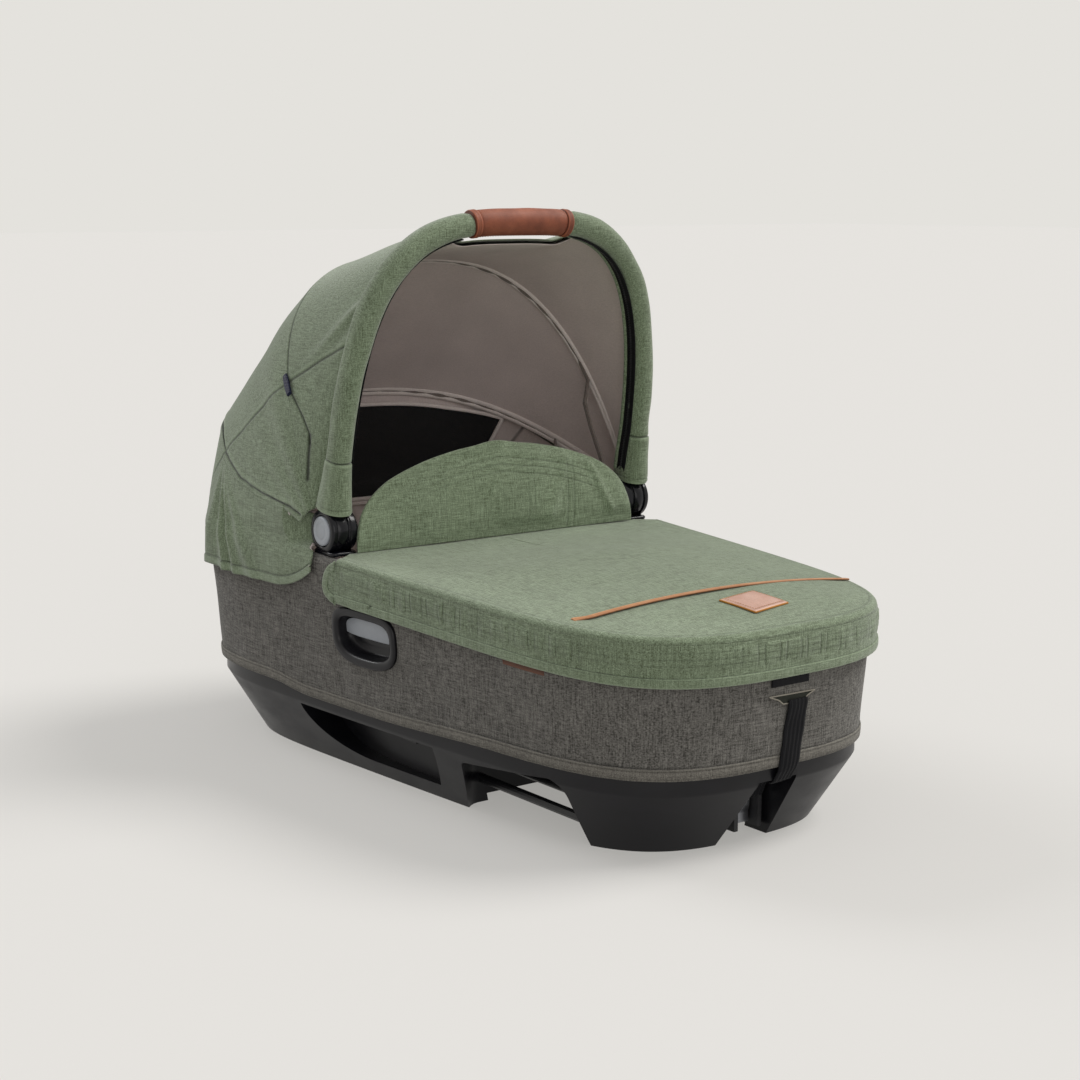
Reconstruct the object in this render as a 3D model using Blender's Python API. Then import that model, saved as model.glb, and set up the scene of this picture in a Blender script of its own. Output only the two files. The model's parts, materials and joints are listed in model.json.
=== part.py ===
"""A carrycot with a folding hood, a boot cover and a docking base, built from separate pieces.

Metres, +Z up. +X points to the foot end, +Y to the far side, and the origin is on the
ground under the middle of the whole object. Every piece is its own object.
"""

import math

import bmesh
import bpy
import numpy as np
from mathutils import Matrix, Vector

# Overall sizes
OVERALL_LENGTH = 0.850
BODY_WIDTH = 0.4394
TAPER_SHARE = 0.1308
WAIST_SHARE = 0.0267
END_ROUNDNESS = 7.0
SIDE_ROUNDNESS = 2.89
RIM_HEIGHT = 0.2385
RIM_FALL_SHARE = 0.0447

# Clearances
SEAT_GAP = 0.0003
FACE_GAP = 0.0005
CUT_OVERRUN = 0.010
MERGE_DISTANCE = 0.000005
MERGE_SHARE = 0.05

# How finely round shapes are divided
PLAN_POINTS = 56
LEG_POINTS = 12
GRIP_POINTS = 5
SLEEVE_FLARE_COUNT = 2
ROUND_SIDES = 18
SMALL_SIDES = 12
RIM_SIDES = 6
RIB_POINTS = 31

# Fabric and shell thicknesses, from the outside inwards
BAND_THICKNESS = 0.0030
COVER_THICKNESS = 0.0020
TUB_WALL = 0.0035
WALL_SPACE = 0.0170
LINER_WALL = 0.0050

# Heights of the layers
BASE_HEIGHT = 0.0900
HEM_HEIGHT = 0.0840
COVER_LEAN = 0.0110
RIM_RADIUS = 0.0050
TUB_FLOOR = 0.0035
LINER_FLOOR = 0.0020
MATTRESS_HEIGHT = 0.0300
MATTRESS_CROWN_RUN = 0.0900
MATTRESS_SECTION_SHARES = (
    (0.06, 0.0),
    (0.0, 0.22),
    (0.0, 0.55),
    (0.10, 0.82),
    (0.45, 0.95),
    (1.0, 1.0),
)

# Base moulding
BASE_WALL = 0.0040
BASE_FLANGE = 0.0340
BASE_FLANGE_HEIGHT = 0.0040
BASE_END_INSET = 0.0570
BASE_SIDE_INSET = 0.0460
BASE_LEDGE_HEIGHT = 0.0660
BASE_NECK_INSET = COVER_LEAN + COVER_THICKNESS + 4 * SEAT_GAP
BASE_LEDGE_INSET = BASE_NECK_INSET + 5 * SEAT_GAP
BASE_NECK_RISE = 0.0030
ARCH_HEIGHT = 0.0706
ARCH_REAR_HEIGHT = 0.0580
ARCH_LENGTH = 0.1810
ARCH_FOOT_INSET = 0.1340
ARCH_FRONT_X = OVERALL_LENGTH / 2 - ARCH_FOOT_INSET
ARCH_REAR_X = ARCH_FRONT_X - ARCH_LENGTH
ARCH_CORNER = 0.0180
POCKET_LENGTH = 0.2420
POCKET_POST = 0.0130
POCKET_FRONT_X = ARCH_REAR_X - POCKET_POST
POCKET_REAR_X = POCKET_FRONT_X - POCKET_LENGTH
POCKET_TOP = 0.0640
POCKET_BOTTOM = 0.0170
POCKET_CURVE_LENGTH = 0.1150
POCKET_DEPTH = 0.0537
POCKET_FLOOR_Y = BODY_WIDTH / 2 - POCKET_DEPTH
NOTCH_WIDTH = 0.0410
NOTCH_DEPTH = 0.0940

# Docking rods and the lock in the notch
ROD_RADIUS = 0.0050
ROD_INSET = 0.0757
ROD_Y = BODY_WIDTH / 2 - ROD_INSET
ROD_HEIGHT = 0.0260
ROD_GRIP_LENGTH = 0.0080
INNER_ROD_RADIUS = 0.0040
INNER_ROD_INSET = 0.1017
INNER_ROD_Y = BODY_WIDTH / 2 - INNER_ROD_INSET
INNER_ROD_HEIGHT = 0.0360
LOCK_WIDTH = 0.0360
LOCK_LENGTH = 0.0340
LOCK_CHEEK = 0.0050
LOCK_BOTTOM = 0.0080
LOCK_PIN_RADIUS = 0.0030
LOCK_PIN_HEIGHT = 0.0420
HOOK_WIDTH = 0.0220
HOOK_ARM = 0.0068
HOOK_TOE = 0.0122

# Hood pivots
HUB_HEAD_INSET = 0.3450
HUB_X = HUB_HEAD_INSET - OVERALL_LENGTH / 2
HUB_LIFT = 0.0295
HUB_HEIGHT = RIM_HEIGHT + HUB_LIFT
HUB_RADIUS = 0.0205
DRUM_INSET = 0.0012
DRUM_OUTER_Y = BODY_WIDTH / 2 - DRUM_INSET
DRUM_WIDTH = 0.0205
CHEEK_WIDTH = 0.0115
EYELET_WIDTH = 0.0032
EYELET_RADIUS = 0.0085
PIN_RADIUS = 0.0040
PIN_HEAD_RADIUS = 0.0065
PIN_HEAD_WIDTH = 0.0020
BUTTON_RADIUS = 0.0160
BUTTON_WIDTH = 0.0060
BUTTON_PROUD = 0.0015
BUTTON_TRAVEL = 0.0040
BUTTON_SPRING_WIRE = 0.0012
SADDLE_HEIGHT = 0.0030

# Front bow, which is also the carrying handle
BOW_LEAN_DEGREES = 10.6
BOW_RISE = 0.3330
BOW_INSET = 0.0147
BOW_HALF_WIDTH = BODY_WIDTH / 2 - BOW_INSET
BOW_SQUARENESS = 3.3
TUBE_DEPTH = 0.0200
TUBE_THICKNESS = 0.0130
SLEEVE_DEPTH = 0.0290
SLEEVE_THICKNESS = 0.0260
SLEEVE_FLARE = 0.0075
SLEEVE_FLARE_THICKNESS = 0.0040
SOCKET_NECK_RISE = 0.0450
SLEEVE_START_RISE = 0.0220
GRIP_LENGTH = 0.1300
GRIP_BAND_LENGTH = 0.0080
GRIP_THICKNESS = 0.0285
GRIP_BAND_EXTRA = 0.0012
ZIP_WIDTH = 0.0080
ZIP_THICKNESS = 0.0012
ZIP_START_RISE = 0.0950

# Hood ribs
UPPER_RIB_LEAN_DEGREES = -29.0
UPPER_RIB_RISE = 0.3205
UPPER_RIB_INSET = 0.0047
UPPER_RIB_HALF_WIDTH = BODY_WIDTH / 2 - UPPER_RIB_INSET
UPPER_RIB_SQUARENESS = 2.85
LOWER_RIB_LEAN_DEGREES = -72.0
LOWER_RIB_END_INSET = 0.0083
LOWER_RIB_RISE = (HUB_HEAD_INSET - LOWER_RIB_END_INSET) / math.sin(math.radians(-LOWER_RIB_LEAN_DEGREES))
LOWER_RIB_OUTSET = 0.0043
LOWER_RIB_HALF_WIDTH = BODY_WIDTH / 2 + LOWER_RIB_OUTSET
LOWER_RIB_SQUARENESS = 3.3
RIB_THICKNESS = 0.0026
RIB_WIDTH = 0.0050
RIB_FABRIC_CLEARANCE = 0.0028
RIB_FLARE_START = 0.1150
RIB_FLARE_END = 0.1650

# Hood fabric
CANOPY_THICKNESS = 0.0026
CANOPY_START_RISE = 0.0300
FRONT_PANEL_START_RISE = 0.0620
FRONT_PANEL_SKIP_COUNT = 1
CANOPY_SEAM_GAP = 0.0040
CANOPY_BULGE = 0.0040
GRID_GAP_SHARE = 0.4
BOW_FABRIC_GAP = 0.0010
HAND_SLOT_HEIGHT = 0.0220
HAND_SLOT_WIDTH = 0.1200
HAND_SLOT_CORNER = 0.0500
SKIRT_HUB_GAP = 0.0260
SKIRT_START_X = HUB_X - SKIRT_HUB_GAP
SKIRT_HEM_HEIGHT = 0.2000
SKIRT_HEM_RISE = 0.0240
SKIRT_HEM_CURVE = 0.0750
SKIRT_SHOULDER = 0.0060
WINDOW_THICKNESS = 0.0010
WINDOW_CLEARANCE = 0.0022
WINDOW_SPAN_SHARES = (0.10, 0.86)
WINDOW_SIDE_SHARE = 0.26
SKIRT_BULGE = 0.0010
FOLD_DEPTH = 0.0030
FOLD_COUNT = 3
FOLD_STATION_COUNT = 2
HOOD_TAG_WIDTH = 0.0080
HOOD_TAG_LENGTH = 0.0240
HOOD_TAG_PLACE_SHARE = 0.18

# Boot cover
APRON_HUB_GAP = 0.0240
APRON_START_X = HUB_X + APRON_HUB_GAP
APRON_BAND_HUB_GAP = 0.0160
APRON_BAND_START_X = HUB_X + APRON_BAND_HUB_GAP
APRON_BAND_HEIGHT = 0.0400
APRON_CORNER = 0.0280
APRON_CROWN = 0.0140
APRON_SPINE_SHARE = 0.60
APRON_REAR_SHARE = 0.35
APRON_BAND_SHARES = (1.0, 0.5, 0.0)
APRON_ROW_SHARES = (0.03, 0.12, 0.35, 0.65, 1.0)
BINDING_THICKNESS = 0.0012
BINDING_HEIGHT = 0.0120
FLAP_HEIGHT = 0.1070
FLAP_INSET = 0.0297
FLAP_HALF_WIDTH = BODY_WIDTH / 2 - FLAP_INSET
FLAP_THICKNESS = 0.0040
FLAP_SEAM_THICKNESS = 0.0008
FLAP_SEAM_RUN = 0.0200
FLAP_LEAN_DEGREES = -6.0
FLAP_ROUNDNESS = 2.30
FLAP_HUB_CLEARANCE = 0.0050
FLAP_LEVEL_SHARES = (0.0, 0.3, 0.65, 1.0)
TRIM_FOOT_INSET = 0.1160
TRIM_X = OVERALL_LENGTH / 2 - TRIM_FOOT_INSET
TRIM_WIDTH = 0.0070
TRIM_THICKNESS = 0.0012
BADGE_FOOT_INSET = 0.0570
BADGE_X = OVERALL_LENGTH / 2 - BADGE_FOOT_INSET
BADGE_LENGTH = 0.0440
BADGE_WIDTH = 0.0560
BADGE_THICKNESS = 0.0016

# Fittings on the sides and at the foot end
ADAPTER_X = 0.0000
ADAPTER_HEIGHT = 0.1630
ADAPTER_WIDTH = 0.1120
ADAPTER_TALL = 0.0620
ADAPTER_RING = 0.0100
ADAPTER_PROUD = 0.0050
ADAPTER_DEPTH = 0.0180
ADAPTER_CUP_WALL = 0.0020
ADAPTER_SQUARENESS = 2.6
ADAPTER_UPPER_SQUARENESS = 4.0
LEVER_HEIGHT = 0.0170
LEVER_THICKNESS = 0.0060
LEVER_TRAVEL = 0.0060
LEVER_SIDE_GAP = 0.0012
LATCH_WIDTH = 0.0260
LATCH_HEIGHT = 0.0100
LATCH_PROUD = 0.0080
LATCH_TRAVEL = 0.0070
LATCH_POST_GAP = 0.0770
LATCH_X = POCKET_FRONT_X - LATCH_POST_GAP
SIDE_LABEL_FOOT_INSET = 0.1700
SIDE_LABEL_X = OVERALL_LENGTH / 2 - SIDE_LABEL_FOOT_INSET
SIDE_LABEL_LENGTH = 0.0560
SIDE_LABEL_HEIGHT = 0.0080
SIDE_LABEL_THICKNESS = 0.0010
SIDE_LABEL_OVERLAP = 0.0010
STRAP_WIDTH = 0.0240
STRAP_THICKNESS = 0.0016
STRAP_TOP = 0.1480
STRAP_HEM_CLEARANCE = 0.0040
SLOT_PATCH_WIDTH = 0.0580
SLOT_PATCH_HEIGHT = 0.0100
SLOT_PATCH_THICKNESS = 0.0010
FASTENER_WIDTH = 0.0490
FASTENER_HEIGHT = 0.0120
FASTENER_THICKNESS = 0.0016
SCREW_HEAD_RADIUS = 0.0045
SCREW_TIP_RADIUS = 0.0032
SCREW_HEAD_HEIGHT = 0.0024
SCREW_PLACE_SHARES = (-0.62, 0.12)


# Materials


def make_material(name, colour, roughness, metallic=0.0):
    """A Principled material with one colour in linear RGB."""
    material = bpy.data.materials.new(name)
    material.use_nodes = True
    shader = material.node_tree.nodes["Principled BSDF"]
    shader.inputs["Base Color"].default_value = (*colour, 1.0)
    shader.inputs["Roughness"].default_value = roughness
    shader.inputs["Metallic"].default_value = metallic
    return material


def make_materials():
    return {
        "green_fabric": make_material("green_fabric", (0.165, 0.270, 0.175), 0.92),
        "grey_fabric": make_material("grey_fabric", (0.090, 0.082, 0.072), 0.94),
        "taupe_lining": make_material("taupe_lining", (0.170, 0.138, 0.122), 0.80),
        "black_plastic": make_material("black_plastic", (0.018, 0.017, 0.020), 0.42),
        "black_mesh": make_material("black_mesh", (0.008, 0.007, 0.008), 0.60),
        "black_webbing": make_material("black_webbing", (0.010, 0.010, 0.013), 0.80),
        "brown_leather": make_material("brown_leather", (0.240, 0.070, 0.032), 0.48),
        "tan_leather": make_material("tan_leather", (0.540, 0.235, 0.095), 0.55),
        "light_grey_plastic": make_material("light_grey_plastic", (0.370, 0.395, 0.430), 0.45),
        "aluminium": make_material("aluminium", (0.560, 0.560, 0.570), 0.35, 1.0),
        "dark_steel": make_material("dark_steel", (0.030, 0.030, 0.032), 0.35, 1.0),
        "bright_steel": make_material("bright_steel", (0.450, 0.450, 0.460), 0.30, 1.0),
        "hidden_plastic": make_material("hidden_plastic", (0.050, 0.050, 0.052), 0.60),
        "mattress_cover": make_material("mattress_cover", (0.560, 0.540, 0.510), 0.90),
        "navy_tag": make_material("navy_tag", (0.012, 0.016, 0.050), 0.60),
        "pale_stitch": make_material("pale_stitch", (0.300, 0.290, 0.270), 0.80),
    }


# Mesh helpers


def link_mesh(name, mesh, material=None):
    obj = bpy.data.objects.new(name, mesh)
    bpy.context.scene.collection.objects.link(obj)
    if material is not None:
        mesh.materials.append(material)
    return obj


def finish_bmesh(name, bm, material, smooth_degrees=40.0):
    """Turns a bmesh into an object whose faces point outwards."""
    bmesh.ops.remove_doubles(bm, verts=bm.verts, dist=MERGE_DISTANCE)
    bmesh.ops.dissolve_degenerate(bm, edges=bm.edges, dist=MERGE_DISTANCE)
    bmesh.ops.recalc_face_normals(bm, faces=bm.faces)
    mesh = bpy.data.meshes.new(name)
    bm.to_mesh(mesh)
    bm.free()
    mesh.shade_smooth()
    mesh.set_sharp_from_angle(angle=math.radians(smooth_degrees))
    return link_mesh(name, mesh, material)


def bridge(bm, first, second, closed):
    """Quads between two rows of vertices."""
    count = len(first)
    last = count if closed else count - 1
    for i in range(last):
        j = (i + 1) % count
        corners = [first[i], first[j], second[j], second[i]]
        unique = []
        for vert in corners:
            if vert not in unique:
                unique.append(vert)
        if len(unique) > 2:
            bm.faces.new(unique)


def loft(name, rings, material, capped=True, smooth_degrees=40.0):
    """A solid through closed rings: capped at both ends, or joined end to end."""
    bm = bmesh.new()
    rows = [[bm.verts.new(point) for point in ring] for ring in rings]
    for first, second in zip(rows, rows[1:]):
        bridge(bm, first, second, True)
    if capped:
        bm.faces.new(rows[0])
        bm.faces.new(rows[-1])
    else:
        bridge(bm, rows[-1], rows[0], True)
    return finish_bmesh(name, bm, material, smooth_degrees)


def thick_sheet(name, outer, inner, material, smooth_degrees=40.0):
    """A closed solid between two open grids of points that match."""
    bm = bmesh.new()
    top, bottom = [[[bm.verts.new(p) for p in row] for row in grid] for grid in (outer, inner)]
    for rows in (top, bottom):
        for first, second in zip(rows, rows[1:]):
            bridge(bm, first, second, False)
    edges = [
        (top[0], bottom[0]),
        (top[-1], bottom[-1]),
        ([row[0] for row in top], [row[0] for row in bottom]),
        ([row[-1] for row in top], [row[-1] for row in bottom]),
    ]
    for first, second in edges:
        bridge(bm, first, second, False)
    return finish_bmesh(name, bm, material, smooth_degrees)


def prism(name, outline, low, high, place, material=None):
    """A flat outline extruded between two distances. place(u, v, w) gives each point."""
    rings = [[place(u, v, w) for u, v in outline] for w in (low, high)]
    return loft(name, rings, material)


def box(name, low, high, material=None):
    corners = [(low[0], low[1]), (high[0], low[1]), (high[0], high[1]), (low[0], high[1])]
    return prism(name, corners, low[2], high[2], lambda u, v, w: (u, v, w), material)


def turned(name, profile, centre_x, centre_z, sides, material=None, closed_bore=True):
    """A profile of (y, radius) pairs turned about an axis along Y."""
    rings = []
    for y, radius in profile:
        ring = []
        for k in range(sides):
            angle = math.tau * (k + 0.5) / sides
            ring.append(
                (
                    centre_x + radius * math.cos(angle),
                    y,
                    centre_z + radius * math.sin(angle),
                )
            )
        rings.append(ring)
    return loft(name, rings, material, capped=closed_bore)


def combine(target, other, operation):
    """Applies an exact Boolean and removes the other object."""
    modifier = target.modifiers.new("combine", "BOOLEAN")
    modifier.operation = operation
    modifier.solver = "EXACT"
    modifier.object = other
    graph = bpy.context.evaluated_depsgraph_get()
    graph.update()
    mesh = bpy.data.meshes.new_from_object(target.evaluated_get(graph))
    target.modifiers.remove(modifier)
    materials = list(target.data.materials)
    target.data = mesh
    mesh.materials.clear()
    for material in materials:
        mesh.materials.append(material)
    mesh.polygons.foreach_set("material_index", [0] * len(mesh.polygons))
    bpy.data.objects.remove(other)


def cut(target, cutter):
    combine(target, cutter, "DIFFERENCE")


def join(target, other):
    combine(target, other, "UNION")


def set_origin(obj, point):
    """Moves the object's origin to a point without moving its shape."""
    obj.data.transform(Matrix.Translation(-Vector(point)))
    obj.location = point


def side_name(stem, side):
    return f"{stem}_{'left' if side < 0 else 'right'}"


# Plan outline of the body


def half_width_at(share, half_width):
    return half_width * (1.0 - TAPER_SHARE * share - WAIST_SHARE * share * share)


def plan_point(angle, half_length, half_width):
    """A point of the rounded, tapering outline, in which +X is the foot end."""
    c = math.cos(angle)
    s = math.sin(angle)
    x_share = math.copysign(abs(c) ** (2.0 / END_ROUNDNESS), c)
    y_share = math.copysign(abs(s) ** (2.0 / SIDE_ROUNDNESS), s)
    return half_length * x_share, half_width_at(x_share, half_width) * y_share


BODY_HALF_LENGTH = OVERALL_LENGTH / 2 - BAND_THICKNESS - FACE_GAP
BODY_HALF_WIDTH = BODY_WIDTH / 2


def even_angles(count):
    """Angles that space the outline's points evenly, symmetric about the X axis."""
    fine_count = 4000
    fine = [math.pi * k / fine_count for k in range(fine_count + 1)]
    points = np.array([plan_point(a, BODY_HALF_LENGTH, BODY_HALF_WIDTH) for a in fine])
    steps = np.linalg.norm(np.diff(points, axis=0), axis=1)
    travelled = np.concatenate([[0.0], np.cumsum(steps)])
    wanted = np.linspace(0.0, travelled[-1], count // 2 + 1)
    half = list(np.interp(wanted, travelled, fine))
    return half + [math.tau - a for a in reversed(half[1:-1])]


PLAN_ANGLES = even_angles(PLAN_POINTS)


def rim_height_at(x):
    """Height of the top of the rim, which falls towards the foot end."""
    return RIM_HEIGHT - RIM_FALL_SHARE * x


def lean_inset(z):
    """How far the body's side leans in below the rim."""
    return COVER_LEAN * max(0.0, RIM_HEIGHT - z) / (RIM_HEIGHT - HEM_HEIGHT)


def plan_ring(end_inset, side_inset, height, stations=None):
    """Points of the outline drawn in by the two insets. height is a value or a function of x.

    A station is a place along the outline, counted in points from the foot end towards the
    far side. Between two points it lies on the straight edge, so all layers share their facets.
    """
    corners = [
        plan_point(a, BODY_HALF_LENGTH - end_inset, BODY_HALF_WIDTH - side_inset)
        for a in PLAN_ANGLES
    ]
    ring = []
    for station in range(PLAN_POINTS) if stations is None else stations:
        low = math.floor(station)
        share = station - low
        x0, y0 = corners[low % PLAN_POINTS]
        x1, y1 = corners[(low + 1) % PLAN_POINTS]
        x = x0 + (x1 - x0) * share
        y = y0 + (y1 - y0) * share
        z = height(x) if callable(height) else height
        ring.append((x, y, z))
    return ring


def body_ring(offset_in, height, stations=None):
    """A ring of the body's leaning side, drawn in by offset_in."""
    flat = plan_ring(offset_in, offset_in, height, stations)
    leaning = []
    for x, y, z in flat:
        share = 1.0 - lean_inset(z) / BODY_HALF_WIDTH
        length_share = 1.0 - lean_inset(z) / BODY_HALF_LENGTH
        leaning.append((x * length_share, y * share, z))
    return leaning


def station_at(x):
    """Station on the far side where the outline passes x."""
    corners = plan_ring(0.0, 0.0, 0.0)
    for k in range(PLAN_POINTS // 2):
        x0, x1 = corners[k][0], corners[k + 1][0]
        if x0 >= x >= x1 and x0 > x1:
            return k + (x0 - x) / (x0 - x1)
    return PLAN_POINTS / 2


def stations_between(first, last):
    """Whole stations between two places, with the places themselves at the ends."""
    whole = [k for k in range(math.ceil(first), math.floor(last) + 1)]
    inside = [k for k in whole if first + MERGE_SHARE < k < last - MERGE_SHARE]
    return [first] + inside + [last]


def body_half_width(x, z):
    """Half width of the cover's outer face at a place along one side."""
    share = x / BODY_HALF_LENGTH
    flat = half_width_at(share, BODY_HALF_WIDTH)
    flat *= (1.0 - abs(share) ** END_ROUNDNESS) ** (1.0 / SIDE_ROUNDNESS)
    return flat * (1.0 - lean_inset(z) / BODY_HALF_WIDTH)


def body_end_x(z):
    """X of the cover's outer face at the middle of the foot end."""
    return BODY_HALF_LENGTH - lean_inset(z)


# Base moulding


def pocket_outline(grow):
    """Side view of a base pocket: a long wedge with a curved rear edge, grown by its wall."""
    rear = POCKET_REAR_X - grow
    front = POCKET_FRONT_X + grow
    top = POCKET_TOP + grow
    bottom = POCKET_BOTTOM - grow
    points = [(front, bottom), (front, top), (rear, top)]
    steps = 5
    for k in range(1, steps + 1):
        angle = math.pi / 2 * k / steps
        points.append(
            (
                rear + POCKET_CURVE_LENGTH * (1.0 - math.cos(angle)),
                top - (top - bottom) * math.sin(angle),
            )
        )
    return points


def side_prism(name, outline, side, inner_y, outer_y):
    """Extrudes a side view outline in Y, on one side of the body."""
    return prism(name, outline, inner_y, outer_y, lambda u, v, w: (u, side * w, v))


def base_section(extra_inset, low, high):
    """Rings of the base's outer shape, drawn in by a wall, between two heights."""
    levels = [
        (0.0, BASE_END_INSET, BASE_SIDE_INSET),
        (BASE_LEDGE_HEIGHT, BASE_LEDGE_INSET, BASE_LEDGE_INSET),
        (BASE_LEDGE_HEIGHT + BASE_NECK_RISE, BASE_NECK_INSET, BASE_NECK_INSET),
        (BASE_HEIGHT, BASE_NECK_INSET, BASE_NECK_INSET),
    ]
    heights = [z for z, _, _ in levels]
    wanted = [low] + [z for z in heights if low < z < high] + [high]
    rings = []
    for z in wanted:
        end_inset = float(np.interp(z, heights, [e for _, e, _ in levels]))
        side_inset = float(np.interp(z, heights, [s for _, _, s in levels]))
        rings.append(plan_ring(end_inset + extra_inset, side_inset + extra_inset, z))
    return rings


def arch_outline(shift):
    """Side view of the arch under the body between the rear base and the front feet."""
    rear = ARCH_REAR_X - shift
    front = ARCH_FRONT_X + shift
    bevel = ARCH_CORNER / 3
    return [
        (rear, -CUT_OVERRUN),
        (rear, ARCH_REAR_HEIGHT),
        (front - ARCH_CORNER, ARCH_HEIGHT),
        (front - bevel, ARCH_HEIGHT - bevel),
        (front, ARCH_HEIGHT - ARCH_CORNER),
        (front, -CUT_OVERRUN),
    ]


def build_base(materials):
    """The lower moulding: a hollow shell with a bottom flange, pockets, arches and a notch."""
    base = loft("base_shell", base_section(0.0, 0.0, BASE_HEIGHT), materials["black_plastic"])
    roof = BASE_HEIGHT - BASE_WALL
    hollow = loft("hollow", base_section(BASE_WALL, BASE_FLANGE_HEIGHT, roof), None)
    far_y = BODY_HALF_WIDTH + CUT_OVERRUN
    pocket_wall_y = POCKET_FLOOR_Y - BASE_WALL
    end_x = BODY_HALF_LENGTH + CUT_OVERRUN
    notch_x = BODY_HALF_LENGTH - NOTCH_DEPTH
    for side in (-1, 1):
        cut(hollow, side_prism("keep", pocket_outline(BASE_WALL), side, pocket_wall_y, far_y))
    cut(hollow, side_prism("keep", arch_outline(BASE_WALL), 1, -far_y, far_y))
    cut(
        hollow,
        box(
            "keep",
            (notch_x - BASE_WALL, -NOTCH_WIDTH / 2 - BASE_WALL, -CUT_OVERRUN),
            (end_x, NOTCH_WIDTH / 2 + BASE_WALL, ARCH_HEIGHT + BASE_WALL),
        ),
    )
    cut(base, hollow)
    opening_rings = base_section(BASE_FLANGE, 0.0, BASE_FLANGE_HEIGHT + BASE_WALL)
    lowest = [(x, y, -CUT_OVERRUN) for x, y, _ in opening_rings[0]]
    cut(base, loft("opening", [lowest] + opening_rings[1:], None))
    for side in (-1, 1):
        cut(base, side_prism("pocket", pocket_outline(0.0), side, POCKET_FLOOR_Y, far_y))
        latch_slot_top = POCKET_TOP - BASE_WALL
        cut(
            base,
            side_prism(
                "latch slot",
                rectangle(
                    LATCH_X - LATCH_WIDTH / 2 - SEAT_GAP,
                    LATCH_X + LATCH_WIDTH / 2 + SEAT_GAP,
                    latch_slot_top - LATCH_HEIGHT - SEAT_GAP,
                    latch_slot_top + SEAT_GAP,
                ),
                side,
                POCKET_FLOOR_Y - BASE_WALL - CUT_OVERRUN,
                POCKET_FLOOR_Y + CUT_OVERRUN,
            ),
        )
        for radius, y, z in rod_places():
            cut(base, rod_body("rod hole", side, radius + SEAT_GAP, y, z, SEAT_GAP))
    cut(base, side_prism("arch", arch_outline(0.0), 1, -far_y, far_y))
    cut(
        base,
        box(
            "notch",
            (notch_x, -NOTCH_WIDTH / 2, -CUT_OVERRUN),
            (end_x, NOTCH_WIDTH / 2, ARCH_HEIGHT),
        ),
    )
    return base


def rectangle(u0, u1, v0, v1):
    return [(u0, v0), (u1, v0), (u1, v1), (u0, v1)]


def rod_places():
    """Radius, Y and height of the two rods on each side."""
    return [
        (ROD_RADIUS, ROD_Y, ROD_HEIGHT),
        (INNER_ROD_RADIUS, INNER_ROD_Y, INNER_ROD_HEIGHT),
    ]


def rod_body(name, side, radius, y, z, extra, material=None):
    """A round rod along X that bridges the arch and is held in both of its end walls."""
    low_x = ARCH_REAR_X - ROD_GRIP_LENGTH - extra
    high_x = ARCH_FRONT_X + ROD_GRIP_LENGTH + extra
    rings = []
    for x in (low_x, high_x):
        ring = []
        for k in range(SMALL_SIDES):
            angle = math.tau * (k + 0.5) / SMALL_SIDES
            ring.append((x, side * y + radius * math.cos(angle), z + radius * math.sin(angle)))
        rings.append(ring)
    return loft(name, rings, material)


def build_rods(materials):
    names = ["dock_rod", "brace_rod"]
    for side in (-1, 1):
        for stem, (radius, y, z) in zip(names, rod_places()):
            rod_body(side_name(stem, side), side, radius, y, z, 0.0, materials["dark_steel"])


def build_frame_latches(materials):
    """Spring bolts that slide in the base's pockets and hold the pushchair's adapters."""
    top = POCKET_TOP - BASE_WALL
    inner = POCKET_FLOOR_Y - BASE_WALL - CUT_OVERRUN
    outer = POCKET_FLOOR_Y + LATCH_PROUD
    left = LATCH_X - LATCH_WIDTH / 2
    right = LATCH_X + LATCH_WIDTH / 2
    for side in (-1, 1):
        latch = side_prism(
            side_name("frame_latch", side),
            rectangle(left, right, top - LATCH_HEIGHT, top),
            side,
            inner,
            outer,
        )
        latch.data.materials.append(materials["hidden_plastic"])
        set_origin(latch, (LATCH_X, side * POCKET_FLOOR_Y, top - LATCH_HEIGHT / 2))


# Lock in the foot end notch

LOCK_REAR_X = BODY_HALF_LENGTH - NOTCH_DEPTH + SEAT_GAP
LOCK_FRONT_X = LOCK_REAR_X + LOCK_LENGTH
LOCK_PIN_X = (LOCK_REAR_X + LOCK_FRONT_X) / 2


def cylinder_y(name, x, z, radius, low_y, high_y, sides, material=None):
    return turned(name, [(low_y, radius), (high_y, radius)], x, z, sides, material)


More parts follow.
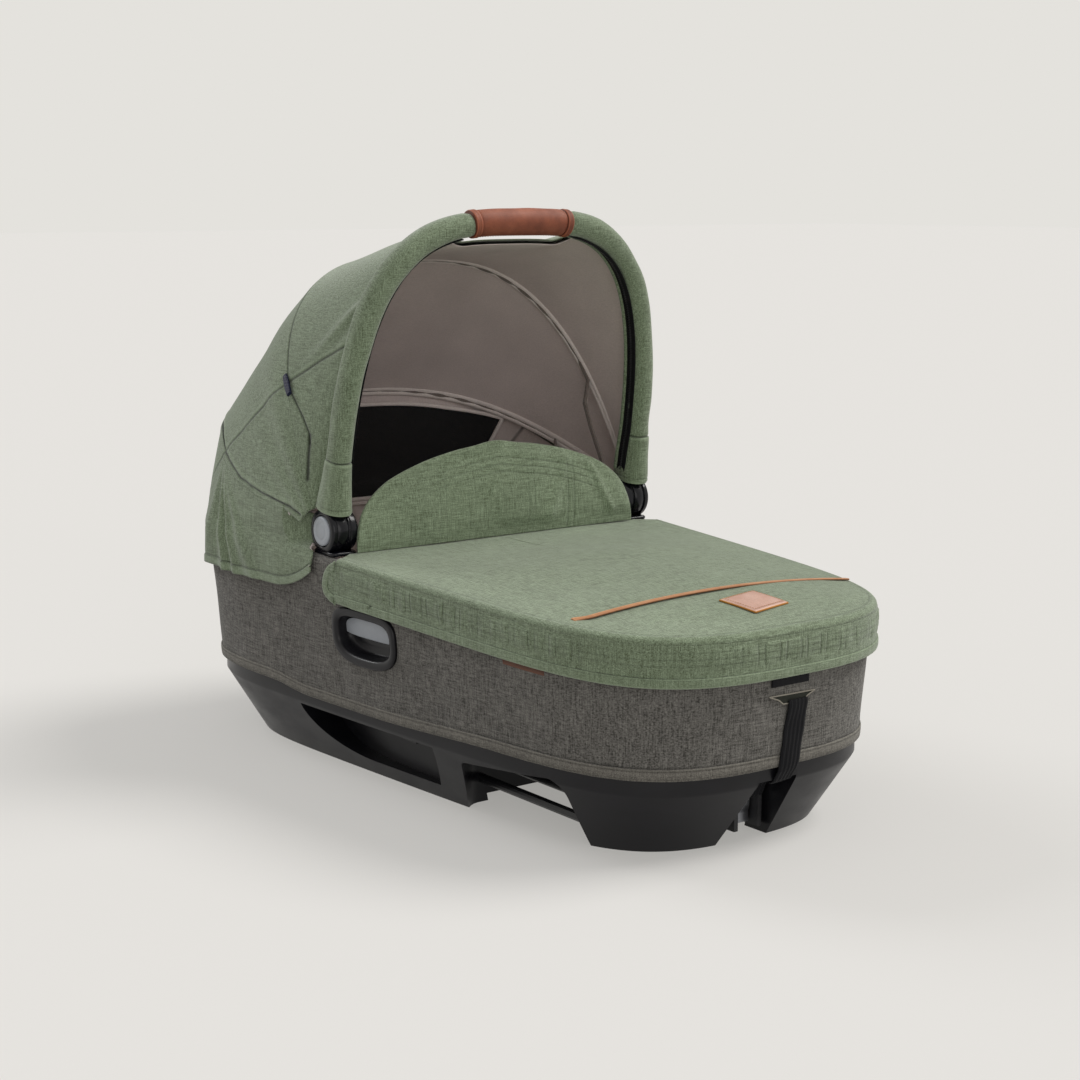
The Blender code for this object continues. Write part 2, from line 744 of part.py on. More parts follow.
def build_lock(materials):
    """A housing under the deck, with a steel hook on a pin between its cheeks."""
    roof = ARCH_HEIGHT - SEAT_GAP
    half = LOCK_WIDTH / 2
    housing = box(
        "lock_housing",
        (LOCK_REAR_X, -half, LOCK_BOTTOM),
        (LOCK_FRONT_X, half, roof),
        materials["hidden_plastic"],
    )
    inner = half - LOCK_CHEEK
    bridge_height = roof - LOCK_CHEEK
    cut(
        housing,
        box(
            "lock gap",
            (LOCK_REAR_X - CUT_OVERRUN, -inner, LOCK_BOTTOM - CUT_OVERRUN),
            (LOCK_FRONT_X + CUT_OVERRUN, inner, bridge_height),
        ),
    )
    cut(
        housing,
        cylinder_y(
            "pin hole",
            LOCK_PIN_X,
            LOCK_PIN_HEIGHT,
            LOCK_PIN_RADIUS + SEAT_GAP,
            -half - CUT_OVERRUN,
            half + CUT_OVERRUN,
            SMALL_SIDES,
        ),
    )
    cylinder_y(
        "lock_pin",
        LOCK_PIN_X,
        LOCK_PIN_HEIGHT,
        LOCK_PIN_RADIUS,
        -half,
        half,
        SMALL_SIDES,
        materials["bright_steel"],
    )
    hook_half = HOOK_WIDTH / 2
    rear = LOCK_PIN_X - HOOK_ARM
    front = LOCK_PIN_X + HOOK_ARM
    top = bridge_height - HOOK_ARM
    outline = [
        (rear, LOCK_BOTTOM + HOOK_ARM),
        (rear + HOOK_TOE, LOCK_BOTTOM + HOOK_ARM / 2),
        (rear + HOOK_TOE, LOCK_BOTTOM + HOOK_ARM * 2),
        (front, LOCK_BOTTOM + HOOK_ARM * 3),
        (front, top),
        (rear, top),
    ]
    hook = prism(
        "lock_hook",
        outline,
        -hook_half,
        hook_half,
        lambda u, v, w: (u, w, v),
        materials["bright_steel"],
    )
    cut(
        hook,
        cylinder_y(
            "hook hole",
            LOCK_PIN_X,
            LOCK_PIN_HEIGHT,
            LOCK_PIN_RADIUS + SEAT_GAP,
            -hook_half - CUT_OVERRUN,
            hook_half + CUT_OVERRUN,
            SMALL_SIDES,
        ),
    )
    set_origin(hook, (LOCK_PIN_X, 0.0, LOCK_PIN_HEIGHT))


# Tub, cover, liner and mattress


def tub_offset():
    return COVER_THICKNESS + SEAT_GAP


def tub_top(x):
    """The tub's wall ends under the rim frame."""
    return rim_height_at(x) - 2 * RIM_RADIUS - SEAT_GAP


def build_tub(materials):
    outer = tub_offset()
    inner = outer + TUB_WALL
    floor = BASE_HEIGHT + SEAT_GAP
    rings = [
        body_ring(outer, floor),
        body_ring(outer, tub_top),
        body_ring(inner, tub_top),
        body_ring(inner, floor + TUB_FLOOR),
    ]
    tub = loft("body_tub", rings, materials["hidden_plastic"])
    for side in (-1, 1):
        cut(tub, adapter_hole(side))
    return tub


def build_cover(materials):
    """Grey fabric stretched round the tub, from the hem to just under the rim frame."""
    rings = [
        body_ring(0.0, HEM_HEIGHT),
        body_ring(0.0, tub_top),
        body_ring(COVER_THICKNESS, tub_top),
        body_ring(COVER_THICKNESS, HEM_HEIGHT),
    ]
    cover = loft("outer_cover", rings, materials["grey_fabric"], capped=False)
    for side in (-1, 1):
        cut(cover, adapter_hole(side))
    hem_top = HEM_HEIGHT + BINDING_HEIGHT
    outer = -SEAT_GAP - BINDING_THICKNESS
    binding = [
        body_ring(outer, HEM_HEIGHT),
        body_ring(outer, hem_top),
        body_ring(-SEAT_GAP, hem_top),
        body_ring(-SEAT_GAP, HEM_HEIGHT),
    ]
    return cover, loft("cover_hem_binding", binding, materials["grey_fabric"], capped=False)


def build_rim(materials):
    """The rim frame: a tube bent round the top of the tub."""
    inset = tub_offset() + RIM_RADIUS - SEAT_GAP
    rings = []
    for k in range(RIM_SIDES):
        angle = math.tau * (k + 0.5) / RIM_SIDES
        offset = inset + RIM_RADIUS * math.cos(angle)
        lift = RIM_RADIUS * math.sin(angle) - RIM_RADIUS
        rings.append(plan_ring(offset, offset, lambda x, lift=lift: rim_height_at(x) + lift))
    return loft("rim_frame", rings, materials["aluminium"], capped=False)


LINER_OFFSET = COVER_THICKNESS + SEAT_GAP + TUB_WALL + WALL_SPACE
LIP_OFFSET = COVER_THICKNESS + SEAT_GAP + 2 * RIM_RADIUS + FACE_GAP
LINER_BOTTOM = BASE_HEIGHT + SEAT_GAP + TUB_FLOOR + SEAT_GAP


def build_liner(materials):
    """Padded lining that hangs from the rim and covers the tub's floor."""
    lip_top = RIM_RADIUS
    lip_low = RIM_RADIUS + 2 * LINER_WALL
    bend = lip_low + WALL_SPACE

    def below(drop):
        return lambda x: rim_height_at(x) - drop

    rings = [
        body_ring(LINER_OFFSET, LINER_BOTTOM),
        body_ring(LINER_OFFSET, below(bend)),
        body_ring(LIP_OFFSET, below(lip_low)),
        body_ring(LIP_OFFSET, below(lip_top)),
        body_ring(LIP_OFFSET + LINER_WALL, below(lip_top)),
        body_ring(LIP_OFFSET + LINER_WALL, below(lip_low)),
        body_ring(LINER_OFFSET + LINER_WALL, below(bend)),
        body_ring(LINER_OFFSET + LINER_WALL, LINER_BOTTOM + LINER_FLOOR),
    ]
    return loft("inner_liner", rings, materials["taupe_lining"])


MATTRESS_OFFSET = LINER_OFFSET + LINER_WALL + FACE_GAP
MATTRESS_BOTTOM = LINER_BOTTOM + LINER_FLOOR + SEAT_GAP


def build_mattress(materials):
    """A padded mattress with drawn-in sides and a crowned top."""
    rings = []
    for inset_share, height_share in MATTRESS_SECTION_SHARES:
        offset = MATTRESS_OFFSET + MATTRESS_CROWN_RUN * inset_share
        rings.append(body_ring(offset, MATTRESS_BOTTOM + MATTRESS_HEIGHT * height_share))
    return loft("mattress", rings, materials["mattress_cover"], smooth_degrees=60.0)


# Bow and ribs of the hood


def hood_point(lean, rise, y):
    """A point in the plane that leans about the pivots' axis by that angle."""
    return Vector((HUB_X + rise * math.sin(lean), y, HUB_HEIGHT + rise * math.cos(lean)))


def hoop_line(full_rise, half_width, squareness, start_rise):
    """Closely spaced (rise, y) points of a hoop and the distance travelled to each of them."""
    fine_count = 600
    power = 2.0 / squareness
    first = math.asin((start_rise / full_rise) ** (1.0 / power))
    fine = []
    for k in range(fine_count + 1):
        angle = first + (math.pi - 2 * first) * k / fine_count
        rise = full_rise * math.sin(angle) ** power
        y = -half_width * math.copysign(abs(math.cos(angle)) ** power, math.cos(angle))
        fine.append((rise, y))
    fine = np.array(fine)
    steps = np.linalg.norm(np.diff(fine, axis=0), axis=1)
    return fine, np.concatenate([[0.0], np.cumsum(steps)])


def points_along(line, lean_degrees, distances):
    fine, travelled = line
    rises = np.interp(distances, travelled, fine[:, 0])
    widths = np.interp(distances, travelled, fine[:, 1])
    lean = math.radians(lean_degrees)
    return [hood_point(lean, float(r), float(y)) for r, y in zip(rises, widths)]


def hoop(lean_degrees, full_rise, half_width, squareness, start_rise, count):
    """Points of a hoop from the near side over the top to the far side, evenly spaced."""
    line = hoop_line(full_rise, half_width, squareness, start_rise)
    return points_along(line, lean_degrees, np.linspace(0.0, line[1][-1], count))


def sweep_frames(path, lean_degrees):
    """For each point of a hoop: the point, its direction out of the hoop, and its fore direction."""
    lean = math.radians(lean_degrees)
    fore = Vector((math.cos(lean), 0.0, -math.sin(lean)))
    frames = []
    for k, point in enumerate(path):
        before = path[max(0, k - 1)]
        after = path[min(len(path) - 1, k + 1)]
        tangent = (after - before).normalized()
        frames.append((point, fore.cross(tangent).normalized(), fore))
    return frames


def oval_section(frame, half_thickness, half_depth, sides):
    point, outward, fore = frame
    ring = []
    for k in range(sides):
        angle = math.tau * (k + 0.5) / sides
        ring.append(
            point
            + outward * (half_thickness * math.cos(angle))
            + fore * (half_depth * math.sin(angle))
        )
    return ring


BOW_LINE = hoop_line(BOW_RISE, BOW_HALF_WIDTH, BOW_SQUARENESS, SLEEVE_START_RISE)
BOW_SIDES = 10


def bow_distance(y):
    """Distance along the bow from the near sleeve's lower end to a place given by its Y."""
    fine, travelled = BOW_LINE
    return float(np.interp(y, fine[:, 1], travelled))


def bow_distance_at_rise(rise):
    fine, travelled = BOW_LINE
    half = len(travelled) // 2
    return float(np.interp(rise, fine[:half, 0], travelled[:half]))


def mirrored(distances):
    """The same places on the bow's other leg."""
    total = float(BOW_LINE[1][-1])
    return [total - d for d in reversed(distances)]


def bow_frames(distances):
    """Points of the bow with their outward and fore directions, square to the bow."""
    lean = math.radians(BOW_LEAN_DEGREES)
    fore = Vector((math.cos(lean), 0.0, -math.sin(lean)))
    points = points_along(BOW_LINE, BOW_LEAN_DEGREES, distances)
    ahead = points_along(BOW_LINE, BOW_LEAN_DEGREES, [d + FACE_GAP for d in distances])
    behind = points_along(BOW_LINE, BOW_LEAN_DEGREES, [d - FACE_GAP for d in distances])
    frames = []
    for point, first, second in zip(points, behind, ahead):
        tangent = (second - first).normalized()
        frames.append((point, fore.cross(tangent).normalized(), fore))
    return frames


def leg_distances():
    """Places along the near leg, from the sleeve's lower end to the grip."""
    grip_end = bow_distance(-GRIP_LENGTH / 2 - FACE_GAP)
    return list(np.linspace(0.0, grip_end, LEG_POINTS))


def hollow_sweep(name, frames, outer, inner, material, sides=BOW_SIDES):
    """A tube with a bore. outer(k) and inner give the half thickness and half depth."""
    rings = [oval_section(f, *outer(k), sides) for k, f in enumerate(frames)]
    rings += [oval_section(f, *inner, sides) for f in reversed(frames)]
    return loft(name, rings, material, capped=False)


def build_bow(materials):
    """Tube, padded fabric sleeves, zips, leather grip and its two end bands."""
    leg = leg_distances()
    neck = bow_distance_at_rise(SOCKET_NECK_RISE) + SEAT_GAP
    band_start = GRIP_LENGTH / 2 - GRIP_BAND_LENGTH
    band = [bow_distance(-GRIP_LENGTH / 2), bow_distance(-band_start)]
    grip_end = band_start - SEAT_GAP
    grip = list(np.linspace(bow_distance(-grip_end), bow_distance(grip_end), GRIP_POINTS))
    near_half = [neck] + [d for d in leg if d > neck + TUBE_DEPTH / 4]
    tube_places = near_half + grip + mirrored(near_half)
    rings = [
        oval_section(frame, TUBE_THICKNESS / 2, TUBE_DEPTH / 2, BOW_SIDES)
        for frame in bow_frames(tube_places)
    ]
    loft("bow_tube", rings, materials["aluminium"])
    bore = (TUBE_THICKNESS / 2 + FACE_GAP, TUBE_DEPTH / 2 + FACE_GAP)
    thick, deep = SLEEVE_THICKNESS / 2, SLEEVE_DEPTH / 2

    def sleeve_size(k):
        share = max(0.0, 1.0 - k / SLEEVE_FLARE_COUNT)
        return thick + SLEEVE_FLARE_THICKNESS * share, deep + SLEEVE_FLARE * share

    for side in (-1, 1):
        frames = bow_frames(leg)
        if side > 0:
            frames = list(reversed(bow_frames(mirrored(leg))))
        hollow_sweep(
            side_name("bow_sleeve", side), frames, sleeve_size, bore, materials["green_fabric"]
        )
        build_zip(materials, side)
    radius = GRIP_THICKNESS / 2
    hollow_sweep(
        "handle_grip",
        bow_frames(grip),
        lambda k: (radius, radius),
        bore,
        materials["brown_leather"],
        ROUND_SIDES,
    )
    band_radius = radius + GRIP_BAND_EXTRA
    for side in (-1, 1):
        hollow_sweep(
            side_name("grip_band", side),
            bow_frames(band if side < 0 else mirrored(band)),
            lambda k: (band_radius, band_radius),
            bore,
            materials["brown_leather"],
            ROUND_SIDES,
        )


def build_zip(materials, side):
    """The zip that fastens the hood's fabric inside the bow, on one side."""
    low = bow_distance_at_rise(ZIP_START_RISE)
    places = [d for d in leg_distances()[:-1] if d > low]
    frames = bow_frames(places if side < 0 else mirrored(places))
    near = SLEEVE_THICKNESS / 2 + SEAT_GAP
    far = near + ZIP_THICKNESS
    half = ZIP_WIDTH / 2
    rings = []
    for point, outward, fore in frames:
        rings.append(
            [
                point - outward * near - fore * half,
                point - outward * near + fore * half,
                point - outward * far + fore * half,
                point - outward * far - fore * half,
            ]
        )
    return loft(side_name("bow_zip", side), rings, materials["black_webbing"])


def rib_path(lean_degrees, rise, half_width, squareness, eyelet_y, count):
    """A hoop whose legs step inboard near the pivots, where they meet their eyelets."""
    path = hoop(lean_degrees, rise, half_width, squareness, EYELET_RADIUS - RIB_THICKNESS, count)
    lean = math.radians(lean_degrees)
    along = Vector((math.sin(lean), 0.0, math.cos(lean)))
    hub = Vector((HUB_X, 0.0, HUB_HEIGHT))
    bent = []
    for point in path:
        reach = (point - hub).dot(along)
        share = (reach - RIB_FLARE_START) / (RIB_FLARE_END - RIB_FLARE_START)
        share = min(1.0, max(0.0, share))
        share = share * share * (3.0 - 2.0 * share)
        if abs(point.y) > eyelet_y:
            y = eyelet_y + (abs(point.y) - eyelet_y) * share
            point = Vector((point.x, math.copysign(y, point.y), point.z))
        bent.append(point)
    return bent


def build_rib(name, lean_degrees, rise, half_width, squareness, eyelet_y, materials):
    """A flat strip bent to a hoop, with a pierced round eyelet at each end."""
    path = rib_path(lean_degrees, rise, half_width, squareness, eyelet_y, RIB_POINTS)
    half_thick, half_wide = RIB_THICKNESS / 2, RIB_WIDTH / 2
    rings = []
    for point, outward, fore in sweep_frames(path, lean_degrees):
        rings.append(
            [
                point - outward * half_thick - fore * half_wide,
                point + outward * half_thick - fore * half_wide,
                point + outward * half_thick + fore * half_wide,
                point - outward * half_thick + fore * half_wide,
            ]
        )
    rib = loft(name, rings, materials["hidden_plastic"])
    for side in (-1, 1):
        low = side * eyelet_y - EYELET_WIDTH / 2
        high = side * eyelet_y + EYELET_WIDTH / 2
        join(rib, cylinder_y("eye", HUB_X, HUB_HEIGHT, EYELET_RADIUS, low, high, 16))
        cut(
            rib,
            cylinder_y(
                "eye hole",
                HUB_X,
                HUB_HEIGHT,
                PIN_RADIUS + SEAT_GAP,
                low - CUT_OVERRUN,
                high + CUT_OVERRUN,
                SMALL_SIDES,
            ),
        )
    return rib


CHEEK_OUTER_Y = DRUM_OUTER_Y - DRUM_WIDTH - FACE_GAP
CHEEK_INNER_Y = CHEEK_OUTER_Y - CHEEK_WIDTH
UPPER_EYELET_Y = CHEEK_INNER_Y - FACE_GAP - EYELET_WIDTH / 2
LOWER_EYELET_Y = UPPER_EYELET_Y - EYELET_WIDTH - FACE_GAP
PIN_HEAD_Y = LOWER_EYELET_Y - EYELET_WIDTH / 2 - SEAT_GAP
PIN_OUTER_Y = DRUM_OUTER_Y - BUTTON_WIDTH - BUTTON_TRAVEL - BASE_WALL


def build_ribs(materials):
    upper = build_rib(
        "hood_rib_upper",
        UPPER_RIB_LEAN_DEGREES,
        UPPER_RIB_RISE,
        UPPER_RIB_HALF_WIDTH,
        UPPER_RIB_SQUARENESS,
        UPPER_EYELET_Y,
        materials,
    )
    lower = build_rib(
        "hood_rib_lower",
        LOWER_RIB_LEAN_DEGREES,
        LOWER_RIB_RISE,
        LOWER_RIB_HALF_WIDTH,
        LOWER_RIB_SQUARENESS,
        LOWER_EYELET_Y,
        materials,
    )
    set_origin(upper, (HUB_X, 0.0, HUB_HEIGHT))
    return upper, lower


def build_hub(materials, side):
    """One pivot: fixed cheek and saddle, turning drum with its neck, pin, button and spring."""
    hub = (HUB_X, HUB_HEIGHT)
    cheek = cylinder_y(
        side_name("hub_bracket", side),
        *hub,
        HUB_RADIUS,
        *sorted((side * CHEEK_INNER_Y, side * CHEEK_OUTER_Y)),
        ROUND_SIDES,
        materials["black_plastic"],
    )
    saddle_low = rim_height_at(HUB_X - HUB_RADIUS) + SEAT_GAP
    saddle_high = HUB_HEIGHT - HUB_RADIUS - FACE_GAP
    saddle_low_y, saddle_high_y = sorted((side * (CHEEK_INNER_Y + FACE_GAP), side * DRUM_OUTER_Y))
    saddle = box(
        "saddle",
        (HUB_X - HUB_RADIUS, saddle_low_y, saddle_low),
        (APRON_BAND_START_X - SADDLE_HEIGHT, saddle_high_y, saddle_high),
    )
    web_low_y, web_high_y = sorted(
        (side * (CHEEK_INNER_Y + FACE_GAP), side * (CHEEK_OUTER_Y - FACE_GAP))
    )
    web = box(
        "web",
        (HUB_X - HUB_RADIUS + SADDLE_HEIGHT, web_low_y, saddle_low + SADDLE_HEIGHT / 2),
        (APRON_BAND_START_X - SADDLE_HEIGHT, web_high_y, HUB_HEIGHT),
    )
    join(cheek, saddle)
    join(cheek, web)
    cut(
        cheek,
        cylinder_y(
            "bore",
            *hub,
            PIN_RADIUS + SEAT_GAP,
            *sorted((side * (CHEEK_INNER_Y - CUT_OVERRUN), side * (CHEEK_OUTER_Y + CUT_OVERRUN))),
            SMALL_SIDES,
        ),
    )
    build_socket(materials, side)
    build_pin_and_button(materials, side)


def build_pin_and_button(materials, side):
    """The pin through the pivot, and the light grey button that its spring holds out."""
    hub = (HUB_X, HUB_HEIGHT)
    pin_low = side * PIN_HEAD_Y
    profile = [
        (pin_low - side * PIN_HEAD_WIDTH, PIN_HEAD_RADIUS),
        (pin_low, PIN_HEAD_RADIUS),
        (pin_low, PIN_RADIUS),
        (side * PIN_OUTER_Y, PIN_RADIUS),
    ]
    turned(
        side_name("pivot_pin", side), profile, *hub, SMALL_SIDES, materials["bright_steel"]
    )
    face = DRUM_OUTER_Y + BUTTON_PROUD
    button = turned(
        side_name("pivot_button", side),
        [
            (side * (face - BUTTON_WIDTH), BUTTON_RADIUS),
            (side * (face - BUTTON_PROUD / 2), BUTTON_RADIUS),
            (side * face, BUTTON_RADIUS - BUTTON_PROUD),
        ],
        *hub,
        ROUND_SIDES,
        materials["light_grey_plastic"],
    )
    set_origin(button, (HUB_X, side * face, HUB_HEIGHT))
    spring_inner = PIN_OUTER_Y + SEAT_GAP
    spring_outer = face - BUTTON_WIDTH - SEAT_GAP
    radius = PIN_RADIUS + BUTTON_SPRING_WIRE
    turned(
        side_name("button_spring", side),
        [
            (side * spring_inner, radius),
            (side * spring_outer, radius),
            (side * spring_outer, radius - BUTTON_SPRING_WIRE),
            (side * spring_inner, radius - BUTTON_SPRING_WIRE),
        ],
        *hub,
        SMALL_SIDES,
        materials["bright_steel"],
        closed_bore=False,
    )


def build_socket(materials, side):
    """The drum that turns on the pin, with the neck that carries the bow's tube."""
    hub = (HUB_X, HUB_HEIGHT)
    socket = cylinder_y(
        side_name("bow_socket", side),
        *hub,
        HUB_RADIUS,
        *sorted((side * (DRUM_OUTER_Y - DRUM_WIDTH), side * DRUM_OUTER_Y)),
        ROUND_SIDES,
        materials["black_plastic"],
    )
    lean = math.radians(BOW_LEAN_DEGREES)
    fore = Vector((math.cos(lean), 0.0, -math.sin(lean)))
    rings = []
    for rise in (BUTTON_RADIUS + BUTTON_SPRING_WIRE, SOCKET_NECK_RISE):
        frame = (hood_point(lean, rise, side * BOW_HALF_WIDTH), Vector((0.0, 1.0, 0.0)), fore)
        rings.append(oval_section(frame, TUBE_THICKNESS / 2, TUBE_DEPTH / 2, BOW_SIDES))
    join(socket, loft("neck", rings, None))
    recess_floor = side * (DRUM_OUTER_Y + BUTTON_PROUD - BUTTON_WIDTH - BUTTON_TRAVEL - FACE_GAP)
    cut(
        socket,
        cylinder_y(
            "recess",
            *hub,
            BUTTON_RADIUS + FACE_GAP,
            *sorted((recess_floor, side * (DRUM_OUTER_Y + CUT_OVERRUN))),
            ROUND_SIDES,
        ),
    )
    cut(
        socket,
        cylinder_y(
            "bore",
            *hub,
            PIN_RADIUS + BUTTON_SPRING_WIRE + SEAT_GAP,
            *sorted((side * PIN_OUTER_Y, recess_floor + side * CUT_OVERRUN)),
            SMALL_SIDES,
        ),
    )
    cut(
        socket,
        cylinder_y(
            "pin bore",
            *hub,
            PIN_RADIUS + SEAT_GAP,
            *sorted((side * (CHEEK_OUTER_Y - CUT_OVERRUN), recess_floor)),
            SMALL_SIDES,
        ),
    )
    set_origin(socket, (HUB_X, 0.0, HUB_HEIGHT))
    return socket


# Hood fabric

CANOPY_COUNT = 27
CANOPY_RISE_EXTRA = RIB_THICKNESS / 2 + RIB_FABRIC_CLEARANCE + CANOPY_THICKNESS / 2


def canopy_edges():
    """Middle lines of the fabric at the bow, the upper rib and the lower rib.

    The line at the bow leaves out the ends, where the bow's sleeve covers the seam.
    """
    first = bow_distance_at_rise(FRONT_PANEL_START_RISE)
    total = float(BOW_LINE[1][-1])
    flare_end = leg_distances()[SLEEVE_FLARE_COUNT]
    front = []
    for distance in np.linspace(first, total - first, CANOPY_COUNT - 2 * FRONT_PANEL_SKIP_COUNT):
        [(point, outward, fore)] = bow_frames([float(distance)])
        flare = max(0.0, 1.0 - min(distance, total - distance) / flare_end)
        back = SLEEVE_DEPTH / 2 + SLEEVE_FLARE * flare + BOW_FABRIC_GAP
        beside = (abs(point.y) - HAND_SLOT_WIDTH / 2) / HAND_SLOT_CORNER
        beside = min(1.0, max(0.0, beside))
        drop = HAND_SLOT_HEIGHT * (1.0 + math.cos(math.pi * beside)) / 2
        front.append(point - fore * back - outward * drop)
    upper = hoop(
        UPPER_RIB_LEAN_DEGREES,
        UPPER_RIB_RISE + CANOPY_RISE_EXTRA,
        UPPER_RIB_HALF_WIDTH + CANOPY_RISE_EXTRA,
        UPPER_RIB_SQUARENESS,
        CANOPY_START_RISE,
        CANOPY_COUNT,
    )
    lower = hoop(
        LOWER_RIB_LEAN_DEGREES,
        LOWER_RIB_RISE + CANOPY_RISE_EXTRA,
        LOWER_RIB_HALF_WIDTH + CANOPY_RISE_EXTRA,
        LOWER_RIB_SQUARENESS,
        CANOPY_START_RISE,
        CANOPY_COUNT,
    )
    return front, upper, lower


def stretched_grid(first, second, rows, start_gap, end_gap, bulge):
    """Rows of points between two edges, short of them by the gaps and bulging between them."""
    centre = Vector((HUB_X, 0.0, HUB_HEIGHT))
    grid = []
    for k in range(rows):
        line = []
        for a, b in zip(first, second):
            length = (b - a).length
            low = min(GRID_GAP_SHARE, start_gap / length)
            high = 1.0 - min(GRID_GAP_SHARE, end_gap / length)
            share = low + (high - low) * k / (rows - 1)
            point = a.lerp(b, share)
            outward = (point - centre).normalized()
            line.append(point + outward * (bulge * math.sin(math.pi * share)))
        grid.append(line)
    return grid


def grid_normals(grid, centre):
    """Unit directions out of a grid, away from a point inside."""
    normals = []
    rows, columns = len(grid), len(grid[0])
    for i in range(rows):
        line = []
        for j in range(columns):
            across = grid[min(rows - 1, i + 1)][j] - grid[max(0, i - 1)][j]
            along = grid[i][min(columns - 1, j + 1)] - grid[i][max(0, j - 1)]
            normal = across.cross(along).normalized()
            if normal.dot(grid[i][j] - centre) < 0:
                normal = -normal
            line.append(normal)
        normals.append(line)
    return normals


def fabric_from_grid(name, grid, thickness, centre, material):
    normals = grid_normals(grid, centre)
    half = thickness / 2
    outer = [[p + n * half for p, n in zip(*rows)] for rows in zip(grid, normals)]
    inner = [[p - n * half for p, n in zip(*rows)] for rows in zip(grid, normals)]
    return thick_sheet(name, outer, inner, material, 60.0)


def build_canopy(materials):
    front, upper, lower = canopy_edges()
    centre = Vector((HUB_X - LOWER_RIB_RISE / 2, 0.0, HUB_HEIGHT))
    gap = CANOPY_SEAM_GAP / 2
    beside_bow = upper[FRONT_PANEL_SKIP_COUNT:-FRONT_PANEL_SKIP_COUNT]
    grid = stretched_grid(front, beside_bow, 4, 0.0, gap, CANOPY_BULGE / 2)
    fabric_from_grid(
        "canopy_front", grid, CANOPY_THICKNESS, centre, materials["green_fabric"]
    )
    grid = stretched_grid(upper, lower, 5, gap, gap, CANOPY_BULGE)
    fabric_from_grid(
        "canopy_middle", grid, CANOPY_THICKNESS, centre, materials["green_fabric"]
    )
    build_hood_tag(materials, upper)
    return lower


def build_hood_tag(materials, seam):
    """A small folded woven tag, plain, that stands out of the seam on the near side."""
    index = round(len(seam) * HOOD_TAG_PLACE_SHARE)
    point = seam[index]
    along = (seam[index + 1] - seam[index - 1]).normalized()
    outward = Vector((0.0, -1.0, 0.0))
    across = along.cross(outward).normalized()
    outward = across.cross(along).normalized()
    if outward.y > 0:
        outward = -outward
    lift = CANOPY_THICKNESS / 2 + FACE_GAP
    corners = rectangle(
        -HOOD_TAG_WIDTH / 2, HOOD_TAG_WIDTH / 2, -HOOD_TAG_LENGTH / 2, HOOD_TAG_LENGTH / 2
    )
    rings = []
    for depth in (lift, lift + SLOT_PATCH_THICKNESS):
        rings.append([point + outward * depth + across * u + along * v for u, v in corners])
    return loft("hood_tag", rings, materials["navy_tag"])


def skirt_hem_height(x):
    """The hem is level round the head end and curves up to the pivots."""
    share = (x - (SKIRT_START_X - SKIRT_HEM_CURVE)) / SKIRT_HEM_CURVE
    share = min(1.0, max(0.0, share))
    return SKIRT_HEM_HEIGHT + SKIRT_HEM_RISE * share * share


def resample(points, count):
    array = np.array([tuple(p) for p in points])
    steps = np.linalg.norm(np.diff(array, axis=0), axis=1)
    travelled = np.concatenate([[0.0], np.cumsum(steps)])
    wanted = np.linspace(0.0, travelled[-1], count)
    return [
        Vector([float(np.interp(w, travelled, array[:, axis])) for axis in range(3)])
        for w in wanted
    ]


def skirt_stations():
    """Places along the outline, closer together where the fabric hangs in folds."""
    first = station_at(SKIRT_START_X)
    last = PLAN_POINTS - first
    half_steps = stations_between(2 * first, 2 * last)
    folded = FOLD_COUNT * FOLD_STATION_COUNT + 1
    kept = []
    for place in [step / 2 for step in half_steps]:
        beside = min(place - first, last - place)
        if beside <= folded or place == round(place):
            kept.append(place)
    return kept


def fold_share(station):
    """How far a hanging fold stands out at a place, from 0 to 1."""
    first = station_at(SKIRT_START_X)
    beside = min(station - first, PLAN_POINTS - first - station)
    if beside > FOLD_COUNT * FOLD_STATION_COUNT:
        return 0.0
    return (1.0 - math.cos(math.tau * beside / FOLD_STATION_COUNT)) / 2


def hanging_row(offset, height, stations, fold_depth):
    """A row of the hanging fabric round the body, with its folds standing out."""
    near = plan_ring(offset, offset, height, stations)
    far = plan_ring(offset - fold_depth, offset - fold_depth, height, stations)
    return [
        Vector(a).lerp(Vector(b), fold_share(station))
        for a, b, station in zip(near, far, stations)
    ]


def skirt_grid(stations, edge, hem_offset, shoulder_offset, rise):
    """Rows of one face of the rear fabric, from its hem over the rim to the lower rib."""
    rows = [
        hanging_row(hem_offset, skirt_hem_height, stations, FOLD_DEPTH),
        hanging_row(hem_offset, lambda x: tub_top(x) + FACE_GAP, stations, FOLD_DEPTH / 3),
        hanging_row(
            shoulder_offset, lambda x: rim_height_at(x) + SKIRT_SHOULDER, stations, 0.0
        ),
    ]
    shoulder = rows[-1]
    top = resample(edge, len(stations))
    centre = Vector((HUB_X - LOWER_RIB_RISE / 2, 0.0, HUB_HEIGHT))
    down = Vector((0.0, 0.0, -CANOPY_SEAM_GAP))
    outward = [Vector((p.x - centre.x, p.y, 0.0)).normalized() for p in top]
    rim = [p + o * rise + down for p, o in zip(top, outward)]
    steps = 3
    for k in range(1, steps):
        share = k / steps
        bulge = SKIRT_BULGE * math.sin(math.pi * share)
        rows.append([s.lerp(t, share) + o * bulge for s, t, o in zip(shoulder, rim, outward)])
    rows.append(rim)
    return rows


def build_skirt(materials, lower):
    """Rear fabric from the lower rib over the rim to its hem, and the mesh window inside it."""
    edge = list(reversed(lower))
    stations = skirt_stations()
    half = CANOPY_THICKNESS / 2
    outer = skirt_grid(stations, edge, -BAND_THICKNESS - FACE_GAP, 0.0, half)
    inner = skirt_grid(stations, edge, -FACE_GAP, CANOPY_THICKNESS, -half)
    thick_sheet("hood_skirt", outer, inner, materials["green_fabric"], 60.0)
    build_window(materials, inner[2:])


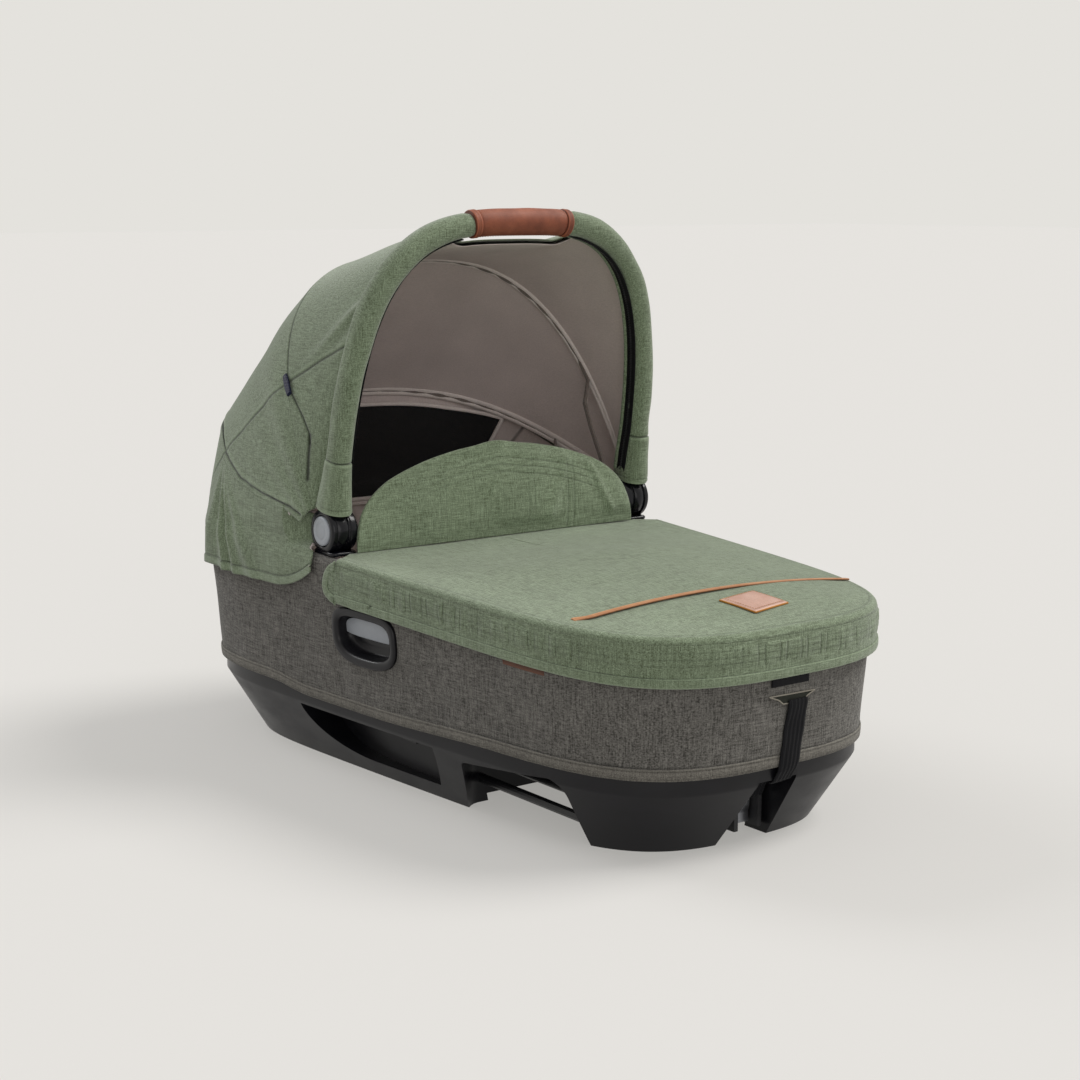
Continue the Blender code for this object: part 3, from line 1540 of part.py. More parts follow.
def build_window(materials, rows):
    """Black ventilation mesh inside the rear fabric, between the rim and the lower rib."""
    columns = len(rows[0])
    first = round(columns * WINDOW_SIDE_SHARE)
    last = columns - first
    grid = []
    for share in np.linspace(*WINDOW_SPAN_SHARES, 4):
        line = []
        for j in range(first, last):
            point = rows_point(rows, j, share)
            inward = Vector((HUB_X, point.y / 2, point.z)) - point
            inset = inward.normalized() * (WINDOW_THICKNESS / 2 + WINDOW_CLEARANCE)
            line.append(point + inset)
        grid.append(line)
    centre = Vector((HUB_X, 0.0, HUB_HEIGHT))
    fabric_from_grid("window_mesh", grid, WINDOW_THICKNESS, centre, materials["black_mesh"])


def rows_point(rows, column, share):
    """A point between the shoulder and the top row of the skirt."""
    steps = len(rows) - 1
    place = share * steps
    low = min(steps - 1, math.floor(place))
    return rows[low][column].lerp(rows[low + 1][column], place - low)


# Boot cover


def crown_at(x, y):
    """How far the boot cover's top stands above its edge."""
    half = BODY_HALF_LENGTH
    run = min(1.0, max(0.0, (x - APRON_START_X) / (half / 2)))
    run = run * run * (3.0 - 2.0 * run)
    width = max(SEAT_GAP, body_half_width(min(x, half - SEAT_GAP), RIM_HEIGHT))
    side = max(0.0, 1.0 - (y / width) ** 2)
    end = max(0.0, 1.0 - (max(0.0, x) / half) ** 6)
    return APRON_CROWN * run * side * end


def apron_band_drop(x):
    """Depth of the side band, which rounds off to nothing at its rear ends."""
    ahead = min(1.0, max(0.0, (x - APRON_BAND_START_X) / APRON_CORNER))
    rounding = math.sqrt(max(0.0, 1.0 - (1.0 - ahead) ** 2))
    return APRON_BAND_HEIGHT * (APRON_REAR_SHARE + (1.0 - APRON_REAR_SHARE) * rounding)


def apron_rows(offset, lift):
    """Rows from the band's lower edge over the rim to the middle line."""
    first = station_at(APRON_BAND_START_X)
    stations = stations_between(-first, first)
    edge = plan_ring(offset, offset, rim_height_at, stations)
    rows = []
    for share in APRON_BAND_SHARES:
        rows.append(
            [Vector((x, y, z + SEAT_GAP - apron_band_drop(x) * share)) for x, y, z in edge]
        )
    spine_x = BODY_HALF_LENGTH * APRON_SPINE_SHARE
    for share in APRON_ROW_SHARES:
        row = []
        for x, y, _ in edge:
            target = min(x, spine_x)
            px = x + (target - x) * share
            py = y * (1.0 - share)
            row.append(Vector((px, py, rim_height_at(px) + lift + crown_at(px, py))))
        rows.append(row)
    return rows


def apron_top(x, y):
    """Height of the boot cover's outer face."""
    return rim_height_at(x) + SEAT_GAP + BAND_THICKNESS + crown_at(x, y)


def build_apron(materials):
    outer = apron_rows(-FACE_GAP - BAND_THICKNESS, SEAT_GAP + BAND_THICKNESS)
    inner = apron_rows(-FACE_GAP, SEAT_GAP)
    sheet_with_shared_spine("apron_cover", outer, inner, materials["green_fabric"])
    build_apron_binding(materials, outer[0])
    build_flap(materials)
    build_trim(materials)
    build_badge(materials)


def sheet_with_shared_spine(name, outer, inner, material):
    """Like thick_sheet, for a sheet whose last row folds onto itself along the middle line."""
    bm = bmesh.new()
    top, bottom = [[[bm.verts.new(p) for p in row] for row in grid] for grid in (outer, inner)]
    for rows in (top, bottom):
        for first, second in zip(rows, rows[1:]):
            bridge(bm, first, second, False)
    bridge(bm, top[0], bottom[0], False)
    for end in (0, -1):
        bridge(bm, [row[end] for row in top], [row[end] for row in bottom], False)
    return finish_bmesh(name, bm, material, 50.0)


def build_apron_binding(materials, lower_edge):
    """Folded binding under the boot cover's lower edge."""
    first = station_at(APRON_BAND_START_X)
    stations = stations_between(-first, first)
    outer = -FACE_GAP - BAND_THICKNESS
    inner = outer + BINDING_THICKNESS
    rows = {}
    for key, offset in (("outer", outer), ("inner", inner)):
        ring = plan_ring(offset, offset, 0.0, stations)
        line = []
        for (x, y, _), edge in zip(ring, lower_edge):
            line.append(Vector((x, y, edge.z - FACE_GAP)))
        rows[key] = line
    depth = BINDING_HEIGHT / 3
    grid = {
        key: [line, [p - Vector((0.0, 0.0, depth)) for p in line]] for key, line in rows.items()
    }
    thick_sheet("apron_binding", grid["outer"], grid["inner"], materials["green_fabric"])


FLAP_X = HUB_X + HUB_RADIUS + FLAP_HUB_CLEARANCE


def flap_base_height():
    """Height of the flap's seam, at which its lower rear edge clears the boot cover."""
    rear = FLAP_SEAM_THICKNESS / 2
    dip = rear * math.sin(math.radians(abs(FLAP_LEAN_DEGREES)))
    return apron_top(FLAP_X - rear, 0.0) + dip + FACE_GAP


def build_flap(materials):
    """The stiffened wind flap that stands across the opening, on the seam it folds about."""
    lean = math.radians(FLAP_LEAN_DEGREES)
    up = Vector((math.sin(lean), 0.0, math.cos(lean)))
    fore = Vector((math.cos(lean), 0.0, -math.sin(lean)))
    foot = Vector((FLAP_X, 0.0, flap_base_height()))
    columns = 25
    end_share = 0.35
    grids = []
    for face in (1, -1):
        rows = []
        for level in FLAP_LEVEL_SHARES:
            row = []
            for k in range(columns):
                angle = math.pi * (k + end_share) / (columns - 1 + 2 * end_share)
                y = -FLAP_HALF_WIDTH * math.cos(angle)
                top = FLAP_HEIGHT * math.sin(angle) ** (2.0 / FLAP_ROUNDNESS)
                bulge = FLAP_THICKNESS * math.sin(math.pi * level) * math.sin(angle)
                away = min(1.0, top * level / FLAP_SEAM_RUN)
                thickness = FLAP_SEAM_THICKNESS + (FLAP_THICKNESS - FLAP_SEAM_THICKNESS) * away
                depth = face * thickness / 2 + bulge
                row.append(foot + Vector((0.0, y, 0.0)) + up * (top * level) + fore * depth)
            rows.append(row)
        grids.append(rows)
    flap = thick_sheet("wind_flap", grids[0], grids[1], materials["green_fabric"], 60.0)
    set_origin(flap, foot)
    return flap


def surface_strip(name, places, thickness, material):
    """A thin patch laid on the boot cover's top. places is a grid of (x, y)."""
    low, high = [], []
    for row in places:
        low.append([Vector((x, y, apron_top(x, y) + FACE_GAP)) for x, y in row])
        high.append([Vector((x, y, apron_top(x, y) + FACE_GAP + thickness)) for x, y in row])
    return thick_sheet(name, high, low, material)


def build_trim(materials):
    """A tan leather strip across the boot cover."""
    reach = body_half_width(TRIM_X, RIM_HEIGHT) - BAND_THICKNESS
    count = 25
    places = [
        [(x, -reach + 2 * reach * k / (count - 1)) for k in range(count)]
        for x in (TRIM_X - TRIM_WIDTH / 2, TRIM_X + TRIM_WIDTH / 2)
    ]
    return surface_strip("apron_trim", places, TRIM_THICKNESS, materials["tan_leather"])


def build_badge(materials):
    """A plain leather patch near the foot end."""
    xs = (BADGE_X - BADGE_LENGTH / 2, BADGE_X, BADGE_X + BADGE_LENGTH / 2)
    ys = (-BADGE_WIDTH / 2, 0.0, BADGE_WIDTH / 2)
    places = [[(x, y) for y in ys] for x in xs]
    return surface_strip("apron_badge", places, BADGE_THICKNESS, materials["tan_leather"])


# Side fittings


def wall_frame(x, z, side):
    """Origin and axes (fore, up, out) of the body's side wall at a place."""
    step = BODY_HALF_LENGTH / 100

    def at(px, pz):
        return Vector((px, side * body_half_width(px, pz), pz))

    origin = at(x, z)
    fore = (at(x + step, z) - at(x - step, z)).normalized()
    up = (at(x, z + step) - at(x, z - step)).normalized()
    out = fore.cross(up).normalized()
    if out.y * side < 0:
        out = -out
    up = out.cross(fore).normalized()
    if up.z < 0:
        up = -up
    return origin, fore, up, out


def egg_outline(grow, count):
    """Rounded shape of the adapter fitting: full above and rounder below."""
    half_wide = ADAPTER_WIDTH / 2 + grow
    half_tall = ADAPTER_TALL / 2 + grow
    points = []
    for k in range(count):
        angle = math.tau * (k + 0.5) / count
        squareness = ADAPTER_UPPER_SQUARENESS if math.sin(angle) > 0 else ADAPTER_SQUARENESS
        power = 2.0 / squareness
        c, s = math.cos(angle), math.sin(angle)
        points.append(
            (
                half_wide * math.copysign(abs(c) ** power, c),
                half_tall * math.copysign(abs(s) ** power, s),
            )
        )
    return points


def wall_prism(name, outline, low, high, frame, material=None):
    """Extrudes an outline drawn on the side wall, along the wall's normal."""
    origin, fore, up, out = frame
    return prism(
        name, outline, low, high, lambda u, v, w: origin + fore * u + up * v + out * w, material
    )


ADAPTER_COUNT = 24


def adapter_hole(side):
    """Cutter for the hole in the cover and the tub that the fitting's cup goes through."""
    frame = wall_frame(ADAPTER_X, ADAPTER_HEIGHT, side)
    outline = egg_outline(-ADAPTER_RING / 2 + ADAPTER_CUP_WALL / 2 + FACE_GAP, ADAPTER_COUNT)
    return wall_prism("adapter hole", outline, -ADAPTER_DEPTH, CUT_OVERRUN, frame)


def build_adapter(materials, side):
    """The oval fitting with its finger recess, and the release lever inside its top."""
    frame = wall_frame(ADAPTER_X, ADAPTER_HEIGHT, side)
    seat = FACE_GAP
    ring = wall_prism(
        side_name("adapter_housing", side),
        egg_outline(0.0, ADAPTER_COUNT),
        seat,
        ADAPTER_PROUD,
        frame,
        materials["black_plastic"],
    )
    cup_grow = -ADAPTER_RING / 2 + ADAPTER_CUP_WALL / 2
    cup_floor = -ADAPTER_DEPTH + ADAPTER_CUP_WALL
    join(
        ring,
        wall_prism(
            "cup", egg_outline(cup_grow, ADAPTER_COUNT), cup_floor, ADAPTER_PROUD / 2, frame
        ),
    )
    recess_grow = -ADAPTER_RING / 2 - ADAPTER_CUP_WALL / 2
    cut(
        ring,
        wall_prism(
            "recess",
            egg_outline(recess_grow, ADAPTER_COUNT),
            cup_floor + ADAPTER_CUP_WALL,
            ADAPTER_PROUD + CUT_OVERRUN,
            frame,
        ),
    )
    lever = build_lever(materials, side, frame, recess_grow)
    origin, fore, up, out = frame
    return ring, lever


def build_lever(materials, side, frame, recess_grow):
    """The light grey lever. It leaves room above itself for its travel."""
    origin, fore, up, out = frame
    top = ADAPTER_TALL / 2 + recess_grow - LEVER_TRAVEL - LEVER_SIDE_GAP
    bottom = top - LEVER_HEIGHT
    outline = []
    for u, v in egg_outline(recess_grow - LEVER_SIDE_GAP, ADAPTER_COUNT * 2):
        if v >= bottom + LEVER_TRAVEL:
            outline.append((u, min(top, v - LEVER_TRAVEL)))
    outline.sort(key=lambda place: -place[0])
    half = max(u for u, _ in outline)
    steps = 5
    for k in range(1, steps):
        angle = math.pi * k / steps
        outline.append((-half * math.cos(angle), bottom - LEVER_HEIGHT / 4 * math.sin(angle)))
    low = -ADAPTER_DEPTH + 2 * ADAPTER_CUP_WALL + SEAT_GAP
    lever = wall_prism(
        side_name("release_lever", side),
        outline,
        low,
        low + LEVER_THICKNESS,
        frame,
        materials["light_grey_plastic"],
    )
    set_origin(lever, origin + up * top)
    return lever


def build_side_label(materials):
    """A plain leather tab on the near side, just under the boot cover's edge."""
    first = PLAN_POINTS - station_at(SIDE_LABEL_X - SIDE_LABEL_LENGTH / 2)
    last = PLAN_POINTS - station_at(SIDE_LABEL_X + SIDE_LABEL_LENGTH / 2)
    stations = stations_between(first, last)

    def below_band(drop):
        depth = APRON_BAND_HEIGHT + BINDING_HEIGHT / 3 - SIDE_LABEL_OVERLAP + drop
        return lambda x: rim_height_at(x) - depth

    faces = []
    for offset in (-SEAT_GAP - SIDE_LABEL_THICKNESS, -SEAT_GAP):
        faces.append(
            [body_ring(offset, below_band(drop), stations) for drop in (0.0, SIDE_LABEL_HEIGHT)]
        )
    return thick_sheet("side_label", *faces, materials["brown_leather"])


# Foot end fittings


def foot_plate(name, outline, material, thickness):
    """A thin plate on the foot end's cover. outline gives (y, z) points."""
    rings = []
    for extra in (0.0, thickness):
        rings.append([(body_end_x(z) + FACE_GAP + extra, y, z) for y, z in outline])
    return loft(name, rings, material)


def strap_path():
    """Side view of the strap: down the cover, under the hem and into the notch."""
    out = FACE_GAP + SLOT_PATCH_THICKNESS + SEAT_GAP
    hem_out = SEAT_GAP + BINDING_THICKNESS + STRAP_HEM_CLEARANCE / 4
    hem_top = HEM_HEIGHT + BINDING_HEIGHT
    neck_x = BODY_HALF_LENGTH - BASE_NECK_INSET
    arch = ARCH_HEIGHT - STRAP_HEM_CLEARANCE
    lock_x = LOCK_FRONT_X + STRAP_HEM_CLEARANCE
    return [
        (body_end_x(STRAP_TOP) + out, STRAP_TOP),
        (body_end_x(hem_top) + hem_out, hem_top + STRAP_HEM_CLEARANCE),
        (body_end_x(HEM_HEIGHT) + hem_out, HEM_HEIGHT),
        (neck_x + STRAP_HEM_CLEARANCE, ARCH_HEIGHT - STRAP_HEM_CLEARANCE / 4),
        (neck_x - STRAP_HEM_CLEARANCE, arch),
        ((neck_x + lock_x) / 2, arch - STRAP_HEM_CLEARANCE),
        (lock_x, LOCK_PIN_HEIGHT),
    ]


def build_foot_end(materials):
    half_slot = SLOT_PATCH_WIDTH / 2
    patch_low = STRAP_TOP - STRAP_HEM_CLEARANCE / 4
    patch = [
        (-STRAP_WIDTH / 2, patch_low),
        (STRAP_WIDTH / 2, patch_low),
        (half_slot, patch_low + SLOT_PATCH_HEIGHT),
        (-half_slot, patch_low + SLOT_PATCH_HEIGHT),
    ]
    foot_plate("strap_slot_patch", patch, materials["pale_stitch"], SLOT_PATCH_THICKNESS)
    path = [Vector((x, 0.0, z)) for x, z in strap_path()]
    half = STRAP_WIDTH / 2
    rings = []
    for k, point in enumerate(path):
        before = path[max(0, k - 1)]
        after = path[min(len(path) - 1, k + 1)]
        tangent = (after - before).normalized()
        normal = Vector((-tangent.z, 0.0, tangent.x))
        far = point + normal * STRAP_THICKNESS
        rings.append(
            [
                (point.x, -half, point.z),
                (point.x, half, point.z),
                (far.x, half, far.z),
                (far.x, -half, far.z),
            ]
        )
    loft("release_strap", rings, materials["black_webbing"])
    top = (
        rim_height_at(BODY_HALF_LENGTH)
        - APRON_BAND_HEIGHT
        - BINDING_HEIGHT / 3
        + BAND_THICKNESS
        - 2 * FACE_GAP
    )
    half_fastener = FASTENER_WIDTH / 2
    foot_plate(
        "apron_fastener",
        rectangle(-half_fastener, half_fastener, top - FASTENER_HEIGHT, top),
        materials["black_webbing"],
        FASTENER_THICKNESS,
    )


def build_screws(materials):
    """Four screws that hold the base to the tub's floor, seen from below."""
    roof = BASE_HEIGHT - BASE_WALL - SEAT_GAP
    places = [(share, side) for share in SCREW_PLACE_SHARES for side in (-1, 1)]
    for number, (share, side) in enumerate(places, start=1):
        x = BODY_HALF_LENGTH * share
        y = side * (POCKET_FLOOR_Y - BASE_WALL - BASE_FLANGE)
        rings = []
        for z, radius in ((roof - SCREW_HEAD_HEIGHT, SCREW_TIP_RADIUS), (roof, SCREW_HEAD_RADIUS)):
            ring = []
            for k in range(SMALL_SIDES):
                angle = math.tau * k / SMALL_SIDES
                ring.append((x + radius * math.cos(angle), y + radius * math.sin(angle), z))
            rings.append(ring)
        loft(f"base_screw_{number}", rings, materials["bright_steel"])


def main():
    for obj in list(bpy.data.objects):
        bpy.data.objects.remove(obj)
    materials = make_materials()
    build_base(materials)
    build_rods(materials)
    build_frame_latches(materials)
    build_lock(materials)
    build_tub(materials)
    build_cover(materials)
    build_rim(materials)
    build_liner(materials)
    build_mattress(materials)
    build_bow(materials)
    build_ribs(materials)
    for side in (-1, 1):
        build_hub(materials, side)
        build_adapter(materials, side)
    lower_edge = build_canopy(materials)
    build_skirt(materials, lower_edge)
    build_apron(materials)
    build_side_label(materials)
    build_foot_end(materials)
    build_screws(materials)


main()
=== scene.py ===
"""How the carrycot looks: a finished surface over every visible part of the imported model.

Metres, in the model's own frame: +X foot end, +Y far side, +Z up.
"""

import json
import math

import bmesh
import bpy
import numpy as np
from mathutils import Matrix, Vector


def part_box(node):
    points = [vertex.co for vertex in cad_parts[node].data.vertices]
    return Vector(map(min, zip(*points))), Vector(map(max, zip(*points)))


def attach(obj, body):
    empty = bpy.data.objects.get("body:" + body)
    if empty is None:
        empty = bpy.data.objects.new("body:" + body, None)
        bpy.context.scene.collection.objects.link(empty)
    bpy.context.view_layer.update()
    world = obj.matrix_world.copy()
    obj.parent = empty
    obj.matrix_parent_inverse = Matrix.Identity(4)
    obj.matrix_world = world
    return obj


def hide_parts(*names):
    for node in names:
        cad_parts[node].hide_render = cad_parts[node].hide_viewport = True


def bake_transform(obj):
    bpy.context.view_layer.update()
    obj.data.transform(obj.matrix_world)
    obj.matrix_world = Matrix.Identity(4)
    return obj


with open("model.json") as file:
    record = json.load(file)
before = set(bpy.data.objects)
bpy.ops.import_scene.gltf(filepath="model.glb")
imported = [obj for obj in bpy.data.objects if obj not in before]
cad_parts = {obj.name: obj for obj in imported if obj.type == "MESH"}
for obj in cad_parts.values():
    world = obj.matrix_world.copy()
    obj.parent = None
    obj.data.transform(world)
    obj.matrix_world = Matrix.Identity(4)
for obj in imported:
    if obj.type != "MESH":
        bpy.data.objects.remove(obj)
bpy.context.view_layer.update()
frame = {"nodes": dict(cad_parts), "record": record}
BODY_OF = {
    node: body
    for body, nodes in frame["record"]["behaviour"]["bodies"].items()
    for node in nodes
}

# Sizes repeated from the model's source
LENGTH = 0.850
WIDTH = 0.4394
TAPER_SHARE = 0.1308
WAIST_SHARE = 0.0267
END_ROUNDNESS = 7.0
SIDE_ROUNDNESS = 2.89
RIM_HEIGHT = 0.2385
RIM_FALL_SHARE = 0.0447
RIM_RADIUS = 0.0050
HEM_HEIGHT = 0.0840
COVER_LEAN = 0.0110
BAND_THICKNESS = 0.0030
FACE_GAP = 0.0005
SEAT_GAP = 0.0003
HALF_LENGTH = LENGTH / 2 - BAND_THICKNESS - FACE_GAP
HALF_WIDTH = WIDTH / 2
LINER_OFFSET = 0.0228
LINER_BOTTOM = 0.0941
LINER_WALL = 0.0050
MATTRESS_BOTTOM = 0.0964
HUB = Vector((-0.0800, 0.0, 0.2680))
HUB_XZ = np.array([HUB.x, HUB.z])
HUB_RADIUS = 0.0205
DRUM_RADIUS = 0.0243
DRUM_OUTER_Y = 0.2185
DRUM_WIDTH = 0.0205
BOW_LEAN = 10.6
BOW_HOOP = (0.3330, 0.2050, 3.3)
UPPER_LEAN = -29.0
UPPER_HOOP = (0.3205, 0.2150, 2.85)
LOWER_LEAN = -72.0
LOWER_HOOP = (0.3540, 0.2240, 3.3)
CANOPY_EXTRA = 0.0054
CANOPY_START_RISE = 0.0262
PANEL_EXTRA = CANOPY_EXTRA + 0.0013
LINING_BELOW = 0.0052
LINING_START = 0.0300
BESIDE_Y = 0.08
SEAM_DEPTH = 0.0012
STILL_LOW = LOWER_LEAN + 2.2
STILL_HIGH = UPPER_LEAN - 2.0
STILL_FRONT = UPPER_LEAN + 1.6
GRIP_LENGTH = 0.1300
GRIP_RADIUS = 0.01425
GRIP_BAND = 0.0080
FLAP_X = -0.0545
FLAP_LEAN = -6.0
FLAP_FOOT_HEIGHT = 0.2448
APRON_START_X = -0.0560
BAND_START_X = -0.0640
BAND_HEIGHT = 0.0400
EDGE_ROUND = 0.0070
APRON_CROWN = 0.0140
APRON_SPINE_SHARE = 0.60
ADAPTER_HEIGHT = 0.1630
ADAPTER_SIZE = (0.1120, 0.0620)
STATIONS = 56
THICKNESS = {
    "body_cover": 0.0018,
    "cover_hem_band": 0.0012,
    "cot_lining": 0.0035,
    "lining_floor": 0.0010,
    "side_fitting_left": 0.0012,
    "side_fitting_right": 0.0012,
    "hood_middle_panel": 0.0012,
    "hood_front_panel": 0.0014,
    "hood_middle_lining": 0.0007,
    "hood_front_lining": 0.0007,
    "hood_skirt_cloth": 0.0016,
    "vent_net": 0.0008,
    "boot_cover_top": 0.0026,
    "boot_cover_band": 0.0022,
    "boot_cover_border": 0.0014,
    "tan_strip": 0.0016,
    "plain_badge": 0.0016,
    "leather_tab": 0.0009,
    "fastener_tab": 0.0012,
    "strap_webbing": 0.0015,
}
TAU = math.tau
SIDES = ((-1, "left"), (1, "right"))

# Helpers for grids of points


def ripple(u, v, seed, waves=7):
    """Smooth unevenness of about unit size over two coordinates, the same on every run."""
    source = np.random.default_rng(seed)
    total = 0.0
    for _ in range(waves):
        a, b = source.normal(size=2) * 1.3
        total = total + np.sin(a * u + b * v + source.uniform(0, TAU))
    return total / math.sqrt(waves / 2)


def ease(value, low, high):
    share = np.clip((value - low) / (high - low), 0.0, 1.0)
    return share * share * (3.0 - 2.0 * share)


def hump(value, centre, width):
    """A rounded ridge of height 1."""
    return np.exp(-(((value - centre) / width) ** 2))


def to_polyline(points, line):
    """Distance of 2-D points from a polyline, and how far along it the nearest place is."""
    best = np.full(points.shape[:-1], 1e9)
    along = np.zeros(points.shape[:-1])
    line = np.array(line, float)
    start = 0.0
    for a, b in zip(line, line[1:]):
        step = b - a
        length = float(np.hypot(*step))
        t = np.clip(((points - a) @ step) / length**2, 0.0, 1.0)
        gap = np.linalg.norm(points - a - t[..., None] * step, axis=-1)
        nearer = gap < best
        best = np.where(nearer, gap, best)
        along = np.where(nearer, start + t * length, along)
        start += length
    return best, along / start


def smooth_through(points, count):
    """A smooth curve through chosen points, evenly spaced."""
    points = np.array(points, float)
    ends = [2 * points[0] - points[1], 2 * points[-1] - points[-2]]
    padded = np.vstack([ends[0], points, ends[1]])
    fine = []
    for p0, p1, p2, p3 in zip(padded, padded[1:], padded[2:], padded[3:]):
        for t in np.linspace(0.0, 1.0, 24, endpoint=False):
            fine.append(
                0.5
                * (
                    2 * p1
                    + (p2 - p0) * t
                    + (2 * p0 - 5 * p1 + 4 * p2 - p3) * t * t
                    + (3 * p1 - p0 - 3 * p2 + p3) * t**3
                )
            )
    fine.append(points[-1])
    return even(np.array(fine), count)


def even(line, count):
    travelled = travelled_along(line)
    return sample(np.linspace(0.0, travelled[-1], count), travelled, line)


def signed_power(value, power):
    return np.sign(value) * np.abs(value) ** power


def round_edge(share):
    """A quarter circle's height, from 0 at its edge to 1."""
    return np.sqrt(np.clip(1 - (1 - np.clip(share, 0, 1)) ** 2, 0, 1))


def travelled_along(line):
    steps = np.linalg.norm(np.diff(line, axis=0), axis=1)
    return np.concatenate([[0.0], np.cumsum(steps)])


def sample(where, travelled, values):
    """Each column of values at places along a line."""
    return np.stack([np.interp(where, travelled, column) for column in values.T], -1)


def hub_reach(points):
    """Distance from the pivots' axis."""
    return np.linalg.norm(points[..., (0, 2)] - HUB_XZ, axis=-1)


def unit(vectors):
    return vectors / np.maximum(np.linalg.norm(vectors, axis=-1, keepdims=True), 1e-12)


def grid_normals(grid, inside):
    """Directions out of a grid of points, away from a point inside."""
    across = np.gradient(grid, axis=0)
    along = np.gradient(grid, axis=1)
    normals = unit(np.cross(across, along))
    facing = np.sign(np.sum(normals * (grid - np.array(inside)), axis=-1, keepdims=True))
    return normals * np.where(facing == 0, 1, facing)


# Helpers for meshes


def add_to_scene(name, data):
    obj = bpy.data.objects.new(name, data)
    bpy.context.scene.collection.objects.link(obj)
    return obj


def make_object(name, points, faces, material, marks=None, smooth=True):
    mesh = bpy.data.meshes.new(name)
    mesh.from_pydata([tuple(p) for p in points], [], [list(f) for f in faces])
    for key, values in (marks or {}).items():
        attribute = mesh.attributes.new(key, "FLOAT", "POINT")
        attribute.data.foreach_set("value", np.asarray(values, np.float32).ravel())
    mesh.materials.append(material)
    mesh.update()
    if smooth:
        mesh.shade_smooth()
    return add_to_scene(name, mesh)


def edit(obj, *jobs):
    bm = bmesh.new()
    bm.from_mesh(obj.data)
    for job in jobs:
        job(bm)
    bm.to_mesh(obj.data)
    bm.free()


def weld(distance):
    return lambda bm: bmesh.ops.remove_doubles(bm, verts=bm.verts, dist=distance)


def outwards(bm):
    bmesh.ops.recalc_face_normals(bm, faces=bm.faces)
    if bm.calc_volume(signed=True) < 0:
        bmesh.ops.reverse_faces(bm, faces=bm.faces)


def grid_faces(rows, columns, close_rows=False, close_columns=False):
    index = np.arange(rows * columns).reshape(rows, columns)
    if close_rows:
        index = np.vstack([index, index[:1]])
    if close_columns:
        index = np.hstack([index, index[:, :1]])
    corners = (index[:-1, :-1], index[:-1, 1:], index[1:, 1:], index[1:, :-1])
    return np.stack(corners, -1).reshape(-1, 4)


def sheet_from(name, grid, material, inside, marks=None, close_columns=False, keep=None):
    """An open surface through a grid, facing away from a point inside."""
    faces = grid_faces(*grid.shape[:2], close_columns=close_columns)
    a, b, c = (grid.reshape(-1, 3)[faces[:, k]] for k in range(3))
    normals = np.cross(b - a, c - a)
    if float(np.sum(normals * (a - np.array(inside)))) < 0:
        faces = faces[:, ::-1]
    if keep is not None:
        faces = faces[keep(grid.reshape(-1, 3)[faces].mean(axis=1))]
    return make_object(name, grid.reshape(-1, 3), faces, material, marks)


def solid_from(name, rings, material, marks=None, capped=True):
    """A closed solid through rings of points, capped or joined end to end."""
    rings = np.array(rings)
    rows, columns = rings.shape[:2]
    faces = grid_faces(rows, columns, close_rows=not capped, close_columns=True).tolist()
    if capped:
        faces.append(list(range(columns)))
        faces.append(list(range((rows - 1) * columns, rows * columns)))
    obj = make_object(name, rings.reshape(-1, 3), faces, material, marks)
    edit(obj, outwards)
    obj.data.set_sharp_from_angle(angle=math.radians(50))
    return obj


def thicken(obj, lining=None):
    """Gives a sheet its own thickness. lining is the material of its inner face."""
    solid = obj.modifiers.new("thickness", "SOLIDIFY")
    solid.thickness = THICKNESS[obj.name]
    solid.offset = -1.0
    solid.use_even_offset = False
    if lining is not None:
        obj.data.materials.append(lining)
        solid.material_offset = 1
        solid.material_offset_rim = 0
    return obj


def tube(name, path, radius, material, sides=10, closed=False, side_axis=None):
    """A round cord along a path. radius may change along it."""
    path = np.array(path, float)
    count = len(path)
    radius = np.broadcast_to(np.asarray(radius, float), (count,))
    if closed:
        tangents = unit(np.roll(path, -1, axis=0) - np.roll(path, 1, axis=0))
    else:
        tangents = unit(np.gradient(path, axis=0))
    if side_axis is None:
        first = np.cross(tangents[0], (0.3, 0.2, 1.0))
        sides_of = [unit(first)]
        for tangent in tangents[1:]:
            last = sides_of[-1]
            sides_of.append(unit(last - tangent * float(last @ tangent)))
        sides_of = np.array(sides_of)
    else:
        axis = np.broadcast_to(np.array(side_axis, float), (count, 3))
        sides_of = unit(axis - tangents * np.sum(axis * tangents, axis=1, keepdims=True))
    ups = np.cross(tangents, sides_of)
    angles = TAU * np.arange(sides) / sides
    rings = (
        path[:, None]
        + sides_of[:, None] * (radius[:, None] * np.cos(angles))[..., None]
        + ups[:, None] * (radius[:, None] * np.sin(angles))[..., None]
    )
    return solid_from(name, rings, material, capped=not closed)


def turned(name, profile, side, material, sides=96):
    """A profile of (y, radius) turned about the pivots' axis, on one side."""
    angles = TAU * np.arange(sides) / sides
    rings = []
    for y, radius in profile:
        ring = np.stack(
            [
                HUB.x + radius * np.cos(angles),
                np.full(sides, side * y),
                HUB.z + radius * np.sin(angles),
            ],
            1,
        )
        rings.append(ring)
    return solid_from(name, rings, material)


def gather(name, objects, material):
    """Joins small loose pieces into one object."""
    points, faces, start = [], [], 0
    for obj in objects:
        points += [tuple(v.co) for v in obj.data.vertices]
        faces += [[i + start for i in p.vertices] for p in obj.data.polygons]
        start = len(points)
        bpy.data.objects.remove(obj)
    joined = make_object(name, points, faces, material)
    joined.data.set_sharp_from_angle(angle=math.radians(50))
    return joined


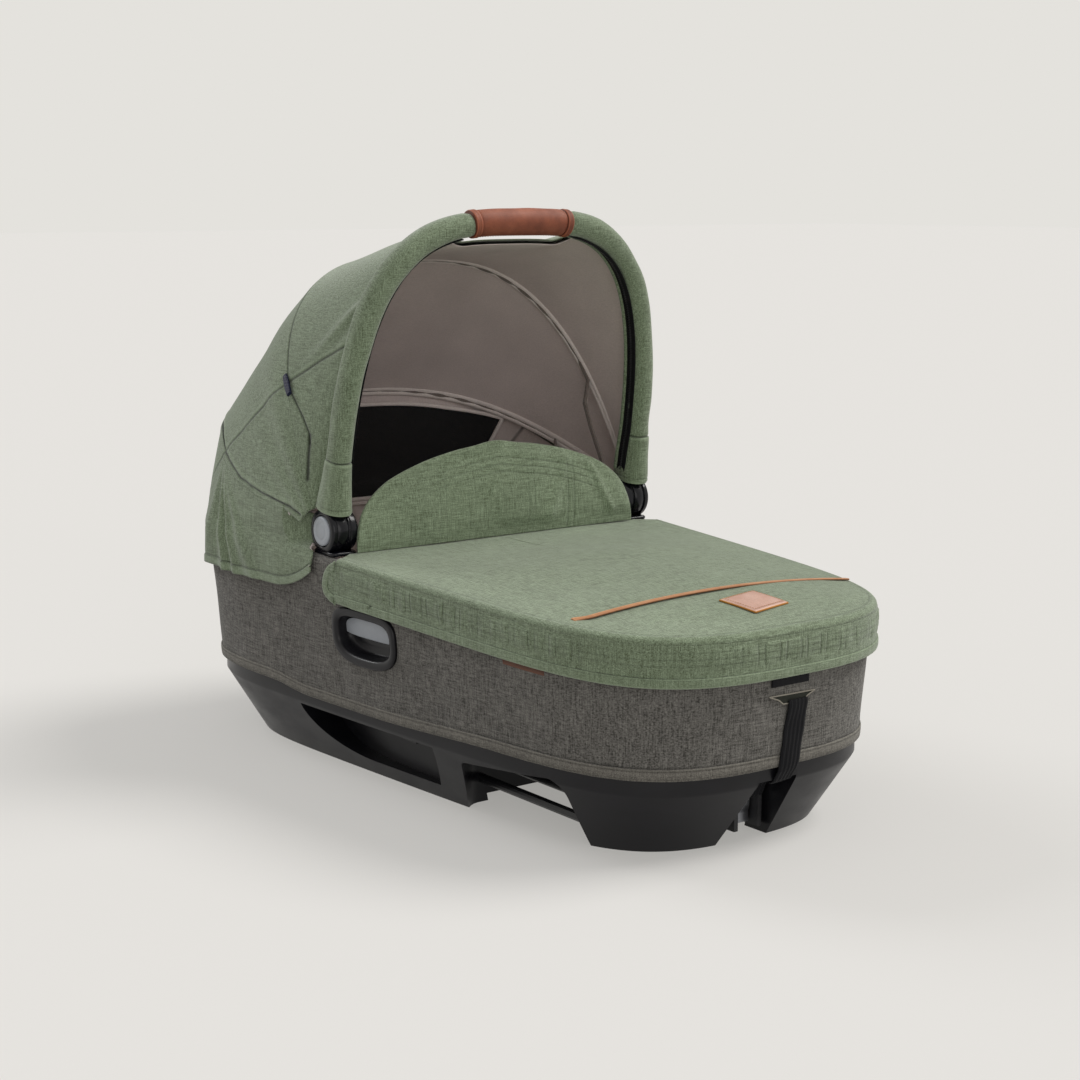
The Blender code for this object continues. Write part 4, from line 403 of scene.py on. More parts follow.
def stitches(name, path, normals, pitch, length, width, material):
    """Raised thread stitches along a path, which lie on the surface below them."""
    path, normals = np.array(path, float), np.array(normals, float)
    travelled = travelled_along(path)
    tangents = unit(np.gradient(path, axis=0))
    points, faces = [], []
    shape = [
        (-1, 0, 0), (-0.6, 0.5, 0.7), (0.6, 0.5, 0.7), (1, 0, 0), (0.6, -0.5, 0.7),
        (-0.6, -0.5, 0.7),
    ]
    for d in np.arange(pitch / 2, travelled[-1], pitch):
        here = sample(d, travelled, path)
        along = unit(sample(d, travelled, tangents))
        up = unit(sample(d, travelled, normals))
        across = np.cross(up, along)
        start = len(points)
        for a, b, c in shape:
            points.append(here + along * a * length / 2 + across * b * width + up * c * width)
        faces += [
            [start, start + 1, start + 2, start + 3], [start, start + 3, start + 4, start + 5],
        ]
        faces += [[start + 1, start + 5, start + 4, start + 2]]
    return make_object(name, points, faces, material, smooth=False)


def stand_for(piece, cad_node):
    """The piece takes the place of a CAD node and moves with its body."""
    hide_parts(cad_node)
    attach(piece, BODY_OF[cad_node])


def declare_cloth(piece, width, length, held, rests_on):
    list(rests_on)


def surface_area(grid):
    a = grid[1:, :-1] - grid[:-1, :-1]
    b = grid[:-1, 1:] - grid[:-1, :-1]
    return np.linalg.norm(np.cross(a, b), axis=-1).sum()


def declare_shaped(piece, width, length, held, rests_on, grid, most):
    """Cloth cut to shape: works out the area of the modelled surface, capped by most, which nothing
    then uses.
    """
    area = min(most, float(surface_area(grid)))
    declare_cloth(piece, width, length, held, rests_on)


# Materials


def node(tree, kind, values=None, **settings):
    made = tree.nodes.new("ShaderNode" + kind)
    for key, value in settings.items():
        setattr(made, key, value)
    for key, value in (values or {}).items():
        if isinstance(value, bpy.types.NodeSocket):
            tree.links.new(value, made.inputs[key])
        else:
            made.inputs[key].default_value = value
    return made


def colour(red, green, blue):
    """Linear colour from the 0 to 255 values that a picture shows."""
    channels = [c / 255 for c in (red, green, blue)]
    return (*[c / 12.92 if c < 0.04045 else ((c + 0.055) / 1.055) ** 2.4 for c in channels], 1.0)


def new_material(name, roughness, **sockets):
    """A material, its tree and shader, and the place on the object that patterns follow."""
    material = bpy.data.materials.new(name)
    material.use_nodes = True
    shader = material.node_tree.nodes["Principled BSDF"]
    shader.inputs["Roughness"].default_value = roughness
    for key, value in sockets.items():
        shader.inputs[key.replace("_", " ")].default_value = value
    place = node(material.node_tree, "TexCoord").outputs["Object"]
    return material, material.node_tree, shader, place


def noise(tree, place, scale, stretch=(1, 1, 1), detail=2.0, roughness=0.5):
    mapped = place
    if stretch != (1, 1, 1):
        mapped = node(tree, "Mapping", {"Vector": place, "Scale": stretch}).outputs["Vector"]
    values = {"Vector": mapped, "Scale": scale, "Detail": detail, "Roughness": roughness}
    return node(tree, "TexNoise", values).outputs["Fac"]


def spread(tree, value, low, high, to_low=0.0, to_high=1.0):
    values = {
        "Value": value, "From Min": low, "From Max": high, "To Min": to_low, "To Max": to_high,
    }
    return node(tree, "MapRange", values).outputs["Result"]


def maths(tree, operation, a, b):
    return node(tree, "Math", {0: a, 1: b}, operation=operation).outputs[0]


def blend_colour(tree, factor, a, b, kind="MIX"):
    made = node(tree, "Mix", data_type="RGBA", blend_type=kind)
    for key, value in ((0, factor), (6, a), (7, b)):
        if isinstance(value, bpy.types.NodeSocket):
            tree.links.new(value, made.inputs[key])
        else:
            made.inputs[key].default_value = value
    return made.outputs[2]


def tinted(colours, factor, more=0.0):
    return tuple(min(1.0, c * factor + more) for c in colours[:3]) + (1.0,)


def painted(tree, base, attribute, tint, strength):
    """Tints the colour where the mesh carries a mark."""
    mark = node(tree, "Attribute", attribute_name=attribute).outputs["Fac"]
    return blend_colour(tree, spread(tree, mark, 0.0, 1.0, 0.0, strength), base, tint)


def finish_surface(tree, shader, base, height, strength, distance, rough=None):
    tree.links.new(base, shader.inputs["Base Color"])
    bump = node(tree, "Bump", {"Height": height, "Strength": strength, "Distance": distance})
    tree.links.new(bump.outputs["Normal"], shader.inputs["Normal"])
    if rough is not None:
        tree.links.new(rough, shader.inputs["Roughness"])


def woven(name, light, dark, fleck, yarn=0.00075, slub=0.018, contrast=0.5, sheen=0.25, rough=0.92):
    """Melange cloth: crossed yarns, dark and light flecks, soft patches, darker sewn lines with
    painted shade in their grooves, and painted highlights, partly wear, where marked.
    """
    material, tree, shader, place = new_material(
        name, rough, Sheen_Weight=sheen, Sheen_Roughness=0.5, Specular_IOR_Level=0.25
    )
    fine, long = 1.0 / yarn, 1.0 / slub
    threads = [
        noise(tree, place, 1.0, stretch, 1.0)
        for stretch in ((long, fine, fine), (fine, long, fine), (fine, fine, long))
    ]
    crossed = maths(tree, "ADD", maths(tree, "ADD", threads[0], threads[1]), threads[2])
    weave = spread(tree, crossed, 1.5 - 0.42, 1.5 + 0.42)
    melange = noise(tree, place, 0.8 / yarn, detail=3.0, roughness=0.7)
    flecks = spread(tree, melange, 0.56, 0.70)
    patches = spread(tree, noise(tree, place, 14.0, detail=3.0), 0.3, 0.7)
    base = blend_colour(tree, weave, dark, light)
    base = blend_colour(tree, maths(tree, "MULTIPLY", flecks, contrast), base, fleck)
    shade = spread(tree, patches, 0.0, 1.0, 0.93, 1.05)
    base = blend_colour(
        tree, 1.0, base, node(tree, "CombineColor", {0: shade, 1: shade, 2: shade}).outputs[0],
        "MULTIPLY",
    )
    # Painted shade: marked sewn lines are darkened almost to black, partly the seam's own line and
    # partly the shade in its groove.
    base = painted(tree, base, "seam_and_shade", tinted(dark, 0.18), 0.93)
    # Painted highlight, partly wear: marked crests and edges are lightened.
    base = painted(tree, base, "highlight_and_wear", tinted(light, 1.25), 0.6)
    height = maths(tree, "ADD", weave, maths(tree, "MULTIPLY", melange, 0.8))
    finish_surface(
        tree, shader, base, height, 0.55, 0.0005, spread(tree, weave, 0, 1, rough, rough - 0.1),
    )
    return material


def moulded(name, light, dark, rough_low, rough_high, metallic=0.0, specular=0.5):
    """Moulded plastic or metal with fine grain, faint rubbing and uneven gloss."""
    material, tree, shader, place = new_material(
        name, rough_low, Metallic=metallic, Specular_IOR_Level=specular,
    )
    grains = noise(tree, place, 1800.0, detail=2.0)
    smears = spread(tree, noise(tree, place, 22.0, (1, 1, 2.2), 4.0), 0.35, 0.7)
    base = blend_colour(tree, smears, dark, light)
    rough = spread(tree, smears, 0.0, 1.0, rough_low, rough_high)
    finish_surface(tree, shader, base, grains, 0.12, 0.0002, rough)
    return material


def leather(name, light, dark, rough=0.5, grain=950.0):
    material, tree, shader, place = new_material(name, rough, Specular_IOR_Level=0.4)
    cells = node(
        tree, "TexVoronoi", {"Vector": place, "Scale": grain}, feature="DISTANCE_TO_EDGE"
    ).outputs["Distance"]
    creases = spread(tree, cells, 0.0, 0.22)
    patches = spread(tree, noise(tree, place, 60.0, detail=4.0), 0.3, 0.72)
    base = blend_colour(tree, patches, dark, light)
    deep = tinted(dark, 0.55)
    base = blend_colour(tree, spread(tree, creases, 0.0, 1.0, 0.45, 0.0), base, deep)
    # Painted shade along marked seams, partly the seam itself.
    base = painted(tree, base, "seam_and_shade", deep, 0.8)
    # Painted highlight, partly wear, where edges are marked.
    base = painted(tree, base, "highlight_and_wear", tinted(light, 1.5, 0.02), 0.7)
    finish_surface(
        tree, shader, base, creases, 0.35, 0.0003, spread(tree, patches, 0, 1, rough + 0.1, rough),
    )
    return material


def webbing(name, light, dark, bands="Y", pitch=0.0016, rough=0.75):
    """Ribbed woven tape."""
    material, tree, shader, place = new_material(
        name, rough, Sheen_Weight=0.02, Specular_IOR_Level=0.2,
    )
    wave = node(
        tree, "TexWave", {"Vector": place, "Scale": 0.31 / pitch, "Distortion": 0.6, "Detail": 1.0}
    )
    wave.bands_direction = bands
    ribs = wave.outputs["Fac"]
    threads = noise(tree, place, 1.0, (900, 900, 2600), 2.0)
    base = blend_colour(tree, maths(tree, "MULTIPLY", ribs, threads), dark, light)
    height = maths(tree, "ADD", ribs, threads)
    finish_surface(tree, shader, base, height, 0.5, 0.0005)
    return material


def net(name, thread, shade_in_holes, pitch=0.0022):
    """Fine knitted ventilation net, whose holes are painted with the shade of the dark hollow
    behind it.
    """
    material, tree, shader, place = new_material(
        name, 0.7, Specular_IOR_Level=0.3, Sheen_Weight=0.1,
    )
    cells = node(
        tree, "TexVoronoi", {"Vector": place, "Scale": 1.0 / pitch}, feature="DISTANCE_TO_EDGE"
    ).outputs["Distance"]
    strands = spread(tree, cells, 0.05, 0.20, 1.0, 0.0)
    yarns = noise(tree, place, 1500.0, detail=2.0)
    base = blend_colour(tree, maths(tree, "MULTIPLY", strands, yarns), shade_in_holes, thread)
    finish_surface(tree, shader, base, strands, 0.8, 0.0006)
    return material


green = woven(
    "green_cloth", colour(157, 173, 144), colour(88, 99, 72), colour(54, 61, 40),
    yarn=0.0009, contrast=0.60, sheen=0.35,
)
lining_cloth = woven(
    "taupe_lining_cloth", colour(238, 224, 219), colour(216, 202, 197), colour(198, 184, 179),
    yarn=0.0006, slub=0.006, contrast=0.25, sheen=0.15,
)
piping_cloth = woven(
    "taupe_piping_cloth", colour(250, 240, 235), colour(232, 220, 214), colour(212, 200, 194),
    yarn=0.0006, slub=0.004, contrast=0.25, sheen=0.2,
)
rib_cloth = woven(
    "rib_tape_cloth", colour(150, 140, 133), colour(118, 108, 102), colour(96, 88, 82),
    yarn=0.0006, slub=0.004, contrast=0.25, sheen=0.15,
)
grey = woven(
    "grey_cloth", colour(140, 137, 131), colour(68, 66, 62), colour(40, 39, 36),
    yarn=0.0014, slub=0.024, contrast=0.70, sheen=0.12,
)
hem_cloth = woven(
    "grey_binding_cloth", colour(146, 142, 133), colour(80, 77, 71), colour(52, 50, 45),
    yarn=0.0009, slub=0.008, contrast=0.4, sheen=0.12,
)
quilt = woven(
    "mattress_cloth", colour(226, 222, 212), colour(202, 197, 186), colour(190, 184, 172),
    yarn=0.0008, slub=0.008, contrast=0.2,
)
black_plastic = moulded(
    "satin_black_plastic", colour(27, 26, 30), colour(20, 20, 23), 0.30, 0.42, specular=0.28,
)
glossy_black = moulded(
    "glossy_black_plastic", colour(15, 16, 24), colour(9, 9, 14), 0.18, 0.26, specular=0.30,
)
hidden_plastic = moulded("dark_grey_plastic", colour(46, 46, 48), colour(34, 34, 36), 0.5, 0.62)
pale_plastic = moulded(
    "pale_grey_plastic", colour(186, 191, 197), colour(170, 175, 182), 0.34, 0.46,
)
steel = moulded(
    "brushed_steel", colour(176, 178, 182), colour(142, 144, 150), 0.28, 0.42, metallic=1.0,
)
dark_steel = moulded("black_coated_steel", colour(36, 36, 38), colour(24, 24, 26), 0.3, 0.42)
alloy = moulded(
    "matt_aluminium", colour(196, 197, 200), colour(170, 171, 175), 0.35, 0.5, metallic=1.0,
)
cognac = leather("cognac_leather", colour(160, 88, 58), colour(118, 60, 40))
tan = leather("tan_leather", colour(216, 158, 112), colour(192, 130, 88), rough=0.55)
pale_leather = leather("pale_leather", colour(226, 184, 166), colour(206, 158, 138), rough=0.38)
tab_leather = leather("brown_tab_leather", colour(112, 74, 56), colour(82, 52, 40), rough=0.6)
black_web = webbing("black_webbing", colour(20, 20, 26), colour(7, 7, 10))
black_tape = webbing("black_zip_tape", colour(20, 20, 24), colour(8, 8, 11), pitch=0.0010)
zip_teeth = moulded("black_zip_teeth", colour(46, 46, 50), colour(26, 26, 30), 0.3, 0.45)
navy = webbing("navy_ribbon", colour(38, 44, 78), colour(20, 24, 48), bands="Z", rough=0.45)
# The second colour is painted shade, seen in the net's holes.
black_net = net("black_net", colour(44, 43, 44), colour(12, 12, 13))
slot_edge = webbing("pale_slot_edge", colour(196, 190, 176), colour(150, 144, 132), pitch=0.0012)
slot_dark = webbing("dark_slot", colour(62, 64, 56), colour(40, 42, 36), pitch=0.0012)
gold_thread = leather(
    "orange_edge_thread", colour(214, 150, 66), colour(186, 118, 44), rough=0.6, grain=2500.0,
)
tan_thread = leather(
    "tan_thread", colour(196, 132, 92), colour(160, 98, 66), rough=0.6, grain=2500.0,
)

CAD_FINISH = {
    "base_shell": black_plastic,
    "hub_bracket": glossy_black,
    "body_tub": hidden_plastic,
    "rim_frame": alloy,
    "bow_tube": alloy,
    "hood_rib": rib_cloth,
    "dock_rod": dark_steel,
    "brace_rod": dark_steel,
    "lock_housing": hidden_plastic,
    "lock_pin": steel,
    "lock_hook": steel,
    "pivot_pin": steel,
    "button_spring": steel,
    "base_screw": steel,
    "frame_latch": hidden_plastic,
}


def finish_cad_nodes():
    for name, obj in frame["nodes"].items():
        for stem, material in CAD_FINISH.items():
            if name.startswith(stem):
                for k in range(len(obj.material_slots)):
                    obj.material_slots[k].link = "OBJECT"
                    obj.material_slots[k].material = material
                if not obj.material_slots:
                    obj.data.materials.append(material)


# The body's outline


def outline_table():
    angles = np.linspace(0.0, TAU, 16001)
    c, s = np.cos(angles), np.sin(angles)
    x = signed_power(c, 2 / END_ROUNDNESS)
    y = signed_power(s, 2 / SIDE_ROUNDNESS)
    y = y * HALF_WIDTH * (1 - TAPER_SHARE * x - WAIST_SHARE * x * x)
    steps = np.hypot(np.diff(x * HALF_LENGTH), np.diff(y))
    travelled = np.concatenate([[0.0], np.cumsum(steps)])
    return angles, travelled, x * HALF_LENGTH


ANGLES, TRAVELLED, OUTLINE_X = outline_table()
GIRTH = float(TRAVELLED[-1])


def outline(station, offset=0.0, lean=0.0):
    """x and y of the outline at places counted from the foot end towards the far side."""
    angle = np.interp(np.mod(station / STATIONS, 1.0) * GIRTH, TRAVELLED, ANGLES)
    c, s = np.cos(angle), np.sin(angle)
    share_x = signed_power(c, 2 / END_ROUNDNESS)
    share_y = signed_power(s, 2 / SIDE_ROUNDNESS)
    x = (HALF_LENGTH - offset) * share_x
    y = (HALF_WIDTH - offset) * (1 - TAPER_SHARE * share_x - WAIST_SHARE * share_x**2) * share_y
    return x * (1 - lean / HALF_LENGTH), y * (1 - lean / HALF_WIDTH)


def all_round(count):
    """Stations evenly round the whole body."""
    return np.arange(count) * STATIONS / count


def station_at(x):
    """Station on the far side where the outline passes x."""
    half = len(ANGLES) // 2 + 1
    return float(np.interp(-x, -OUTLINE_X[:half], TRAVELLED[:half])) / GIRTH * STATIONS


def rim_at(x):
    return RIM_HEIGHT - RIM_FALL_SHARE * x


def lean_at(z):
    return COVER_LEAN * np.maximum(0.0, RIM_HEIGHT - z) / (RIM_HEIGHT - HEM_HEIGHT)


def body_point(station, offset, z):
    """Points of the leaning side wall."""
    x, y = outline(station, offset, lean_at(z))
    return np.stack([x, y, np.broadcast_to(z, x.shape)], -1)


def upright_point(station, offset, z):
    x, y = outline(station, offset)
    return np.stack([x, y, np.broadcast_to(z, x.shape)], -1)


def body_half_width(x, z):
    share = np.clip(x / HALF_LENGTH, -0.9999, 0.9999)
    flat = HALF_WIDTH * (1 - TAPER_SHARE * share - WAIST_SHARE * share**2)
    flat = flat * (1 - np.abs(share) ** END_ROUNDNESS) ** (1 / SIDE_ROUNDNESS)
    return flat * (1 - lean_at(z) / HALF_WIDTH)


INSIDE = (0.0, 0.0, 0.16)

# Base moulding

BASE_HEIGHT = 0.0900
BASE_WALL = 0.0040
BASE_LEVELS = (
    (0.0, 0.0570, 0.0460), (0.0660, 0.0157, 0.0157), (0.0690, 0.0142, 0.0142),
    (BASE_HEIGHT, 0.0142, 0.0142),
)
BASE_OPENING_INSET = 0.0340
ARCH = {"rear": 0.1100, "front": 0.2910, "rear_top": 0.0580, "top": 0.0706, "corner": 0.0180}
POCKET = {"rear": -0.1450, "front": 0.0970, "top": 0.0640, "bottom": 0.0170, "curve": 0.1150}
POCKET_FLOOR_Y = 0.1660
ARCH_FLARE = 0.0330
FLARE_START, FLARE_END = 0.148, 0.200
NOTCH_X = HALF_LENGTH - 0.0940
OVERRUN = 0.0100


def base_rings(extra, low, high, count=260):
    heights = [level[0] for level in BASE_LEVELS]
    wanted = [low] + [z for z in heights if low < z < high] + [high]
    rings = []
    for z in wanted:
        end = float(np.interp(z, heights, [level[1] for level in BASE_LEVELS])) + extra
        side = float(np.interp(z, heights, [level[2] for level in BASE_LEVELS])) + extra
        stations = all_round(count)
        x_end, _ = outline(stations, end)
        _, y_side = outline(stations, side)
        rings.append(np.stack([x_end, y_side, np.full(count, z)], 1))
    return rings


def prism_y(name, shape, low_y, high_y):
    rings = [[(u, w, v) for u, v in shape] for w in (low_y, high_y)]
    return solid_from(name, rings, black_plastic)


def carve(target, other):
    """Cuts the other solid out of the target."""
    modifier = target.modifiers.new("carve", "BOOLEAN")
    modifier.operation = "DIFFERENCE"
    modifier.solver = "EXACT"
    modifier.object = other
    graph = bpy.context.evaluated_depsgraph_get()
    mesh = bpy.data.meshes.new_from_object(target.evaluated_get(graph))
    target.modifiers.clear()
    target.data = mesh
    bpy.data.objects.remove(other)


def arch_shape(shift):
    rear, front = ARCH["rear"] - shift, ARCH["front"] + shift
    corner, top = ARCH["corner"], ARCH["top"] + shift
    rear_top = ARCH["rear_top"] + shift
    small = corner / 3
    shape = [(rear, -OVERRUN), (rear, rear_top - small)]
    for k in range(1, 7):
        a = math.pi / 2 * k / 6
        shape.append((rear + small * (1 - math.cos(a)), rear_top - small * (1 - math.sin(a))))
    for k in range(9):
        a = math.pi / 2 * k / 8
        shape.append((front - corner * (1 - math.sin(a)), top - corner * (1 - math.cos(a))))
    return shape + [(front, -OVERRUN)]


def pocket_shape(grow):
    """The side pocket: a curved rear end, and a front edge that leans back towards its foot."""
    rear, front = POCKET["rear"] - grow, POCKET["front"] + grow
    top, bottom = POCKET["top"] + grow, POCKET["bottom"] - grow
    lean = [
        (front - 0.0140 * (1 - k / 4) ** 1.5, bottom + (top - bottom) * k / 4)
        for k in range(5)
    ]
    shape = lean + [(rear, top)]
    for k in range(1, 25):
        a = math.pi / 2 * k / 24
        shape.append(
            (rear + POCKET["curve"] * (1 - math.cos(a)), top - (top - bottom) * math.sin(a))
        )
    return shape


def notch_block(grow, end):
    """The foot notch, which is wider at the ground."""
    top, low = ARCH["top"] + grow, -OVERRUN
    shape = [
        (-0.0455 - grow, low), (0.0225 + grow, low), (0.0205 + grow, top), (-0.0285 - grow, top),
    ]
    rings = [[(x, y, z) for y, z in shape] for x in (NOTCH_X - grow, end)]
    return solid_from("notch", rings, black_plastic)


def arch_block(grow, far):
    """The arch under the body, whose rear wall flares towards its outer ends."""
    shape = arch_shape(grow)
    rear = min(p[0] for p in shape)
    rings = []
    for y in np.concatenate(
        [
            [-far], np.linspace(-FLARE_END, -FLARE_START, 9),
            np.linspace(FLARE_START, FLARE_END, 9), [far],
        ]
    ):
        flare = ARCH_FLARE * float(ease(abs(y), FLARE_START, FLARE_END))
        near = [(x + flare * (1 - float(ease(x, rear, rear + 0.060))), z) for x, z in shape]
        rings.append([(x, y, z) for x, z in near])
    return solid_from("arch", rings, black_plastic)


def base_openings(grow):
    """The side pockets, the arch and the foot notch, one after the other."""
    far = HALF_WIDTH + OVERRUN
    for side in (-1, 1):
        ys = sorted((side * (POCKET_FLOOR_Y - grow), side * far))
        yield prism_y("pocket", pocket_shape(grow), *ys)
    yield arch_block(grow, far)
    yield notch_block(grow, HALF_LENGTH + OVERRUN)


def make_base():
    """The base moulding with its hollow, side pockets, arch and foot notch."""
    base = solid_from("base_moulding", base_rings(0.0, 0.0, BASE_HEIGHT), black_plastic)
    roof = BASE_HEIGHT - BASE_WALL
    hollow = solid_from("hollow", base_rings(BASE_WALL, BASE_WALL, roof), black_plastic)
    for solid in base_openings(BASE_WALL):
        carve(hollow, solid)
    carve(base, hollow)
    opening = base_rings(BASE_OPENING_INSET, 0.0, BASE_WALL * 2)
    opening[0][:, 2] = -OVERRUN
    carve(base, solid_from("opening", opening, black_plastic))
    for solid in base_openings(0.0):
        carve(base, solid)
    base.data.shade_smooth()
    base.data.set_sharp_from_angle(angle=math.radians(32))
    bevel = base.modifiers.new("edges", "BEVEL")
    bevel.width = 0.0018
    bevel.segments = 3
    bevel.limit_method = "ANGLE"
    bevel.angle_limit = math.radians(40)
    bevel.use_clamp_overlap = True
    stand_for(base, "base_shell")


# Body cover, lining and mattress


def hem_at(x):
    """Height of the cover's hem, which sags a little along the middle of the sides."""
    return HEM_HEIGHT - 0.0062 * ease(x, -0.200, -0.120) * (1 - ease(x, 0.0, 0.220))


def make_cover():
    """Grey cloth stretched over the tub and its rim, with holes behind the side fittings."""
    columns = 760
    stations = all_round(columns)
    rows = []
    x0, _ = outline(stations)
    low = rim_at(x0) - 2 * RIM_RADIUS
    hem_z = hem_at(x0)
    for share in np.linspace(0.0, 1.0, 44):
        rows.append(body_point(stations, 0.0, hem_z + (low - hem_z) * share))
    for k in range(1, 9):
        angle = math.pi * k / 8
        inset = 0.0070 - 0.0070 * math.cos(angle) * (1.0 if k < 4 else 0.75)
        rows.append(
            upright_point(stations, inset, low + 0.0101 * math.sin(min(angle, math.pi / 2 + 0.9)))
        )
    grid = np.array(rows)
    normals = grid_normals(grid, INSIDE)
    z = grid[..., 2]
    above = z - hem_z[None]
    around = np.broadcast_to(stations * GIRTH / STATIONS, z.shape)
    fade = ease(above, 0.0, 0.02) * (1 - ease(z, 0.20, 0.225))
    wave = (
        ripple(around / 0.055, z / 0.05, 3) * 0.00055 + ripple(around / 0.02, z / 0.09, 5) * 0.00015
    )
    puckers = np.sin(around * TAU / 0.011) * hump(above, 0.0145, 0.004) * 0.00012
    grid = grid + normals * (wave * fade + puckers)[..., None]
    # Painted shade, partly the seam: a dark line on the cover along the top edge of the hem
    # binding.
    seam_and_shade = hump(above, 0.0122, 0.0012) * 0.6
    cover = sheet_from(
        "body_cover", grid, grey, INSIDE, {"seam_and_shade": seam_and_shade}, close_columns=True,
        keep=lambda centres: ~inside_fitting(centres, -0.0045),
    )
    thicken(cover)
    stand_for(cover, "outer_cover")
    declare_cloth(cover, GIRTH, 0.155, "stretched", ["body_tub", "rim_frame"])
    hem = band_round(
        "cover_hem_band", stations, hem_z - 0.0002, hem_z + 0.0122, 0.0003, 0.0016, hem_cloth,
    )
    stand_for(hem, "cover_hem_binding")
    declare_cloth(hem, GIRTH, 0.0130, "stretched", ["body_cover"])


def band_round(name, stations, low, high, inner, proud, material):
    """A folded binding round the wall: rounded at both edges, with two sewn lines in painted shade
    and a painted highlight on its upper bulge and top edge.
    """
    height = high - low
    rows, seam_and_shade_rows, highlight_and_wear = [], [], []
    for share in np.linspace(0.0, 1.0, 17):
        bulge = inner + (proud - inner) * (1 - (2 * share - 1) ** 6) ** 0.5
        groove = hump(share, 0.80, 0.05) * 0.0003 + hump(share, 0.20, 0.04) * 0.0001
        rows.append(body_point(stations, -(bulge - groove), low + height * share))
        # Painted shade, partly the stitching, in the two sewn grooves.
        seam_and_shade_rows.append(
            np.full(len(stations), hump(share, 0.80, 0.06) * 0.5 + hump(share, 0.18, 0.05) * 0.3)
        )
        # Painted highlight on the upper bulge and near the top edge.
        highlight_and_wear.append(
            np.full(len(stations), hump(share, 0.62, 0.12) * 0.35 + hump(share, 0.92, 0.06) * 0.4)
        )
    grid = np.array(rows)
    around = stations * GIRTH / STATIONS
    pucker = (ripple(around / 0.004, around * 0, 11) * 0.00005)[None, :, None]
    grid = grid + grid_normals(grid, INSIDE) * pucker
    marks = {"seam_and_shade": np.array(seam_and_shade_rows), "highlight_and_wear": np.array(highlight_and_wear)}
    band = sheet_from(name, grid, material, INSIDE, marks, close_columns=True)
    return thicken(band)


LINING_LIP = (
    (0.0125, -0.0135), (0.0122, -0.0060), (0.0128, -0.0022), (0.0150, -0.0004),
    (0.0176, -0.0022),
)
LIP_DROP = 0.0150
LIP_INSET = 0.0180
CHANNEL_PITCH = 0.0625


def make_lining():
    """Padded lining: a rolled lip at the rim, a quilted side and a thin floor."""
    columns = 480
    stations = all_round(columns)
    x0, _ = outline(stations)
    top = rim_at(x0)
    rows, seam_and_shade_rows = [], []
    for inset, lift in LINING_LIP:
        rows.append(body_point(stations, inset, top + lift))
        # Painted shade under the rolled lip.
        seam_and_shade_rows.append(hump(lift, -0.0135, 0.002))
    upper = LINER_OFFSET + LINER_WALL
    for share in np.linspace(0.0, 1.0, 36):
        z = top - LIP_DROP + (LINER_BOTTOM + 0.002 - top + LIP_DROP) * share
        inset = LIP_INSET + (upper - LIP_INSET) * float(ease(share, 0.0, 0.22))
        rows.append(body_point(stations, inset, z))
        seam_and_shade_rows.append(0.0)
    grid = np.array(rows)
    around = np.broadcast_to(stations * GIRTH / STATIONS, grid.shape[:2])
    z = grid[..., 2]
    depth = top[None] - z
    channel = np.abs(np.sin(around * math.pi / CHANNEL_PITCH))
    pad = (channel**0.5 - 1.0) * 0.0022 * ease(depth, 0.02, 0.045)
    pad = pad - ripple(around / 0.03, z / 0.02, 21) * 0.0005 * ease(depth, 0.015, 0.03)
    normals = grid_normals(grid, (0, 0, 0.19)) * -1
    grid = grid + normals * pad[..., None]
    # Painted shade in the quilting channels, partly the stitching.
    seam_and_shade = (
        np.broadcast_to(np.array(seam_and_shade_rows)[:, None], z.shape)
        + hump(channel, 0.0, 0.16) * 0.5 * ease(depth, 0.02, 0.04)
    )
    side = sheet_from("cot_lining", grid, lining_cloth, INSIDE, {"seam_and_shade": seam_and_shade}, close_columns=True)
    side.data.flip_normals()
    thicken(side)
    stand_for(side, "inner_liner")
    floor_rings = []
    for share in (0.0, 0.5, 1.0):
        floor_rings.append(
            body_point(
                stations, LINER_OFFSET + 0.190 * share, np.full(columns, LINER_BOTTOM + 0.0008),
            )
        )
    floor = sheet_from(
        "lining_floor", np.array(floor_rings), lining_cloth, (0, 0, 0), {}, close_columns=True,
    )
    thicken(floor)
    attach(floor, "cot")
    declare_cloth(floor, 0.80, 0.39, "laid", ["body_tub"])


MATTRESS_INSET = 0.0290
DIAMOND_PITCH = 0.062
MATTRESS_PROFILE = (
    (0.012, 0.0), (0.004, 0.0010), (0.0012, 0.0050), (0.0022, 0.0120), (0.0030, 0.0165),
    (0.0012, 0.0195), (0.0006, 0.0210), (0.0014, 0.0225), (0.0040, 0.0238), (0.010, 0.0258),
    (0.022, 0.0274), (0.040, 0.0288), (0.062, 0.0295), (0.090, 0.0299), (0.120, 0.0300),
    (0.145, 0.0300), (0.164, 0.0300),
)


